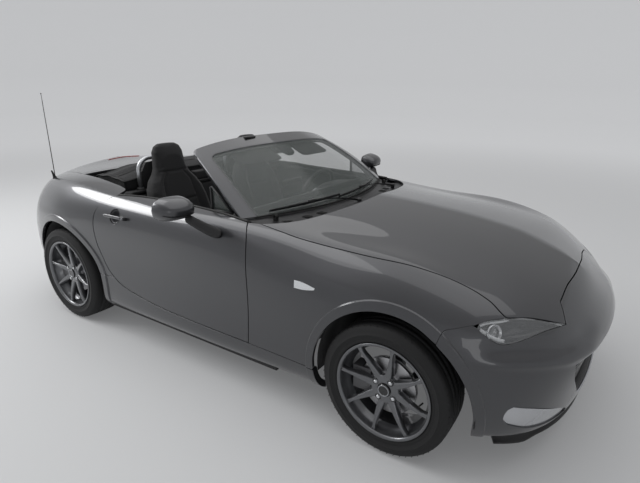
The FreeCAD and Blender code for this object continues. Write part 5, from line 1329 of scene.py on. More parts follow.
def daytime():
    """Daytime lamps low in the front corners."""
    bowl = lamp_bowl(patch_ring(DAYTIME), 0.002,
                     ((0.99, 0.010), (0.90, 0.022), (0.5, 0.026), (POLE, 0.026)))
    piece("daytime_housings", pair(bowl), "lamp_smoke")
    lens = shell([outline(DAYTIME, (0.004, 0.014, 0.003, 0.003), 0.006)], 0.002, 0.006, sink=0.006)
    piece("daytime_lenses", pair(lens), "lamp_pearl", stands_for=["daytime_lamps"])
    lens, base = (shell([outline(MARKER, (gap,) * 4, 0.004)], radius, depth,
                        surface=lambda uv: skin(uv) + across(skin, uv) * proud)
                  for gap, radius, depth, proud in ((0.0006, 0.0012, 0.004, 0.0022),
                                                    (0.0002, 0.0005, 0.002, 0.0004)))
    piece("side_lamp_lenses", pair(lens), "lens_clear", stands_for=["side_lamps"])
    piece("side_lamp_bases", pair(base), "lamp_white")


def lip():
    """Thin splitter under the nose, with a turned-down leading edge."""
    ys = np.concatenate([np.linspace(0.0, 0.50, 18), np.linspace(0.53, 0.705, 10)])
    edge = bare_skin(place_many("f", np.stack([ys / MM, 176 + 20 * smooth(ys, 0.55, 0.70)], 1)))
    half = np.stack([edge[:, 0] + 0.006 - 0.030 * smooth(ys, 0.62, 0.72), edge[:, 1] + 0.004], 1)
    half[0, 1] = 0.0
    pts = np.concatenate([half[::-1], half[1:] * [1, -1]])
    run = np.gradient(pts, axis=0)
    nrm = np.stack([-run[:, 1], run[:, 0]], 1)
    nrm /= np.linalg.norm(nrm, axis=1, keepdims=True)
    if nrm[len(pts) // 2][0] < 0:
        nrm = -nrm
    section = ((0.0, 0.1580), (0.0, 0.1540), (-0.004, 0.1505), (-0.012, 0.1500), (-0.070, 0.1560),
               (-0.070, 0.1900), (-0.026, 0.1900), (-0.020, 0.1780), (-0.012, 0.1660),
               (-0.004, 0.1605))
    rings = [[(x + nx * d, y + ny * d, z) for d, z in section]
             for (x, y), (nx, ny) in zip(pts, nrm)]
    piece("front_splitter", lofted(rings), "satin_black", stands_for=["front_lip"])


nose()
lamps_front()
daytime()
lip()


# ------------------------------------------------------------------ wheels
SPOKES, NUTS, NUT_CIRCLE = 8, 4, 0.050
SPOKE_TURN, NUT_TURN = 11, 33.5          # degrees round from straight up
PLAN_HALF = 0.0978              # half breadth that the tyre's section is drawn to
WIDEN = TYRE_HALF / PLAN_HALF
SHOULDER_LUGS, TREAD_BARS = 60, 72


def set_on(part, at, out, flip=1):
    """A part made round the origin, put at a wheel and mirrored where it faces right."""
    verts, faces, _ = part
    way = out * flip
    return (verts * np.array([1, way, 1]) + np.array(at),
            faces if way > 0 else [tuple(reversed(f)) for f in faces], None)


def tyre_profile():
    """Tyre section as (radius, offset outwards from the wheel's middle)."""
    bead = RIM_R - 0.004
    side = [(bead, 0.080), (bead + 0.006, 0.0885), (bead + 0.020, 0.0945), (bead + 0.0215, 0.0935),
            (bead + 0.024, 0.0945), (bead + 0.040, 0.0972), (bead + 0.0405, 0.0978),
            (bead + 0.043, 0.0978), (bead + 0.0435, 0.0970), (bead + 0.058, 0.0955),
            (TYRE_R - 0.022, 0.0925), (TYRE_R - 0.012, 0.0885), (TYRE_R - 0.0055, 0.0815),
            (TYRE_R - 0.0022, 0.0715)]
    tread = [(TYRE_R - 0.0018, 0.056)]
    for middle, width in ((0.0465, 0.009), (0.0165, 0.010), (-0.0165, 0.010), (-0.0465, 0.009)):
        crown = TYRE_R - abs(middle) * 0.02
        tread += [(crown, middle + width / 2 + 0.001), (crown - 0.0065, middle + width / 2),
                  (crown - 0.0065, middle - width / 2), (crown, middle - width / 2 - 0.001)]
    tread += [(TYRE_R - 0.0018, -0.056)]
    outer = [(r, y * WIDEN) for r, y in side + tread] + [(r, -y * WIDEN) for r, y in reversed(side)]
    inner = [(bead + 0.012, -0.060), (bead + 0.045, -0.078), (TYRE_R - 0.030, -0.070),
             (TYRE_R - 0.016, -0.030), (TYRE_R - 0.016, 0.030), (TYRE_R - 0.030, 0.070),
             (bead + 0.045, 0.078), (bead + 0.012, 0.060)]
    return outer + inner


def tyre_part(at, out):
    """One tyre."""
    lug = block((-0.0012, 0.057 * WIDEN, -0.0012 + TYRE_R - 0.006),
                (0.0012, 0.088 * WIDEN, TYRE_R - 0.0052), 0.0004, 1)
    bar = block((-0.0010, -0.040, TYRE_R - 0.0062), (0.0010, -0.022, TYRE_R - 0.0008), 0.0003, 1)
    parts = [turned(tyre_profile(), at, out, steps=96)]
    for unit in (bar, shift(bar, (0, 0.062, 0))):
        grown = repeated(unit, TREAD_BARS, turn=(0, 360 / TREAD_BARS, 0), paint="tyre_rubber")
        parts.append(set_on(grown, at, out))
    grown = repeated(lug, SHOULDER_LUGS, turn=(0, 360 / SHOULDER_LUGS, 0), paint="tyre_rubber")
    parts += [set_on(grown, at, out, flip) for flip in (1, -1)]
    return joined(*parts)


def rim_barrel(at, out):
    """The rim's barrel behind its spokes."""
    r = RIM_R
    profile = [(r, 0.0925), (r + 0.001, 0.0905), (r - 0.001, 0.0860), (r - 0.007, 0.0820),
               (r - 0.010, 0.060), (r - 0.018, 0.045), (r - 0.030, 0.030), (r - 0.030, -0.030),
               (r - 0.012, -0.050), (r - 0.008, -0.082), (r, -0.088), (r, -0.0925),
               (r - 0.009, -0.0925), (r - 0.014, -0.080), (r - 0.017, -0.050), (r - 0.036, -0.032),
               (r - 0.036, 0.034), (r - 0.024, 0.050), (r - 0.0165, 0.066), (r - 0.0155, 0.0785),
               (r - 0.0145, 0.0850), (r - 0.0125, 0.0890), (r - 0.0105, 0.0915), (r - 0.006, 0.0935),
               (r - 0.002, 0.0937)]
    return turned(profile, at, out, steps=96)


SPOKE_FOOT, SPOKE_TIP = 0.050, 0.207


def spoke():
    """One spoke along +Z: wide and deep at the hub, a thin blade at the rim."""
    rings = []
    for t in np.linspace(0, 1, 12):
        half = 0.0165 - 0.0105 * min(1, t * 1.25) + 0.004 * max(0, t - 0.8) / 0.2
        face = 0.0655 + 0.0105 * math.sin(min(1, t * 1.15) * math.pi / 2) + 0.010 * t
        if t > 0.93:
            face -= 0.002
        flank = [(1.25, face - (0.034 - 0.014 * t)), (1.2, face - 0.010), (1, face - 0.0025),
                 (0.72, face), (0.10, face - 0.0012)]
        lean = 0.010 * math.sin(t * math.pi) * 0.35
        r = SPOKE_FOOT + (SPOKE_TIP - SPOKE_FOOT) * t
        rings.append([(-half * a + lean, y, r) for a, y in flank]
                     + [(half * a + lean, y, r) for a, y in reversed(flank)])
    return lofted(rings)


def wheel(corner):
    """One wheel with its tyre, rim, hub cap, nuts and valve."""
    at = tuple(WHEEL_AT[corner])
    out = 1 if at[1] > 0 else -1
    body = corner + "_wheel"
    piece(corner + "_tyre_tread", tyre_part(at, out), "tyre_rubber", body=body,
          stands_for=[corner + "_tyre"])
    spokes = repeated(spoke(), SPOKES, turn=(0, 360 / SPOKES, 0), paint="wheel_grey")
    spokes = spun(spokes, (0, 0, 0), math.radians(SPOKE_TURN))
    hub = turned(rounded([(0.030, 0.040), (0.066, 0.040), (0.067, 0.058), (0.063, 0.0655),
                          (0.040, 0.0680), (0.030, 0.0680)], 0.003), at, out)
    casting = piece(corner + "_rim_casting", joined(rim_barrel(at, out), set_on(spokes, at, out), hub),
                    "wheel_grey", body=body, stands_for=[corner + "_rim"])
    polish(casting, bevel=0.0009, segments=2, angle=35)
    cap = turned(rounded([(0.0005, 0.058), (0.0275, 0.058), (0.0285, 0.0700), (0.0255, 0.0735),
                          (0.020, 0.0745), (0.0005, 0.0755)]), at, out, steps=48)
    ring = turned(rounded([(0.0215, 0.0730), (0.0262, 0.0730), (0.0258, 0.0762), (0.0222, 0.0764)],
                          0.0006), at, out, steps=48)
    piece(corner + "_hub_cap", cap, "gloss_black", body=body, slot="alloy")
    piece(corner + "_hub_ring", ring, "satin_metal", body=body, slot="alloy")
    seat = turned(rounded([(0.0085, 0.050), (0.0145, 0.050), (0.0150, 0.0672), (0.0128, 0.0692),
                           (0.0090, 0.0655)], 0.0008), steps=24)
    nut = prism([(0.0088 * math.cos(a), 0.052, 0.0088 * math.sin(a))
                 for a in [math.radians(60 * k) for k in range(6)]], (0, 0.019, 0), 0.0012)
    stud = turned(rounded([(0.0002, 0.055), (0.0052, 0.055), (0.0052, 0.0722), (0.0002, 0.0730)],
                          0.0008), steps=16)
    for label, unit, paint in (("nut_seats", seat, "gloss_black"),
                               ("nuts", joined(nut, stud), "bright_metal")):
        grown = repeated(shift(unit, (0, 0, NUT_CIRCLE)), NUTS, turn=(0, 360 / NUTS, 0), paint=paint)
        grown = set_on(spun(grown, (0, 0, 0), math.radians(NUT_TURN)), at, out)
        piece(corner + "_" + label, grown, paint, body=body, slot="alloy")
    valve = tube([(at[0] + 0.172, at[1] + out * 0.060, at[2]),
                  (at[0] + 0.166, at[1] + out * 0.088, at[2])], 0.0035, 10)
    piece(corner + "_valve", valve, "rubber_black", body=body, slot="alloy")


HAT_R, PLATE, VANES = 0.072, 0.005, 36
VENTED_FROM, VENTED_FACE = 0.025, 0.020   # a disc deeper than the first is vented, this far apart


def disc_part(corner):
    """Vented disc: two plates, vanes between them, and the hat."""
    low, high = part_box(corner + "_disc")
    at = tuple(WHEEL_AT[corner])
    out = 1 if at[1] > 0 else -1
    r = (high.z - low.z) / 2
    a, b = (y - abs(at[1]) for y in sorted((abs(low.y), abs(high.y))))
    face = a + VENTED_FACE if b - a > VENTED_FROM else b
    plates = ([(HAT_R, a), (r, a), (r, a + PLATE), (HAT_R, a + PLATE)],
              [(HAT_R - 0.004, face - PLATE), (r, face - PLATE), (r, face), (HAT_R - 0.004, face)])
    plates = [turned(rounded(q, 0.0008), at, out, steps=72) for q in plates]
    bell = turned(rounded([(0.034, b - 0.006), (HAT_R - 0.006, b - 0.006), (HAT_R - 0.006, a),
                           (HAT_R, a), (HAT_R, b), (0.034, b)]), at, out, steps=48)
    vane = block((-0.0015, a + PLATE - 0.001, HAT_R + 0.004),
                 (0.0015, face - PLATE + 0.001, r - 0.003))
    vanes = repeated(vane, VANES, turn=(0, 360 / VANES, 0), paint="brake_disc_" + corner)
    return joined(*plates, bell, set_on(vanes, at, out))


for corner in CORNERS:
    wheel(corner)
    piece(corner + "_brake_disc", disc_part(corner), "brake_disc_" + corner, body=corner + "_wheel",
          stands_for=[corner + "_disc"])


# ------------------------------------------------------------------ windscreen
SCREEN_BASE, SCREEN_HEAD = (475, 860), (-128, 1197)      # x, z on the centreline, mm
BASE_HALF, HEAD_HALF = 683, 566          # half breadths, mm
PILLAR_SHARE, HEADER_SHARE = 0.905, 0.86
PER_S, PER_T = 3.0, 5.0          # mesh units of the screen's two shares


def screen(s, t):
    """Places on the windscreen: s from right (-1) to left (1), t from foot to header top."""
    s, t = np.broadcast_arrays(np.asarray(s, float), np.asarray(t, float))
    foot = np.stack([SCREEN_BASE[0] - 182 * s * s, BASE_HALF * s, SCREEN_BASE[1] + 0 * s], -1)
    head = np.stack([SCREEN_HEAD[0] - 40 * s * s, HEAD_HALF * s,
                     SCREEN_HEAD[1] - 52 * np.abs(s) ** 3], -1)
    bulge = np.sin(math.pi * np.clip(t, 0, 1))
    p = foot + (head - foot) * t[..., None]
    return (p + np.stack([10 * bulge, 14 * s * bulge, 14 * bulge], -1)) * MM


def screen_skin(uv):
    return screen(uv[:, 0] / PER_S, uv[:, 1] / PER_T)


FILL_SPACING = 0.02


def filled(points):
    """A ring of (s, t) corners turned into closely spaced mesh parameters."""
    pts = np.array(points, float) * [PER_S, PER_T]
    out = []
    for a, b in zip(pts, np.roll(pts, -1, 0)):
        length = np.linalg.norm(screen_skin(a[None])[0] - screen_skin(b[None])[0])
        steps = max(1, int(length / FILL_SPACING))
        out += [a + (b - a) * k / steps for k in range(steps)]
    return np.array(out)


def arc_points(centre_at, radii, start, end, steps=6):
    turns = [math.radians(start + (end - start) * k / steps) for k in range(steps + 1)]
    return [(centre_at[0] + radii[0] * math.cos(a), centre_at[1] + radii[1] * math.sin(a))
            for a in turns]


def screen_frame():
    """The windscreen's frame, its inner trims, glass, black border and seal."""
    e, h = PILLAR_SHARE, HEADER_SHARE
    rs, rt = 0.075, 0.085           # corner radii of the opening
    seam_in, seam_out = h - rt - 0.01, 0.895
    pillar = [(e, 0.0), (1.0, 0.0), (1.0, seam_out), (e, seam_in)]
    header = ([(-e, seam_in + 0.0015)] + arc_points((-e + rs, h - rt), (rs, rt), 180, 90)
              + arc_points((e - rs, h - rt), (rs, rt), 90, 0)
              + [(e, seam_in + 0.0015), (1.0, seam_out + 0.0015)]
              + arc_points((0.955, 0.948), (0.045, 0.052), 0, 90)
              + arc_points((-0.955, 0.948), (0.045, 0.052), 90, 180) + [(-1.0, seam_out + 0.0015)])
    outer = shell([filled(pillar)], 0.006, 0.022, surface=screen_skin)
    piece("windscreen_pillar_skins", pair(outer), "gunmetal_paint",
          stands_for=["windscreen_pillars"])
    ring = filled(header)
    if ring_area(ring) < 0:
        ring = ring[::-1]
    piece("windscreen_header_skin", shell([ring], 0.006, 0.022, surface=screen_skin),
          "gunmetal_paint", stands_for=["windscreen_header"])
    # inner trims
    low = [(e - 0.012, 0.02), (0.985, 0.02), (0.985, seam_out), (e - 0.012, seam_in)]
    trim = shell([filled(low)], 0.004, 0.008, surface=screen_skin, sink=0.0225)
    top = shell([ring * [0.988, 1] - [0, 0.012]], 0.004, 0.008, surface=screen_skin, sink=0.0225)
    piece("windscreen_inner_trims", joined(trim, mirrored(trim), top), "cabin_black",
          slot="black_trim")
    # glass, its black border and the seal between frame and glass
    glass_ring = filled([(-e - 0.006, -0.012), (e + 0.006, -0.012), (e + 0.006, h - rt)]
                        + arc_points((e - rs, h - rt), (rs + 0.006, rt + 0.006), 8, 90)
                        + arc_points((-e + rs, h - rt), (rs + 0.006, rt + 0.006), 90, 172)
                        + [(-e - 0.006, h - rt)])
    piece("windscreen_pane", shell([glass_ring], 0.0005, 0.0045, surface=screen_skin, sink=0.004),
          "screen_tint", stands_for=["windscreen_glass"])
    band = shell([glass_ring, as_hole(shrunk(glass_ring, 0.022))], 0.0002, 0.0008,
                 surface=screen_skin, sink=0.0095)
    piece("windscreen_border", band, "gloss_black")
    edge = screen_skin(glass_ring) - across(screen_skin, glass_ring) * 0.0030
    seal = tube(edge, 0.0032, 8, closed=True, caps=False)
    piece("windscreen_seal", seal, "rubber_black")


def shrunk(ring, by):
    """A screen ring drawn inwards by a distance in metres."""
    p = screen_skin(ring)
    run = np.roll(p, -1, 0) - np.roll(p, 1, 0)
    n = across(screen_skin, ring)
    inward = -np.cross(run, n)
    inward /= np.maximum(np.linalg.norm(inward, axis=1, keepdims=True), 1e-9)
    if ring_area(ring) < 0:
        inward = -inward
    # metres across and up the screen per unit of its mesh parameters, and the way up it
    across_s, up_t, up = 0.62 / PER_S, 0.66 / PER_T, (-0.87, 0.49)
    ds = inward[:, 1] * by / across_s
    dt = (inward[:, 2] * up[1] + inward[:, 0] * up[0]) * by / up_t
    return ring + np.stack([ds, dt], 1)


def cowl_cover():
    """The louvred cover below the windscreen."""
    s = np.linspace(-0.97, 0.97, 61)
    rear = screen(s, 0.012) + np.array([0.010, 0, -0.010])
    heel = evenly(bonnet_heel, 0.004)
    line = skin(heel)
    line = np.concatenate([line * [1, -1, 1], line[::-1]])
    line = line[np.argsort(line[:, 1])]
    front = np.stack([np.interp(rear[:, 1], line[:, 1], line[:, k]) for k in range(3)], 1)
    front[:, 0] += 0.004
    front[:, 2] -= 0.017
    rows = []
    for a in np.linspace(0, 1, 9):
        row = front + (rear - front) * a
        row[:, 2] -= 0.016 * math.sin(math.pi * a)
        rows.append(row)
    low = [r - [0, 0, 0.004] for r in rows[::-1]]
    rings = [np.array([r[i] for r in rows + low]) for i in range(len(s))]
    piece("cowl_cover", lofted(rings), "satin_black")
    # The slots are raised near-black bars that stand for the openings in the cover: painted shade.
    slot_unit = block((-0.0025, -0.022, -0.002), (0.0025, 0.022, 0.0016), 0.0008, 1)
    vents = []
    for y in (0.52, 0.43, 0.34, -0.52, -0.43, -0.34):
        i = int(np.argmin(np.abs(rear[:, 1] - y)))
        mid = (front[i] + rear[i]) / 2 - [0.006, 0, 0.0145]
        vents.append(repeated(slot_unit, 5, start=tuple(mid), step=(-0.009, 0, 0),
                              paint="gap_shade_black"))
    piece("cowl_louvres", joined(*vents), "gap_shade_black")


def wiper(s0, s1, pivot):
    """Blade along the foot of the glass, and its arm."""
    s = np.linspace(s0, s1, 25)
    t = 0.035 + 0.020 * (s - s0) / (s1 - s0)
    p = screen(s, t)
    n = across(screen_skin, np.stack([s * PER_S, t * PER_T], 1))
    run = np.gradient(p, axis=0)
    up = np.cross(n, run)
    up /= np.linalg.norm(up, axis=1, keepdims=True)
    rings = []
    for i in range(len(s)):
        taper = 1 - 0.5 * abs(2 * i / (len(s) - 1) - 1) ** 4
        section = [(-0.0015, 0.002), (0.0015, 0.002), (0.002, 0.010), (0.007 * taper, 0.012),
                   (0.0015, 0.012 + 0.011 * taper), (-0.005 * taper, 0.013), (-0.002, 0.010)]
        rings.append([p[i] + up[i] * a + n[i] * b for a, b in section])
    blade = lofted(rings)
    middle = p[len(s) // 2] + n[len(s) // 2] * 0.026
    pivot = np.array(pivot)
    arm = []
    for a in np.linspace(0, 1, 9):
        q = pivot + (middle - pivot) * a + np.array([0, 0, 0.012 * math.sin(math.pi * a)])
        half = 0.010 - 0.005 * a
        arm.append([q + [half * 0.5, half, -0.003], q + [half * 0.5, half, 0.003],
                    q + [-half * 0.5, -half, 0.003], q + [-half * 0.5, -half, -0.003]])
    knob = turned_along(rounded([(0.0002, -0.02), (0.013, -0.02), (0.013, 0.008), (0.009, 0.012),
                                 (0.0002, 0.013)], 0.001), pivot, (0.1, 0, 1), 24)
    clip = block(middle - [0.010, 0.022, 0.012], middle + [0.006, 0.022, 0.006], 0.003, 2)
    return joined(blade, lofted(arm), knob, clip)


def wipers():
    """Both wiper arms with their blades."""
    right = wiper(-0.80, -0.08, (0.560, -0.02, 0.862))
    left = wiper(-0.12, 0.66, (0.520, 0.47, 0.862))
    polish(piece("wipers", joined(right, left), "satin_black"), bevel=0.0006, angle=50)


# ------------------------------------------------------------------ doors' outside
MIRROR_ROOT, MIRROR_TIP = 0.822, 1.0045
GLASS_AT = (0.912, 0.928)       # y and z of the mirror glass's middle


def mirror_swell(a):
    """How full the mirror's cap is at a share of its breadth."""
    return max(0.02, 1 - abs(2 * a - 0.93) ** 3.2 / 1.25) ** 0.5


def mirrors():
    """Door mirrors: cap, the seam of its lower tray, rim, glass and stalk."""
    rings = []
    for a in np.linspace(0, 1, 19):
        y = MIRROR_ROOT + (MIRROR_TIP - MIRROR_ROOT) * a
        swell = mirror_swell(a) if a > 0.02 else 0.42
        if a >= 0.999:
            swell = 0.10
        depth, height = 0.056 * swell, 0.0585 * swell
        x_back, zc = 0.064 + 0.006 * a, 0.925 + 0.008 * a
        ring = []
        for u, w in superellipse(1, 1, 2.3, 36):
            x = x_back + (depth * 1.75) * max(0.0, u) ** 0.9 - 0.006 * max(0.0, -u)
            z = zc + height * w * (1 - 0.22 * max(0, u))
            ring.append((x - 0.012 * a, y, z))
        rings.append(ring)
    cap = lofted(rings)
    y0, z0 = GLASS_AT
    glass_ring = [(0.0495, y0 + 0.078 * u, z0 + 0.047 * w) for u, w in superellipse(1, 1, 3.0, 40)]
    rim = looped([[(p[0] + dx, y0 + (p[1] - y0) * g, z0 + (p[2] - z0) * g) for p in glass_ring]
                  for dx, g in ((0.006, 1.06), (-0.004, 1.06), (-0.0065, 1.03), (-0.004, 0.99),
                                (0.006, 0.98))])
    pane = lofted([[(p[0] + dx, p[1], p[2]) for p in glass_ring] for dx in (0.002, -0.0015)])
    # The tray seam is a thin near-black band round the cap where it meets its tray: painted shade of the
    # seam.
    tray = []
    for a in np.linspace(0.06, 0.92, 12):
        y = MIRROR_ROOT + (MIRROR_TIP - MIRROR_ROOT) * a
        swell = mirror_swell(a)
        zc = 0.925 + 0.008 * a - 0.0585 * swell * 0.42
        x0, x1 = 0.058 - 0.012 * a, 0.064 + 0.006 * a + 0.056 * swell * 1.66 - 0.012 * a
        tray.append([(x0, y, zc + 0.0012), (x1, y, zc + 0.0012), (x1 + 0.0006, y, zc),
                     (x1, y, zc - 0.0012), (x0, y, zc - 0.0012)])
    seam = lofted(tray)
    stalk = []
    for a in np.linspace(0, 1, 11):
        x = 0.222 - 0.092 * a ** 0.8
        y = 0.786 + 0.086 * a
        z = 0.802 + 0.080 * a ** 1.1
        half_x = 0.046 - 0.018 * math.sin(math.pi * min(1, a * 1.2) / 2)
        half_z = 0.026 - 0.006 * a
        stalk.append([(x + u, y - 0.35 * w, z + w) for u, w in superellipse(half_x, half_z, 2.5, 28)])
    stem = lofted(stalk)
    for side, put in SIDES:
        polish(piece(side + "_mirror_cap", put(cap), "gunmetal_paint", body=side + "_door",
                     stands_for=[side + "_mirror"]), levels=1)
        piece(side + "_mirror_seam", put(seam), "gap_shade_black", body=side + "_door")
        piece(side + "_mirror_rim", put(rim), "satin_black", body=side + "_door")
        piece(side + "_mirror_pane", put(pane), "mirror_silver", body=side + "_door",
              slot="black_trim")
        polish(piece(side + "_mirror_stalk", put(stem), "cabin_black", body=side + "_door"), levels=1)


def handles():
    """Door handles with their pulls."""
    z = 0.774
    xs = np.linspace(-0.626, -0.440, 29)
    uv = place_many("S", np.stack([xs, np.full(len(xs), z)], 1))
    p, n = skin(uv), across(skin, uv)
    rings = []
    for i in range(len(xs)):
        a = i / (len(xs) - 1)
        lift = 0.020 * min(1, math.sin(math.pi * a) * 2.6) ** 0.7 if 0 < a < 1 else 0.0
        wide = 0.0095 * (1 - 0.35 * abs(2 * a - 1) ** 4)
        q = p[i] + n[i] * lift
        rings.append([q + np.array([0, 0, 1]) * w + n[i] * u
                      for u, w in superellipse(0.0065, wide, 2.4, 18)])
    bar = lofted(rings)
    uv2 = place_many("S", [[-0.452, z]])
    q, m = skin(uv2)[0], across(skin, uv2)[0]
    lock = turned_along(rounded([(0.0002, 0.0), (0.0115, 0.0), (0.0115, 0.0215), (0.0095, 0.0235),
                                 (0.0002, 0.0240)], 0.001), q, m, 28)
    slot = turned_along(rounded([(0.0002, 0.0238), (0.0045, 0.0238), (0.0045, 0.0246),
                                 (0.0002, 0.0248)], 0.0002), q, m, 20)
    for side, put in SIDES:
        polish(piece(side + "_handle_bar", put(joined(bar, lock)), "gunmetal_paint",
                     body=side + "_door", stands_for=[side + "_door_handle"]), levels=1)
        piece(side + "_handle_lock", put(slot), "satin_metal", body=side + "_door")


def quarter_windows():
    """Sash and small fixed pane at the front of each side window, and the waist seals."""
    low, high = 0.866, 0.986
    glass = prism([(0.196, 0.6555, 0.868), (0.066, 0.6555, 0.868), (0.066, 0.6555, high - 0.002)],
                  (0, 0.0045, 0), 0.0006)
    sash = block((0.0555, 0.6500, low - 0.008), (0.0665, 0.6670, 0.990), 0.0025)
    rail = tube([(0.200, 0.6585, 0.8705), (0.130, 0.6585, 0.936), (0.0625, 0.6585, 0.990)], 0.0048, 10)
    foot = tube([(0.052, 0.660, 0.869), (0.205, 0.660, 0.869)], 0.006, 10)
    waist = skin(evenly(door_high, 0.02)) + np.array([0, -0.0075, 0.0015])
    seal = lofted([[q + [0, -0.004, -0.018], q + [0, 0.0045, -0.003], q + [0, 0.002, 0.0045],
                    q + [0, -0.006, 0.0035]] for q in waist])
    for side, put in SIDES:
        piece(side + "_quarter_pane", put(glass), "screen_tint", body=side + "_door",
              stands_for=[side + "_quarter_glass"])
        piece(side + "_sash", put(joined(sash, rail, foot)), "satin_black", body=side + "_door")
        piece(side + "_waist_seal", put(seal), "rubber_black", body=side + "_door")


def antenna():
    """The mast and its base."""
    base, tip = Vector((-1.490, -0.648, 0.852)), Vector((-1.545, -0.618, 1.411))
    way = (tip - base).normalized()
    foot = turned_along(rounded([(0.0002, -0.006), (0.017, -0.006), (0.0165, 0.002), (0.010, 0.016),
                                 (0.0065, 0.034), (0.0045, 0.060), (0.0002, 0.062)], 0.002),
                        base, (-0.05, -0.25, 1.0), 28)
    rod = tube([base, tip], [0.0026, 0.0016], 10)
    tipped = turned_along(rounded([(0.0002, -0.004), (0.0032, -0.004), (0.0032, 0.0015),
                                   (0.0002, 0.002)], 0.0008), tip, way, 12)
    coil = turned_along([(0.0024, -0.0011), (0.0031, 0.0), (0.0024, 0.0011)], (0, 0, 0), way, 10)
    coils = repeated(coil, 60, start=tuple(base + way * 0.07), step=tuple(way * 0.0075),
                     paint="rubber_black")
    piece("antenna_mast", joined(foot, rod, tipped, coils), "rubber_black", stands_for=["antenna"])


screen_frame()
cowl_cover()
wipers()
mirrors()
handles()
quarter_windows()
antenna()


# ------------------------------------------------------------------ cabin
SEAT_Y = 0.352
WHEEL_CENTRE = np.array([-0.030, SEAT_Y, 0.770])
WHEEL_TILT = math.radians(22)


def dash_section(y):
    """Outline of the dashboard's section at a breadth, as (x, z)."""
    hood = math.exp(-((y - SEAT_Y) / 0.155) ** 4) * 0.030
    end = 1 - 0.06 * smooth(abs(y), 0.52, 0.64)
    x0 = 0.062 - 0.030 * math.exp(-((y - SEAT_Y) / 0.17) ** 4)
    return [(x0 + 0.030, 0.632), (x0, 0.660), (x0 - 0.004, 0.700), (x0 + 0.006, 0.722),
            (x0 + 0.004, 0.738), (x0 + 0.010, 0.790), (x0 + 0.020, 0.812 + hood * 0.7),
            (x0 + 0.040, 0.826 + hood), (0.118, 0.838 + hood * 0.9), (0.155, 0.850 + hood * 0.4),
            (0.190, 0.858 * end + 0.858 * (1 - end) * 0.9), (0.213, 0.860), (0.213, 0.664),
            (0.150, 0.606), (0.100, 0.610)]


VENT_R = 0.034


def round_vent(at, way):
    """A round air outlet: its bright ring, and its cup with three bars."""
    radius = VENT_R
    ring = turned_along(rounded([(radius - 0.006, -0.012), (radius, -0.006), (radius + 0.002, 0.003),
                                 (radius - 0.003, 0.0065), (radius - 0.0075, 0.001)], 0.0012), at, way, 40)
    cup = turned_along([(0.0002, -0.012), (radius - 0.006, -0.012), (radius - 0.006, -0.015),
                        (0.0002, -0.015)], at, way, 32)
    way = Vector(way).normalized()
    side = Vector((0, 1, 0))
    up = way.cross(side).normalized()
    bars = []
    for rise in (-0.45 * radius, 0, 0.45 * radius):
        c = Vector(at) + up * rise - way * 0.004
        w = math.sqrt((radius - 0.006) ** 2 - rise ** 2)
        bars.append(tube([c - side * w, c + side * w], 0.0016, 8))
    return ring, joined(cup, *bars)


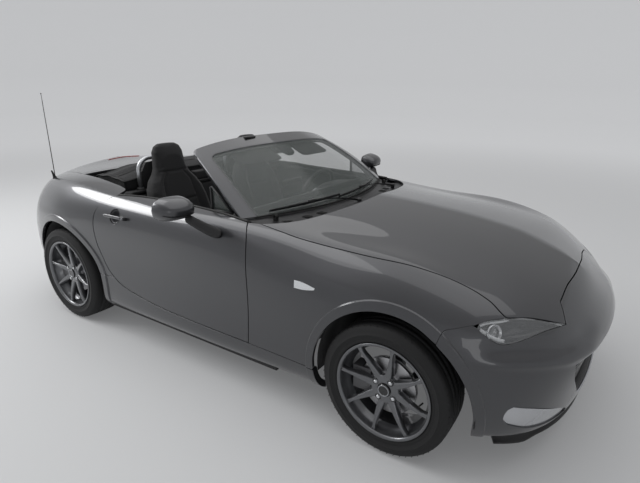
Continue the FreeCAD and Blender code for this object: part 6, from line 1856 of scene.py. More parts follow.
def dashboard():
    """The dashboard pad with its outlets, dials, screen and knobs."""
    ys = np.linspace(-0.638, 0.638, 73)
    rings = [[(x, y, z) for x, z in dash_section(y)] for y in ys]
    column = tube([(0.110, SEAT_Y, 0.700), (0.004, SEAT_Y, 0.744)], [0.040, 0.036], 20)
    obj = piece("dashboard_pad", lofted(rings), "trim_leather", stands_for=["dashboard"])
    polish(obj, levels=1)
    piece("column_shroud", column, "cabin_black")
    face = (-1.0, 0.0, 0.10)
    rims, cups = [], []
    for y in (-0.560, 0.560, 0.115):
        x = dash_section(y)[5][0]
        a, b = round_vent((x - 0.006, y, 0.778), face)
        rims.append(a)
        cups.append(b)
    piece("vent_rings", joined(*rims), "satin_metal", slot="cabin_plastic")
    piece("vent_cores", joined(*cups), "cabin_black")
    # instrument binnacle with three dials
    bezel, dials, needles, marks = [], [], [], []
    tilt = (-1.0, 0, 0.28)
    way = Vector(tilt).normalized()
    lean = np.array(way.to_track_quat("-X", "Z").to_matrix())
    for y, r in ((SEAT_Y, 0.046), (SEAT_Y + 0.096, 0.036), (SEAT_Y - 0.096, 0.036)):
        at = Vector((0.026, y, 0.782))
        bezel.append(turned_along(rounded([(r, -0.010), (r + 0.004, -0.004), (r + 0.003, 0.004),
                                           (r - 0.002, 0.004), (r - 0.003, -0.004)], 0.001), at, tilt, 48))
        dials.append(turned_along([(0.0002, -0.004), (r, -0.004), (r, -0.007), (0.0002, -0.007)],
                                  at, tilt, 40))
        tick = tube([Vector((0, 0, r * 0.80)), Vector((0, 0, r * 0.93))], 0.0008, 6)
        grown = repeated(tick, 21, turn=(13.5, 0, 0), paint="lamp_white")
        verts = (spun(grown, (0, 0, 0), math.radians(-135), "X")[0]) @ lean.T
        marks.append((verts + np.array(at - way * 0.0030), grown[1], None))
        foot = at - way * 0.002
        needles.append(tube([foot, foot + Vector((0, -r * 0.5, -r * 0.5))], 0.0009, 6))
    piece("dial_rims", joined(*bezel), "satin_metal", slot="cabin_plastic")
    piece("dial_faces", joined(*dials), "dial_face")
    piece("dial_marks", joined(*marks), "lamp_white", slot="cabin_plastic")
    piece("dial_needles", joined(*needles), "lens_red", slot="cabin_plastic")
    # centre screen, heater knobs, passenger band
    tablet = block((0.052, -0.106, 0.836), (0.066, 0.074, 0.932), 0.006)
    pane = block((0.0505, -0.100, 0.842), (0.0525, 0.068, 0.926), 0.0008)
    piece("screen_housing", tablet, "gloss_black", slot="cabin_plastic")
    piece("screen_glass_panel", pane, "screen_dark", slot="cabin_plastic")
    band = [[(dash_section(y)[3][0] + ahead, y, z) for ahead, z in
             ((-0.003, 0.716), (-0.005, 0.724), (-0.003, 0.733), (0.006, 0.724))]
            for y in np.linspace(-0.60, 0.16, 25)]
    piece("dash_strip", lofted(band), "satin_metal", slot="cabin_plastic")
    knobs, collars = [], []
    for y in (-0.070, -0.016, 0.038):
        at = (0.052, y, 0.684)
        knobs.append(turned_along(rounded([(0.0002, 0.020), (0.017, 0.020), (0.018, 0.0), (0.0002, 0.0)],
                                          0.002), at, (-1, 0, 0.15), 32))
        collars.append(turned_along(rounded([(0.0175, 0.004), (0.0215, 0.004), (0.0215, -0.004),
                                             (0.0175, -0.004)], 0.001), at, (-1, 0, 0.15), 32))
    piece("heater_knobs", joined(*knobs), "cabin_black")
    piece("heater_collars", joined(*collars), "satin_metal", slot="cabin_plastic")


def steering_wheel():
    """Three-spoke wheel set square to the tilted column line."""
    axis = np.array([-math.cos(WHEEL_TILT), 0, math.sin(WHEEL_TILT)])
    side = np.array([0, 1.0, 0])
    up = np.cross(side, axis)
    up = up if up[2] > 0 else -up

    def at(a, b, c=0.0):
        return WHEEL_CENTRE + side * a + up * b + axis * c
    radius, steps, sides = 0.170, 72, 16
    verts = []
    for k in range(steps):
        t = 2 * math.pi * k / steps
        out = side * math.cos(t) + up * math.sin(t)
        # thumb rests: the grip is fatter within 0.45 of its radius from the level line
        fat = 1 + 0.10 * (abs(math.sin(t)) < 0.45) * math.cos(math.sin(t) / 0.45 * math.pi / 2)
        verts += [WHEEL_CENTRE + out * (radius + 0.0135 * fat * u) + axis * (0.016 * fat * w)
                  for u, w in superellipse(1, 1, 2.1, sides)]
    rim = tidy((np.array(verts), net_faces(steps, sides, True), None))
    piece("wheel_grip", rim, "trim_leather", body="steering_wheel", stands_for=["steering_wheel"])
    arms, trims = [], []
    for angle, width in ((6, 0.020), (174, 0.020), (270, 0.024)):
        c, s = math.cos(math.radians(angle)), math.sin(math.radians(angle))

        def section(a, half, thick, points, lift=0.0):
            """An outline across the spoke at a share of the way to the rim."""
            r = 0.035 + (radius - 0.040) * a
            return [at(r * c - u * s, r * s + u * c, -0.018 + 0.016 * a + lift + v)
                    for u, v in superellipse(half, thick, 3.0, points)]
        arms.append(lofted([section(a, width * (1.25 - 0.55 * math.sin(math.pi * min(1, a * 1.05) * 0.8)),
                                    0.006, 14) for a in np.linspace(0, 1, 9)]))
        trims.append(lofted([section(a, width * 0.42, 0.0012, 10, 0.0066)
                             for a in np.linspace(0.15, 0.90, 8)]))
    pad = lofted([[at(u * g, v * g - 0.004, h) for u, v in superellipse(0.062, 0.056, 2.6, 40)]
                  for h, g in ((-0.040, 0.55), (-0.030, 0.96), (-0.012, 1.0), (0.000, 0.97),
                               (0.006, 0.86), (0.009, 0.6), (0.0095, 0.05))])
    boss = turned_along([(0.0002, -0.09), (0.030, -0.09), (0.032, -0.03), (0.0002, -0.03)],
                        WHEEL_CENTRE, axis, 28)
    piece("wheel_spokes", joined(*arms), "satin_black", body="steering_wheel", slot="cabin_plastic")
    piece("wheel_spoke_trims", joined(*trims), "satin_metal", body="steering_wheel",
          slot="cabin_plastic")
    polish(piece("wheel_pad", joined(pad, boss), "cabin_black", body="steering_wheel"), levels=1)


def console():
    """The tunnel console with its lid, gear lever and hand brake."""
    rings = []
    for x, half, top, low in ((-0.558, 0.092, 0.462, 0.400), (-0.520, 0.097, 0.472, 0.400),
                              (-0.300, 0.097, 0.476, 0.400), (-0.240, 0.097, 0.482, 0.400),
                              (-0.120, 0.098, 0.510, 0.400), (-0.040, 0.099, 0.545, 0.400),
                              (0.050, 0.099, 0.592, 0.400), (0.105, 0.098, 0.622, 0.402)):
        rings.append([(x, -half, low), (x, -half, top - 0.020), (x, -half + 0.006, top - 0.006),
                      (x, -half + 0.020, top), (x, 0, top + 0.003), (x, half - 0.020, top),
                      (x, half - 0.006, top - 0.006), (x, half, top - 0.020), (x, half, low)])
    piece("console_shell", lofted(rings), "cabin_black", stands_for=["centre_console"])
    lid = block((-0.545, -0.072, 0.468), (-0.345, 0.072, 0.494), 0.012, 4)
    piece("console_lid", lid, "trim_leather")
    gaiter = []
    for a in np.linspace(0, 1, 9):
        g = ((1 - a) ** 1.3 * 0.80 + 0.20) * (1 + 0.05 * math.sin(a * 22))
        gaiter.append([(-0.075 + u * g - 0.012 * a, v * g, 0.522 + 0.055 * a + 0.10 * u * (1 - a))
                       for u, v in superellipse(0.048, 0.040, 2.6, 28)])
    piece("gear_gaiter", lofted(gaiter), "trim_leather")
    knob = turned_along(rounded([(0.0002, 0.060), (0.010, 0.060), (0.019, 0.050), (0.0235, 0.034),
                                 (0.021, 0.018), (0.012, 0.004), (0.008, -0.020), (0.0002, -0.020)],
                                0.004, 3), (-0.089, 0, 0.588), (-0.15, 0, 1), 28)
    piece("gear_knob", knob, "gloss_black", slot="cabin_plastic")
    collar = turned_along(rounded([(0.009, -0.004), (0.014, -0.004), (0.013, 0.006), (0.009, 0.006)],
                                  0.001), (-0.089, 0, 0.584), (-0.15, 0, 1), 24)
    ring = looped([[(-0.075 + u * g, v * g, 0.5235 + h + 0.10 * u)
                    for u, v in superellipse(0.052, 0.044, 2.6, 36)]
                   for g, h in ((0.92, 0.0), (1.04, 0.0), (1.04, 0.004), (0.92, 0.005))])
    piece("gear_collar", joined(collar, ring), "satin_metal", slot="cabin_plastic")
    brake = tube([(-0.30, -0.060, 0.487), (-0.20, -0.060, 0.500), (-0.125, -0.060, 0.524)],
                 [0.012, 0.0135, 0.0125], 16)
    tip = tube([(-0.126, -0.060, 0.5236), (-0.116, -0.060, 0.528)], [0.0085, 0.007], 12)
    piece("hand_brake", joined(brake), "trim_leather")
    piece("hand_brake_button", tip, "satin_metal", slot="cabin_plastic")


def carpets():
    """Carpet on the cabin floor, and the mats."""
    left = block((-0.730, 0.114, 0.1855), (0.505, 0.745, 0.1905), 0.002, 1)
    ramp = prism([(0.514, 0.114, 0.188), (0.514, 0.640, 0.188), (0.514, 0.640, 0.600),
                  (0.514, 0.114, 0.600)], (-0.006, 0, 0))
    tunnel = block((-0.730, -0.1135, 0.186), (0.512, 0.1135, 0.4035), 0.010)
    piece("cabin_carpet", joined(left, mirrored(left), ramp, mirrored(ramp), tunnel), "carpet")
    mats = block((-0.02, 0.17, 0.1900), (0.42, 0.60, 0.1955), 0.0025, 2)
    piece("floor_mats", pair(mats), "carpet")
    pedal = [block((0.395, y - w, 0.300), (0.403, y + w, 0.300 + h), 0.003, 2)
             for y, w, h in ((0.265, 0.022, 0.115), (0.365, 0.030, 0.065), (0.455, 0.030, 0.065))]
    arms = [tube([(0.402, y, 0.335), (0.450, y, 0.420), (0.500, y, 0.560)], 0.006, 8)
            for y in (0.265, 0.365, 0.455)]
    piece("pedals", joined(*pedal, *arms), "satin_metal", slot="cabin_plastic")
    wall = block((-0.7345, -0.700, 0.1905), (-0.7285, 0.700, 0.806), 0.002, 1)
    piece("rear_wall_carpet", wall, "carpet")


def door_cards():
    """Inner door trims: a card that follows the door, armrest, pull, speaker, opener."""
    ring = outline(PANELS["door"][:4], (0.010, 0.004, 0.012, 0.012))
    card = shell([ring], 0.004, 0.006, sink=0.0306)
    uv = place_many("S", [[-0.42, 0.640], [-0.30, 0.645], [-0.15, 0.650], [0.00, 0.655], [0.12, 0.655],
                          [0.22, 0.650]])
    p, n = skin(uv), across(skin, uv)
    rows = []
    for i in range(len(uv)):
        a = i / (len(uv) - 1)
        deep = 0.048 - 0.020 * abs(2 * a - 1) ** 2
        q = p[i] - n[i] * 0.036
        rows.append([q + [0, 0, 0.020], q + [0, -deep * 0.8, 0.020], q + [0, -deep, 0.010],
                     q + [0, -deep, -0.016], q + [0, -deep * 0.7, -0.032], q + [0, 0, -0.040]])
    arm = lofted(rows)
    pull = tube([p[4] - n[4] * 0.080 + [0.02, 0, 0.018], p[4] - n[4] * 0.100 + [-0.01, 0, 0.034],
                 p[3] - n[3] * 0.100 + [0.02, 0, 0.034], p[3] - n[3] * 0.080 + [-0.01, 0, 0.018]],
                0.007, 12)
    at_uv = place_many("S", [[0.275, 0.405]])
    q, m = skin(at_uv)[0], across(skin, at_uv)[0]
    face = q - m * 0.0370
    surround = turned_along(rounded([(0.070, 0.0), (0.080, 0.0), (0.079, 0.006), (0.071, 0.0075)], 0.0015),
                            face, -m, 48)
    cone = turned_along([(0.0002, 0.0035), (0.070, 0.001), (0.070, -0.001), (0.0002, 0.0)], face, -m, 40)
    hole = turned_along([(0.0002, 0.0), (0.0016, 0.0), (0.0016, 0.0007), (0.0002, 0.0009)],
                        (0, 0, 0), (0, 0, 1), 6)
    dots = []
    for k in range(1, 9):
        dots.append(repeated(shift(hole, (k * 0.0078, 0, 0)), 6 * k, turn=(0, 0, 60 / k)))
    dots = joined(*dots)
    rot = np.array(Vector(-m).to_track_quat("Z", "Y").to_matrix())
    speaker = (dots[0] @ rot.T + face - m * 0.0022, dots[1], None)
    lever_uv = place_many("S", [[0.150, 0.745]])
    at = skin(lever_uv)[0] - across(skin, lever_uv)[0] * 0.042
    lever = shift(block((-0.035, -0.006, -0.010), (0.035, 0.004, 0.010), 0.004), at)
    for side, put in SIDES:
        body = side + "_door"
        piece(side + "_door_card", put(card), "cabin_black", body=body)
        polish(piece(side + "_armrest", put(arm), "trim_leather", body=body), levels=1)
        piece(side + "_door_pull", put(pull), "satin_metal", body=body, slot="cabin_plastic")
        piece(side + "_speaker", put(joined(surround, cone)), "cabin_black", body=body)
        piece(side + "_speaker_holes", put(tidy(speaker)), "satin_black", body=body,
              slot="cabin_plastic")
        piece(side + "_door_lever", put(lever), "satin_metal", body=body, slot="cabin_plastic")


def header_fittings():
    """Interior mirror, sensor housing, sun visors, header latch bump."""
    head = screen(0, 0.88)
    n = across(screen_skin, np.array([[0, 0.88 * PER_T]]))[0]
    stem = tube([head - n * 0.034, head - n * 0.055 + [-0.02, 0, -0.012], (-0.052, 0, 1.118)],
                [0.014, 0.010, 0.009], 14)
    oval = superellipse(0.111, 0.031, 3.2, 48)
    case = lofted([[(x, u * g, 1.111 + v * g) for u, v in oval] for x, g in
                   ((-0.040, 0.80), (-0.044, 0.97), (-0.054, 1.0), (-0.062, 0.96), (-0.065, 0.90))])
    pane = lofted([[(x, u * 0.90, 1.111 + v * 0.86) for u, v in oval] for x in (-0.0645, -0.0658)])
    box_rows = []
    for t, g in ((0.70, 0.55), (0.74, 0.85), (0.80, 1.0), (0.86, 1.0), (0.90, 0.9)):
        c = screen(0, t)
        m = across(screen_skin, np.array([[0, t * PER_T]]))[0]
        box_rows.append([c - m * (0.012 + 0.016 * (1 + v)) + np.array([0, u * g, 0]) for u, v in
                         superellipse(0.052, 0.9, 3.0, 28)])
    housing = lofted(box_rows)
    piece("interior_mirror_body", joined(stem, case), "satin_black",
          stands_for=["interior_mirror"])
    piece("interior_mirror_pane", pane, "mirror_silver", slot="black_trim")
    polish(piece("sensor_housing", housing, "satin_black"), levels=1)
    visors = []
    for side in (1, -1):
        rows = []
        for t in np.linspace(0.66, 0.87, 6):
            s = np.linspace(0.16, 0.68, 9) * side
            p = screen(s, np.full(9, t))
            m = across(screen_skin, np.stack([s * PER_S, np.full(9, t * PER_T)], 1))
            bulge = 0.006 * math.sin(math.pi * (t - 0.66) / 0.21)
            rows.append(np.concatenate([p - m * (0.030 - bulge * 0.5), (p - m * (0.040 + bulge))[::-1]]))
        visors.append(lofted(rows))
    polish(piece("sun_visors", joined(*visors), "cabin_black"), levels=1)
    top = screen(np.array([-0.33]), np.array([0.985]))[0]
    bump = block(top + [-0.022, -0.040, -0.006], top + [0.016, 0.040, 0.006], 0.005, 3)
    piece("header_latch_cover", bump, "satin_black")


dashboard()
steering_wheel()
console()
carpets()
door_cards()
header_fittings()


# ------------------------------------------------------------------ seats
BACK_ROWS = (          # height, front x, rear x, half width, bolster
    (0.430, -0.476, -0.634, 0.170, 0.010), (0.470, -0.484, -0.650, 0.186, 0.030),
    (0.540, -0.508, -0.668, 0.194, 0.050), (0.620, -0.534, -0.682, 0.198, 0.058),
    (0.700, -0.560, -0.692, 0.198, 0.054), (0.780, -0.584, -0.700, 0.196, 0.044),
    (0.850, -0.604, -0.704, 0.190, 0.030), (0.905, -0.618, -0.708, 0.172, 0.014),
    (0.945, -0.628, -0.712, 0.140, 0.004), (0.985, -0.634, -0.715, 0.121, 0.0),
    (1.035, -0.640, -0.718, 0.113, 0.0), (1.085, -0.646, -0.717, 0.104, 0.0),
    (1.118, -0.655, -0.711, 0.086, 0.0), (1.134, -0.668, -0.703, 0.058, 0.0))
CUSHION_ROWS = (       # x, crown z, floor z, half width, bolster
    (-0.540, 0.414, 0.330, 0.175, 0.004), (-0.500, 0.420, 0.318, 0.196, 0.020),
    (-0.420, 0.424, 0.305, 0.206, 0.032), (-0.320, 0.430, 0.300, 0.210, 0.036),
    (-0.220, 0.438, 0.300, 0.210, 0.032), (-0.140, 0.444, 0.305, 0.206, 0.022),
    (-0.090, 0.440, 0.320, 0.198, 0.010), (-0.062, 0.424, 0.340, 0.180, 0.0),
    (-0.052, 0.404, 0.360, 0.150, 0.0))


def pad_rows(rows, back):
    """A seat pad's body, lofted from its table of sections."""
    rings = []
    for a, front, rear, half, bolster in rows:
        middle, reach = (front + rear) / 2, abs(front - rear) / 2
        ring = []
        for u, w in superellipse(1, 1, 3.6 if back else 3.2, 44):
            rise = bolster * smooth(abs(u), 0.52, 0.90) if w > 0 else 0
            out = middle + reach * w + rise * min(1.0, abs(w) * 1.6)
            y = SEAT_Y + half * u
            ring.append((out, y, a) if back else (a, y, out))
        rings.append(ring)
    return lofted(rings)


PAD_VOXEL, SWELL_FRAMES, SWELL_CAP = 0.0062, 16, 0.012
PAD_CLOTH = {"quality": 4, "mass": 0.3, "use_pressure": True, "uniform_pressure_force": 4.0,
             "tension_stiffness": 18.0, "compression_stiffness": 18.0, "shear_stiffness": 8.0,
             "bending_stiffness": 0.6}


def stuffed(name, part):
    """A pad swelled by a cloth simulation, returned as a plain object."""
    obj = linked(name, bare_mesh(name, part))
    apply(obj, "REMESH", mode="VOXEL", voxel_size=PAD_VOXEL, use_smooth_shade=True)
    start = np.array([v.co[:] for v in obj.data.vertices])
    mod = obj.modifiers.new("cloth", "CLOTH")
    for key, value in PAD_CLOTH.items():
        setattr(mod.settings, key, value)
    mod.settings.effector_weights.gravity = 0.0
    mod.point_cache.frame_start, mod.point_cache.frame_end = 1, SWELL_FRAMES
    for step in range(1, SWELL_FRAMES + 1):
        bpy.context.scene.frame_set(step)
    held = obj.evaluated_get(bpy.context.evaluated_depsgraph_get())
    end = np.array([v.co[:] for v in held.to_mesh().vertices])
    held.to_mesh_clear()
    obj.modifiers.remove(mod)
    bpy.context.scene.frame_set(1)
    move = end - start
    far = np.linalg.norm(move, axis=1, keepdims=True)
    start = start + move * np.minimum(1.0, SWELL_CAP / np.maximum(far, 1e-9))
    obj.data.vertices.foreach_set("co", start.ravel())
    obj.data.shade_smooth()
    obj.data.update()
    return obj


def apply(obj, kind, **settings):
    """Adds a modifier and makes its result the object's own mesh."""
    mod = obj.modifiers.new("step", kind)
    for key, value in settings.items():
        setattr(mod, key, value)
    graph = bpy.context.evaluated_depsgraph_get()
    made = bpy.data.meshes.new_from_object(obj.evaluated_get(graph))
    obj.modifiers.clear()
    obj.data = made


def divided(run, steps):
    """A run of places with each stretch cut into steps."""
    pts = np.array(run, float)
    return np.concatenate([a + (b - a) * np.linspace(0, 1, steps, endpoint=False)[:, None]
                           for a, b in zip(pts, pts[1:])] + [pts[-1:]])


def pressed(obj, runs, depth, width):
    """Sewn channels: points near each run of places are drawn in along their normals."""
    mesh = obj.data
    co = np.array([v.co[:] for v in mesh.vertices])
    nn = np.array([v.normal[:] for v in mesh.vertices])
    sink = np.zeros(len(co))
    for run in runs:
        fine = divided(run, 12)
        d = np.min(np.linalg.norm(co[:, None, :] - fine[None, :, :], axis=2), axis=1)
        sink = np.maximum(sink, np.exp(-(d / width) ** 2))
    co = co - nn * (sink * depth)[:, None]
    mesh.vertices.foreach_set("co", co.ravel())
    mesh.update()


def on_surface(obj, points, direction):
    """Each point thrown onto an object along a direction, with the normal there."""
    out = []
    for p in points:
        hit, at, normal, _ = obj.ray_cast(Vector(p) - Vector(direction) * 0.3, Vector(direction))
        if hit:
            out.append((np.array(at), np.array(normal)))
    return out


STITCH_PITCH, STITCH_HALF, STITCH_LIFT, LONGEST_STITCH = 0.009, 0.0007, 0.0006, 0.02
BOX_FACES = [(0, 3, 2, 1), (4, 5, 6, 7), (0, 1, 5, 4), (1, 2, 6, 5), (2, 3, 7, 6), (3, 0, 4, 7)]


def stitched(obj, runs, direction):
    """A line of short stitches along each run."""
    parts = []
    for run in runs:
        pts = np.array(run, float)
        at = np.concatenate([[0], np.cumsum(np.linalg.norm(np.diff(pts, axis=0), axis=1))])
        stops = np.linspace(0, at[-1], int(at[-1] / STITCH_PITCH))
        line = np.stack([np.interp(stops, at, pts[:, k]) for k in range(3)], 1)
        hits = on_surface(obj, line, direction)
        for (a, n), (b, _) in zip(hits, hits[1:]):
            run_on = b - a
            if np.linalg.norm(run_on) > LONGEST_STITCH:
                continue
            p, q = (a + run_on * share + n * STITCH_LIFT for share in (0.15, 0.72))
            side = np.cross(run_on, n)
            w = side / max(np.linalg.norm(side), 1e-9) * STITCH_HALF
            foot = np.array([p - w, p + w, q + w, q - w])
            parts.append((np.concatenate([foot, foot + n * STITCH_HALF]), BOX_FACES, None))
    return joined(*parts)


CHANNEL_DEPTH, CHANNEL_WIDTH, STITCH_ASIDE = 0.0065, 0.0075, 0.006


def seam_runs():
    """Sewn lines of the back and of the cushion, as runs of places near their faces."""
    y0 = SEAT_Y
    back = [[(-0.490, y0 + s * 0.118, 0.46), (-0.540, y0 + s * 0.116, 0.62),
             (-0.590, y0 + s * 0.112, 0.78), (-0.628, y0 + s * 0.098, 0.90),
             (-0.650, y0 + s * 0.060, 0.955)] for s in (-1, 1)]
    back += [[(-0.50 - 0.06 * k, y0 - 0.112, 0.52 + 0.13 * k), (-0.508 - 0.06 * k, y0, 0.515 + 0.13 * k),
              (-0.50 - 0.06 * k, y0 + 0.112, 0.52 + 0.13 * k)] for k in range(3)]
    back += [[(-0.640, y0 - 0.10, 0.962), (-0.645, y0, 0.958), (-0.640, y0 + 0.10, 0.962)]]
    cushion = [[(-0.50, y0 + s * 0.125, 0.43), (-0.30, y0 + s * 0.128, 0.445),
                (-0.12, y0 + s * 0.122, 0.452)] for s in (-1, 1)]
    cushion += [[(x, y0 - 0.122, 0.445), (x, y0, 0.437), (x, y0 + 0.122, 0.445)]
                for x in (-0.40, -0.27, -0.15)]
    return back, cushion


def seat_pads():
    """Backs and cushions: swelled, drawn in along their seams, stitched and covered."""
    pads = []
    for label, rows in (("back", BACK_ROWS), ("cushion", CUSHION_ROWS)):
        pads.append(stuffed(f"seat_{label}_pad", pad_rows(rows, label == "back")))
    ways = ((-1, 0, 0), (0, 0, -1))
    for obj, runs, way in zip(pads, seam_runs(), ways):
        lifted = [[a for a, _ in on_surface(obj, divided(run, 10), way)] for run in runs]
        pressed(obj, lifted, CHANNEL_DEPTH, CHANNEL_WIDTH)
    for obj, runs, way, label in zip(pads, seam_runs(), ways, ("back", "cushion")):
        aside = [[(x, y + (-STITCH_ASIDE if i % 2 else STITCH_ASIDE), z) for x, y, z in run]
                 for i, run in enumerate(runs)]
        threads = stitched(obj, aside, way)
        for side, put in SIDES:
            mesh = obj.data.copy()
            if side == "right":
                co = np.array([v.co[:] for v in mesh.vertices]) * [1, -1, 1]
                mesh.vertices.foreach_set("co", co.ravel())
                mesh.flip_normals()
            pad = linked(f"{side}_seat_{label}", mesh)
            mesh.materials.clear()
            mesh.materials.append(PAINTS["seat_cloth"])
            polish(pad, levels=1)
            enrol(pad, "seat_cloth", stands_for=[f"seat_{label}s"])
            piece(f"{side}_seat_{label}_stitches", put(threads), "thread_grey")
        bpy.data.objects.remove(obj)


def seat_frames():
    """Bases and side covers of the seats, and the belt buckles."""
    base = [[(x, SEAT_Y - w, z0), (x, SEAT_Y + w, z0), (x, SEAT_Y + w, z1), (x, SEAT_Y - w, z1)]
            for x, w, z0, z1 in ((-0.560, 0.180, 0.192, 0.33), (-0.530, 0.205, 0.190, 0.345),
                                 (-0.160, 0.208, 0.190, 0.345), (-0.110, 0.180, 0.192, 0.33))]
    cover_y = SEAT_Y + 0.212
    outer_cover = prism([(x, cover_y, z) for x, z in
                         ((-0.60, 0.30), (-0.20, 0.27), (-0.12, 0.33), (-0.30, 0.375), (-0.52, 0.43),
                          (-0.62, 0.42))], (0, 0.012, 0), 0.004)
    inner_cover = shift(outer_cover, (0, -0.436, 0))
    lever = tube([(-0.53, SEAT_Y + 0.226, 0.36), (-0.46, SEAT_Y + 0.230, 0.372),
                  (-0.40, SEAT_Y + 0.226, 0.37)], [0.009, 0.010, 0.008], 12)
    piece("seat_frames", pair(joined(lofted(base), outer_cover, inner_cover, lever)), "cabin_black")
    buckle = block((-0.520, 0.128, 0.40), (-0.488, 0.142, 0.500), 0.004)
    button = block((-0.513, 0.130, 0.4995), (-0.495, 0.140, 0.5035), 0.001)
    piece("belt_buckles", pair(buckle), "satin_black", slot="cabin_plastic")
    piece("belt_buttons", pair(button), "lens_red", slot="cabin_plastic")


# ------------------------------------------------------------------ hood, hoops, well
HOOD_FRONT, HOOD_REAR, HOOD_HALF, HOOD_FLOOR = -0.812, -1.180, 0.585, 0.834


def hood_height(x, y):
    """Top of the folded hood's canvas."""
    a = np.clip((HOOD_FRONT - x) / (HOOD_FRONT - HOOD_REAR), 0, 1)
    crown = 0.917 + 0.048 * np.sin(math.pi * np.clip(a * 0.92 + 0.10, 0, 1)) ** 0.8
    crown = crown - 0.030 * smooth(a, 0.82, 1.0)
    side = 1 - 0.34 * smooth(np.abs(y), 0.36, 0.59)
    fold = 0.0035 * np.sin(a * 19) * np.exp(-((a - 0.45) / 0.32) ** 2) * smooth(np.abs(y), 0.05, 0.5)
    return 0.845 + (crown - 0.845) * side + fold


def hood_narrowing(x):
    """How far the folded hood draws in towards its rear edge."""
    return 1 - 0.05 * smooth(-x, 1.05, 1.18)


def soft_top():
    """The folded hood: its canvas as one sheet, the folds below it, and its piping."""
    xs = np.linspace(-0.806, -1.176, 34)
    ys = np.linspace(-HOOD_HALF, HOOD_HALF, 61)
    gx, gy = np.meshgrid(xs, ys, indexing="ij")
    top = np.stack([gx, gy * hood_narrowing(gx), hood_height(gx, gy)], 2)
    n, m = len(xs), len(ys)
    faces = [(i * m + j, i * m + j + 1, (i + 1) * m + j + 1, (i + 1) * m + j)
             for i in range(n - 1) for j in range(m - 1)]
    mesh = bare_mesh("hood_canvas", (top.reshape(-1, 3), faces))
    mesh.shade_smooth()
    canvas = linked("hood_canvas", mesh)
    mod = canvas.modifiers.new("thickness", "SOLIDIFY")
    mod.thickness, mod.offset = 0.0022, -1.0
    mesh.materials.append(PAINTS["hood_canvas"])
    enrol(canvas, "hood_canvas", stands_for=["soft_top"])
    edge = ([(xs[0], y) for y in ys] + [(x, ys[-1]) for x in xs[1:]]
            + [(xs[-1], y) for y in ys[::-1][1:]] + [(x, ys[0]) for x in xs[::-1][1:-1]])
    skirt = []                  # places round the canvas's edge, and 12 mm inwards from each
    for x, y in edge:
        way = np.array([x + 0.99, y * 0.5])
        way = way / np.linalg.norm(way) * 0.012
        skirt.append((np.array([x, y * hood_narrowing(x), hood_height(x, y)]),
                      np.array([-way[0], -way[1], 0])))
    # (share of the step inwards, drop below the canvas), then down to the well and back up
    rows = [[p + s * a - [0, 0, d] for p, s in skirt] for a, d in ((0.05, 0.0024), (0.10, 0.014))]
    rows.append([np.array([p[0], p[1], max(HOOD_FLOOR, p[2] - 0.050)]) + s * 0.7 for p, s in skirt])
    rows += [[np.array([p[0], p[1], HOOD_FLOOR]) + s * a for p, s in skirt] for a in (1.0, 1.3)]
    rows += [[p + s * a - [0, 0, d] for p, s in skirt] for a, d in ((0.5, 0.016), (0.20, 0.0026))]
    piece("hood_folds", looped(rows), "hood_canvas")
    cords = [tube([p - [0, 0, 0.004] for p, _ in skirt], 0.0042, 8, closed=True, caps=False)]
    for x in (-0.905, -1.060):
        cords.append(tube([(x, y, hood_height(x, y) + 0.0008) for y in np.linspace(-0.56, 0.56, 41)],
                          0.0022, 6))
    piping = piece("hood_piping", joined(*cords), "rubber_black", slot="hood_cloth")


HOOP_X, HOOP_HALF, HOOP_BEND = -0.775, 0.150, 0.080


def hoops():
    """Bars behind the seats with their feet and panels, the shelf between them, belt webbing."""
    foot_y = SEAT_Y - HOOP_HALF
    half = [(HOOP_X, foot_y, 0.835), (HOOP_X, foot_y, 0.940)]
    for k in range(1, 9):
        t = math.radians(90 * k / 8)
        half.append((HOOP_X, foot_y + HOOP_BEND * (1 - math.cos(t)), 0.956 + HOOP_BEND * math.sin(t)))
    half.append((HOOP_X, SEAT_Y, 1.036))
    whole = half + [(x, 2 * SEAT_Y - y, z) for x, y, z in half[::-1][1:]]
    bar = tube(whole, 0.0135, 20)
    foot = [turned_along(rounded([(0.0002, -0.012), (0.026, -0.012), (0.026, 0.006), (0.016, 0.016),
                                  (0.0002, 0.018)], 0.003), (HOOP_X, y, 0.842), (0, 0, 1), 28)
            for y in (SEAT_Y - HOOP_HALF, SEAT_Y + HOOP_HALF)]
    piece("hoop_bars", pair(bar), "hoop_silver", stands_for=["roll_hoops"])
    piece("hoop_feet", pair(joined(*foot)), "cabin_black")
    infill = prism([(-0.7715, SEAT_Y + y, z) for y, z in
                    ((-0.135, 0.845), (0.135, 0.845), (0.134, 0.950), (0.100, 1.005), (0, 1.020),
                     (-0.100, 1.005), (-0.134, 0.950))], (-0.006, 0, 0), 0.0015)
    stud = block((-0.0042, -0.0035, -0.0035), (0.0042, 0.0035, 0.0035), 0.001, 1)
    dots = joined(*[repeated(stud, 18, start=(-0.7745, SEAT_Y - 0.106, 0.865 + 0.014 * k),
                             step=(0, 0.0125, 0)) for k in range(9)])
    piece("hoop_panels", pair(infill), "cabin_black")
    piece("hoop_panel_mesh", pair(dots), "satin_black", slot="cabin_plastic")
    shelf = block((-0.800, -0.700, 0.822), (-0.742, 0.700, 0.842), 0.006)
    tower = block((-0.800, -0.105, 0.842), (-0.745, 0.105, 0.905), 0.014, 4)
    piece("shelf_trim", joined(shelf, tower), "cabin_black")
    guide = joined(block((-0.748, 0.585, 0.700), (-0.722, 0.640, 0.838), 0.010),
                   block((-0.742, 0.592, 0.30), (-0.738, 0.638, 0.70), 0.0010, 1))
    piece("belt_webbing", pair(guide), "belt_black")


seat_pads()
seat_frames()
soft_top()
hoops()


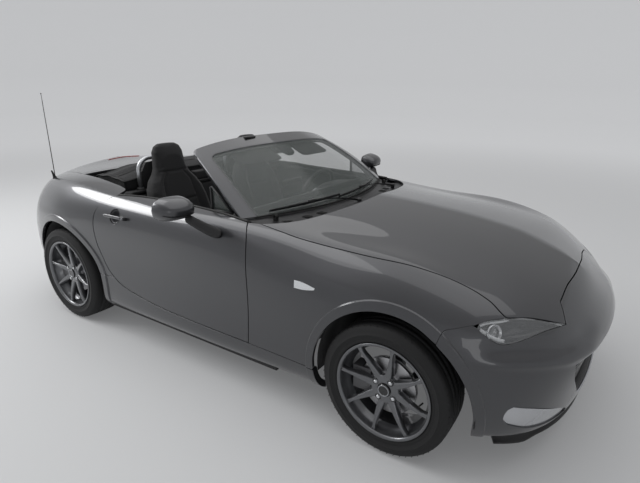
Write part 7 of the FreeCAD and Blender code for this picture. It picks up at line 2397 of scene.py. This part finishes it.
# ------------------------------------------------------------------ tail
def drawn_out(ring, other, gap, furthest):
    """A ring with its points moved out to the edge of the panel beside it."""
    fine = np.concatenate([other + (np.roll(other, -1, 0) - other) * k / 6 for k in range(6)])
    near, out = skin(fine), ring.copy()
    for i, p in enumerate(skin(ring)):
        far = np.linalg.norm(near - p, axis=1)
        k = int(np.argmin(far))
        if 1.4 * gap < far[k] < furthest and p[1] > 0.61 and p[2] > 0.646:
            out[i] = fine[k] + (ring[i] - fine[k]) * gap / far[k]
    return out


def tail_lamps():
    """Red lens with a darker bowl and two bright rings behind it."""
    ring = drawn_out(panel_ring("tail_lamp"), panel_ring("rear_quarter"), 0.0042, 0.035)
    lens = shell([ring], 0.0014, 0.004)
    piece("tail_lamp_lenses", pair(lens), "lens_red", stands_for=["tail_lamps"])
    bowl = lamp_bowl(ring, 0.0055, ((0.95, 0.020), (0.60, 0.028), (POLE, 0.028)))
    piece("tail_lamp_housings", pair(bowl), "lamp_smoke")
    at_uv = place_many("r", [[566, 716]])
    at, way = skin(at_uv)[0], across(skin, at_uv)[0]
    rings = [turned_along(rounded([(r, -0.002), (r + 0.0045, -0.002), (r + 0.0045, 0.003), (r, 0.003)],
                                  0.001), at - way * 0.014, way, 44) for r in (0.044, 0.030, 0.014)]
    glow = joined(*rings)
    piece("tail_lamp_rings", pair(glow), "lamp_red_glow", slot="lamp_red")
    seal = tube(skin(ring) + across(skin, ring) * 0.0002, 0.0016, 6, closed=True, caps=False)
    piece("tail_lamp_seals", pair(seal), "rubber_black")


def both_halves(rows):
    """A run from the middle outwards, led back across to the other side."""
    return np.concatenate([(rows * [1, -1, 1])[::-1], rows[1:]])


def lid_details():
    """High brake lamp and grip on the boot lid."""
    line = evenly(Line(("t", -1735, 0), ("t", -1732, 60), ("t", -1724, 130)), 0.01)
    run, out = both_halves(skin(line)), both_halves(across(skin, line))
    rows = []
    for p, n in zip(run, out):
        back = np.cross(n, [0, 1, 0])
        back /= np.linalg.norm(back)
        rows.append([p + back * u + n * w for u, w in
                     ((0.012, -0.002), (0.010, 0.0030), (0.006, 0.0050), (-0.006, 0.0050),
                      (-0.010, 0.0030), (-0.012, -0.002), (0.0, -0.004))])
    piece("high_brake_lamp", lofted(rows), "lens_red", body="boot_lid", slot="lamp_red")
    line = evenly(Line(("r", 0, 662), ("r", 120, 662), ("r", 240, 661)), 0.01)
    run = both_halves(skin(line))
    rows = [[p + [x, 0, z] for x, z in ((-0.001, 0.008), (-0.0065, 0.006), (-0.0075, 0.0),
                                        (-0.0065, -0.006), (-0.001, -0.008), (0.008, 0))] for p in run]
    piece("lid_grip", lofted(rows), "satin_black", body="boot_lid", slot="black_trim")


def valance():
    """Black lower panel between the exhaust tips, and the tips."""
    ys = np.linspace(-0.60, 0.60, 49)
    low = place_many("r", np.stack([np.abs(ys) / MM, np.full(len(ys), 300.0)], 1))
    p = bare_skin(low)
    rows = []
    for y, q in zip(ys, p):
        x = q[0]
        g = smooth(abs(y), 0.50, 0.60)
        top, bottom = 0.330 - 0.040 * g, 0.214 + 0.030 * g
        rows.append([(x - 0.0035, y, top), (x - 0.006, y, (top + bottom) / 2 + 0.02),
                     (x + 0.004, y, bottom + 0.018), (x + 0.030, y, bottom), (x + 0.060, y, bottom + 0.002),
                     (x + 0.030, y, bottom + 0.014), (x + 0.012, y, top - 0.02)])
    piece("rear_valance", lofted(rows), "satin_black")
    tips = []
    for y in (0.430, -0.430):
        tips.append(turned_along(rounded([(0.0265, -0.11), (0.0290, -0.11), (0.0315, 0.024), (0.0330, 0.0265),
                                          (0.0335, 0.029), (0.0290, 0.0285), (0.0262, 0.020)], 0.001),
                                 (-1.905, y, 0.2045), (-1, 0, 0), 48))
    piece("exhaust_tips", joined(*tips), "bright_metal", slot="exhaust_metal")
    fins = []
    for y in (-0.24, -0.12, 0.0, 0.12, 0.24):
        uv = place_many("r", [[abs(y) / MM, 300.0]])
        x = bare_skin(uv)[0, 0]
        fins.append(block((x - 0.0095, y - 0.003, 0.222), (x + 0.030, y + 0.003, 0.300), 0.0015, 1))
    piece("valance_fins", joined(*fins), "satin_black")


# ------------------------------------------------------------------ arches, floor, carried nodes
def arch_liners():
    """Dark liners over each wheel, inside the arch edges."""
    parts, r, inner = [], ARCH_R + 0.010, 0.185
    for axle_x, wall in ((FRONT_X, 0.476), (REAR_X, 0.520)):
        for section in (((r, wall), (r - 0.004, wall), (r - 0.004, 0.800), (r, 0.800)),
                        ((r, wall - 0.002), (r, wall + 0.003), (inner, wall + 0.003),
                         (inner, wall - 0.002))):
            parts.append(lofted([[(axle_x + ARCH_AHEAD + out * math.cos(a), y, TYRE_R + out * math.sin(a))
                                  for out, y in section]
                                 for a in np.radians(np.linspace(-6, 186, 29))]))
    half = joined(*parts)
    piece("wheel_arch_liners", pair(half), "under_black")


def springs():
    """Coil springs and dampers above the lower arms at each corner."""
    parts, rods = [], []
    for axle_x, y in ((FRONT_X, 0.415), (REAR_X, 0.585)):
        radius, steps, path = 0.048, 104, []        # 5.2 turns of 20 steps
        for k in range(steps + 1):
            t = 2 * math.pi * k / 20
            path.append((axle_x - 0.06 + radius * math.cos(t),
                         y - 0.04 * k / steps + radius * math.sin(t), 0.350 + 0.20 * k / steps))
        parts.append(tube(path, 0.006, 8))
        rods.append(tube([(axle_x - 0.06, y, 0.24), (axle_x - 0.06, y - 0.035, 0.42),
                          (axle_x - 0.06, y - 0.045, 0.58)], [0.022, 0.022, 0.010], 16))
    coil, rod = joined(*parts), joined(*rods)
    piece("suspension_springs", pair(coil), "cast_metal", slot="under_body")
    piece("suspension_dampers", pair(rod), "under_black", slot="under_body")


CARRIED = {
    "floor_pan": "under_black", "firewall": "under_black", "rear_bulkhead": "under_black",
    "chassis_frame": "under_black", "boot_tub": "carpet", "suspension": "cast_metal",
    "engine": "cast_metal", "exhaust": "cast_metal", "rear_knuckles": "calliper_grey",
    "front_left_knuckle": "calliper_grey", "front_right_knuckle": "calliper_grey",
    # The cowl and the grille, seen only down gaps and through the mouth, take a near-black that is partly
    # their own black plastic and partly painted shade.
    "hood_well": "cabin_black", "cowl": "gap_shade_black", "grille": "gap_shade_black",
}


def carried():
    """CAD parts shown as they are, in finishes of their own."""
    for node, paint in CARRIED.items():
        NODES[node].data.materials.clear()
        NODES[node].data.materials.append(PAINTS[paint])
        if node in ("suspension", "exhaust", "front_left_knuckle", "front_right_knuckle",
                    "rear_knuckles", "engine"):
            polish(NODES[node], bevel=0.003, angle=40)


def engine_dress():
    """Covers that give the plain engine block its look when the bonnet is up."""
    cover = block((0.93, -0.150, 0.756), (1.26, 0.110, 0.786), 0.014, 3)
    rib = block((0.95, -0.128, 0.7845), (1.24, -0.120, 0.790), 0.002, 1)
    ribs = repeated(rib, 8, step=(0, 0.031, 0))
    pipe = tube([(1.30, 0.16, 0.70), (1.36, 0.17, 0.71), (1.44, 0.14, 0.70), (1.50, 0.05, 0.66),
                 (1.50, -0.08, 0.64)], 0.034, 20)
    tank = block((0.62, 0.30, 0.56), (0.80, 0.46, 0.745), 0.022, 3)
    battery = block((0.64, -0.50, 0.50), (0.84, -0.30, 0.735), 0.010, 2)
    cap = turned_along(rounded([(0.0002, 0), (0.026, 0), (0.026, 0.016), (0.0002, 0.018)], 0.003),
                       (0.71, 0.38, 0.744), (0, 0, 1), 24)
    oil = turned_along(rounded([(0.0002, 0), (0.024, 0), (0.024, 0.014), (0.0002, 0.016)], 0.003),
                       (1.10, -0.02, 0.786), (0, 0, 1), 24)
    radiator = block((1.600, -0.300, 0.300), (1.640, 0.300, 0.600), 0.006, 2)
    piece("engine_cover", joined(cover, ribs, oil), "satin_black", slot="engine_metal")
    piece("intake_pipe", pipe, "rubber_black", slot="engine_metal")
    # The coolant tank takes the lamp finish, so it glows faintly: painted light, as the tank is no lamp.
    piece("coolant_tank", tank, "lamp_white", slot="engine_metal")
    piece("battery", joined(battery, cap), "satin_black", slot="engine_metal")
    piece("radiator", radiator, "under_black", slot="engine_metal")


tail_lamps()
lid_details()
valance()
arch_liners()
springs()
carried()
engine_dress()


# ------------------------------------------------------------------ floor, backdrop, lights, camera
FLOOR_GREY = (0.46, 0.465, 0.47)
FLOOR_GLOW, WALL_GLOW = 0.11, 0.30


def stage_material(name, colour, rough):
    """Paper that glows a little more the farther out it is."""
    mat = bpy.data.materials.new(name)
    mat.use_nodes = True
    tree = mat.node_tree
    shader = tree.nodes["Principled BSDF"]
    shader.inputs["Roughness"].default_value = rough
    noise = tree.nodes.new("ShaderNodeTexNoise")
    noise.inputs["Scale"].default_value = 3.0
    coords = tree.nodes.new("ShaderNodeTexCoord")
    tree.links.new(coords.outputs["Object"], noise.inputs["Vector"])
    mix = tree.nodes.new("ShaderNodeMix")
    mix.data_type = "RGBA"
    mix.inputs["A"].default_value = (*[c * 0.995 for c in colour], 1)
    mix.inputs["B"].default_value = (*colour, 1)
    tree.links.new(noise.outputs["Fac"], mix.inputs["Factor"])
    tree.links.new(mix.outputs["Result"], shader.inputs["Base Color"])
    far = tree.nodes.new("ShaderNodeVectorMath")
    far.operation = "LENGTH"
    tree.links.new(coords.outputs["Object"], far.inputs[0])
    rise = tree.nodes.new("ShaderNodeMapRange")
    rise.interpolation_type = "SMOOTHSTEP"
    rise.inputs["From Min"].default_value, rise.inputs["From Max"].default_value = 2.5, 12.0
    rise.inputs["To Min"].default_value, rise.inputs["To Max"].default_value = FLOOR_GLOW, WALL_GLOW
    tree.links.new(far.outputs["Value"], rise.inputs["Value"])
    tree.links.new(rise.outputs["Result"], shader.inputs["Emission Strength"])
    shader.inputs["Emission Color"].default_value = (0.97, 0.98, 1.0, 1)
    return mat


def backdrop():
    """A floor that sweeps up into a wall all round, far out."""
    rings = [(0.0, 0.0), (14.0, 0.0), (17.0, 0.35), (19.0, 1.6), (20.0, 4.0), (20.3, 9.0)]
    steps = 96
    verts = [(0, 0, 0)]
    for r, z in rings[1:]:
        for k in range(steps):
            t = 2 * math.pi * k / steps
            verts.append((r * math.cos(t), r * math.sin(t), z))
    faces = [(0, 1 + k, 1 + (k + 1) % steps) for k in range(steps)]
    for i in range(len(rings) - 2):
        a, b = 1 + i * steps, 1 + (i + 1) * steps
        faces += [(a + k, b + k, b + (k + 1) % steps, a + (k + 1) % steps) for k in range(steps)]
    mesh = bpy.data.meshes.new("studio_floor")
    mesh.from_pydata(verts, [], faces)
    mesh.polygons.foreach_set("use_smooth", [True] * len(mesh.polygons))
    obj = linked("studio_floor", mesh)
    mesh.materials.append(stage_material("studio_paper", FLOOR_GREY, 0.85))


def softbox(name, place_at, target, size, power):
    """A rectangular area light aimed at a place."""
    light = bpy.data.lights.new(name, "AREA")
    light.shape = "RECTANGLE"
    light.size, light.size_y = size
    light.energy = power
    obj = linked(name, light)
    way = (Vector(target) - Vector(place_at)).normalized()
    obj.location = place_at
    obj.rotation_euler = way.to_track_quat("-Z", "Y").to_euler()
    obj.visible_camera = False


def sky(strength):
    """An even dome with a brighter crown; the camera sees plain white paper."""
    world = bpy.data.worlds.new("studio")
    bpy.context.scene.world = world
    world.use_nodes = True
    tree = world.node_tree
    tree.nodes.clear()
    new, link = tree.nodes.new, tree.links.new
    coords = new("ShaderNodeTexCoord")
    split = new("ShaderNodeSeparateXYZ")
    link(coords.outputs["Generated"], split.inputs["Vector"])
    ramp = new("ShaderNodeValToRGB")
    stops = ramp.color_ramp.elements
    stops[0].position, stops[0].color = 0.0, (0.17, 0.172, 0.175, 1)
    stops[1].position, stops[1].color = 1.0, (0.50, 0.50, 0.50, 1)
    for at, tone in ((0.12, 0.24), (0.35, 0.34), (0.62, 0.40), (0.82, 0.46)):
        stops.new(at).color = (tone, tone, tone * 1.01, 1)
    link(split.outputs["Z"], ramp.inputs["Fac"])
    back = new("ShaderNodeBackground")
    back.inputs["Strength"].default_value = strength
    link(ramp.outputs["Color"], back.inputs["Color"])
    out = new("ShaderNodeOutputWorld")
    link(back.outputs["Background"], out.inputs["Surface"])


def camera():
    """The camera, a little rolled, at the front corner."""
    data = bpy.data.cameras.new("camera")
    obj = linked("camera", data)
    yaw, pitch, roll = math.radians(119.8), math.radians(-16.85), math.radians(1.2)
    ahead = Vector((math.cos(pitch) * math.cos(yaw), math.cos(pitch) * math.sin(yaw), math.sin(pitch)))
    level = ahead.cross(Vector((0, 0, 1))).normalized()
    right = level * math.cos(roll) + level.cross(ahead) * math.sin(roll)
    matrix = Matrix((right, right.cross(ahead), -ahead)).transposed().to_4x4()
    matrix.translation = Vector((1.9515, -2.267, 1.501))
    obj.matrix_world = matrix
    data.sensor_width = 36.0
    data.lens = 26.13
    data.shift_x, data.shift_y = -0.085, -0.0231
    bpy.context.scene.camera = obj


backdrop()
sky(1.15)
softbox("overhead_wide", (0.2, 0.6, 4.9), (0.1, 0.1, 0.4), (9.0, 6.0), 108)
softbox("overhead_near", (-2.4, -0.9, 4.5), (-0.9, -0.4, 0.5), (3.4, 2.4), 30)
for k, share in enumerate((1.0, 0.7)):
    softbox(f"rear_flank_{k}", (-4.9 + 0.12 * k, -2.5 + 0.06 * k, 3.75 - 0.08 * k), (-0.3, -0.7, 0.8),
            (3.6 * share, 1.9 * share), 105 * share ** 2)
softbox("front_flank", (3.4, -4.6, 1.0), (1.6, -0.8, 0.6), (1.6, 1.0), 6)
camera()
scene = bpy.context.scene
scene.view_settings.view_transform = "Standard"
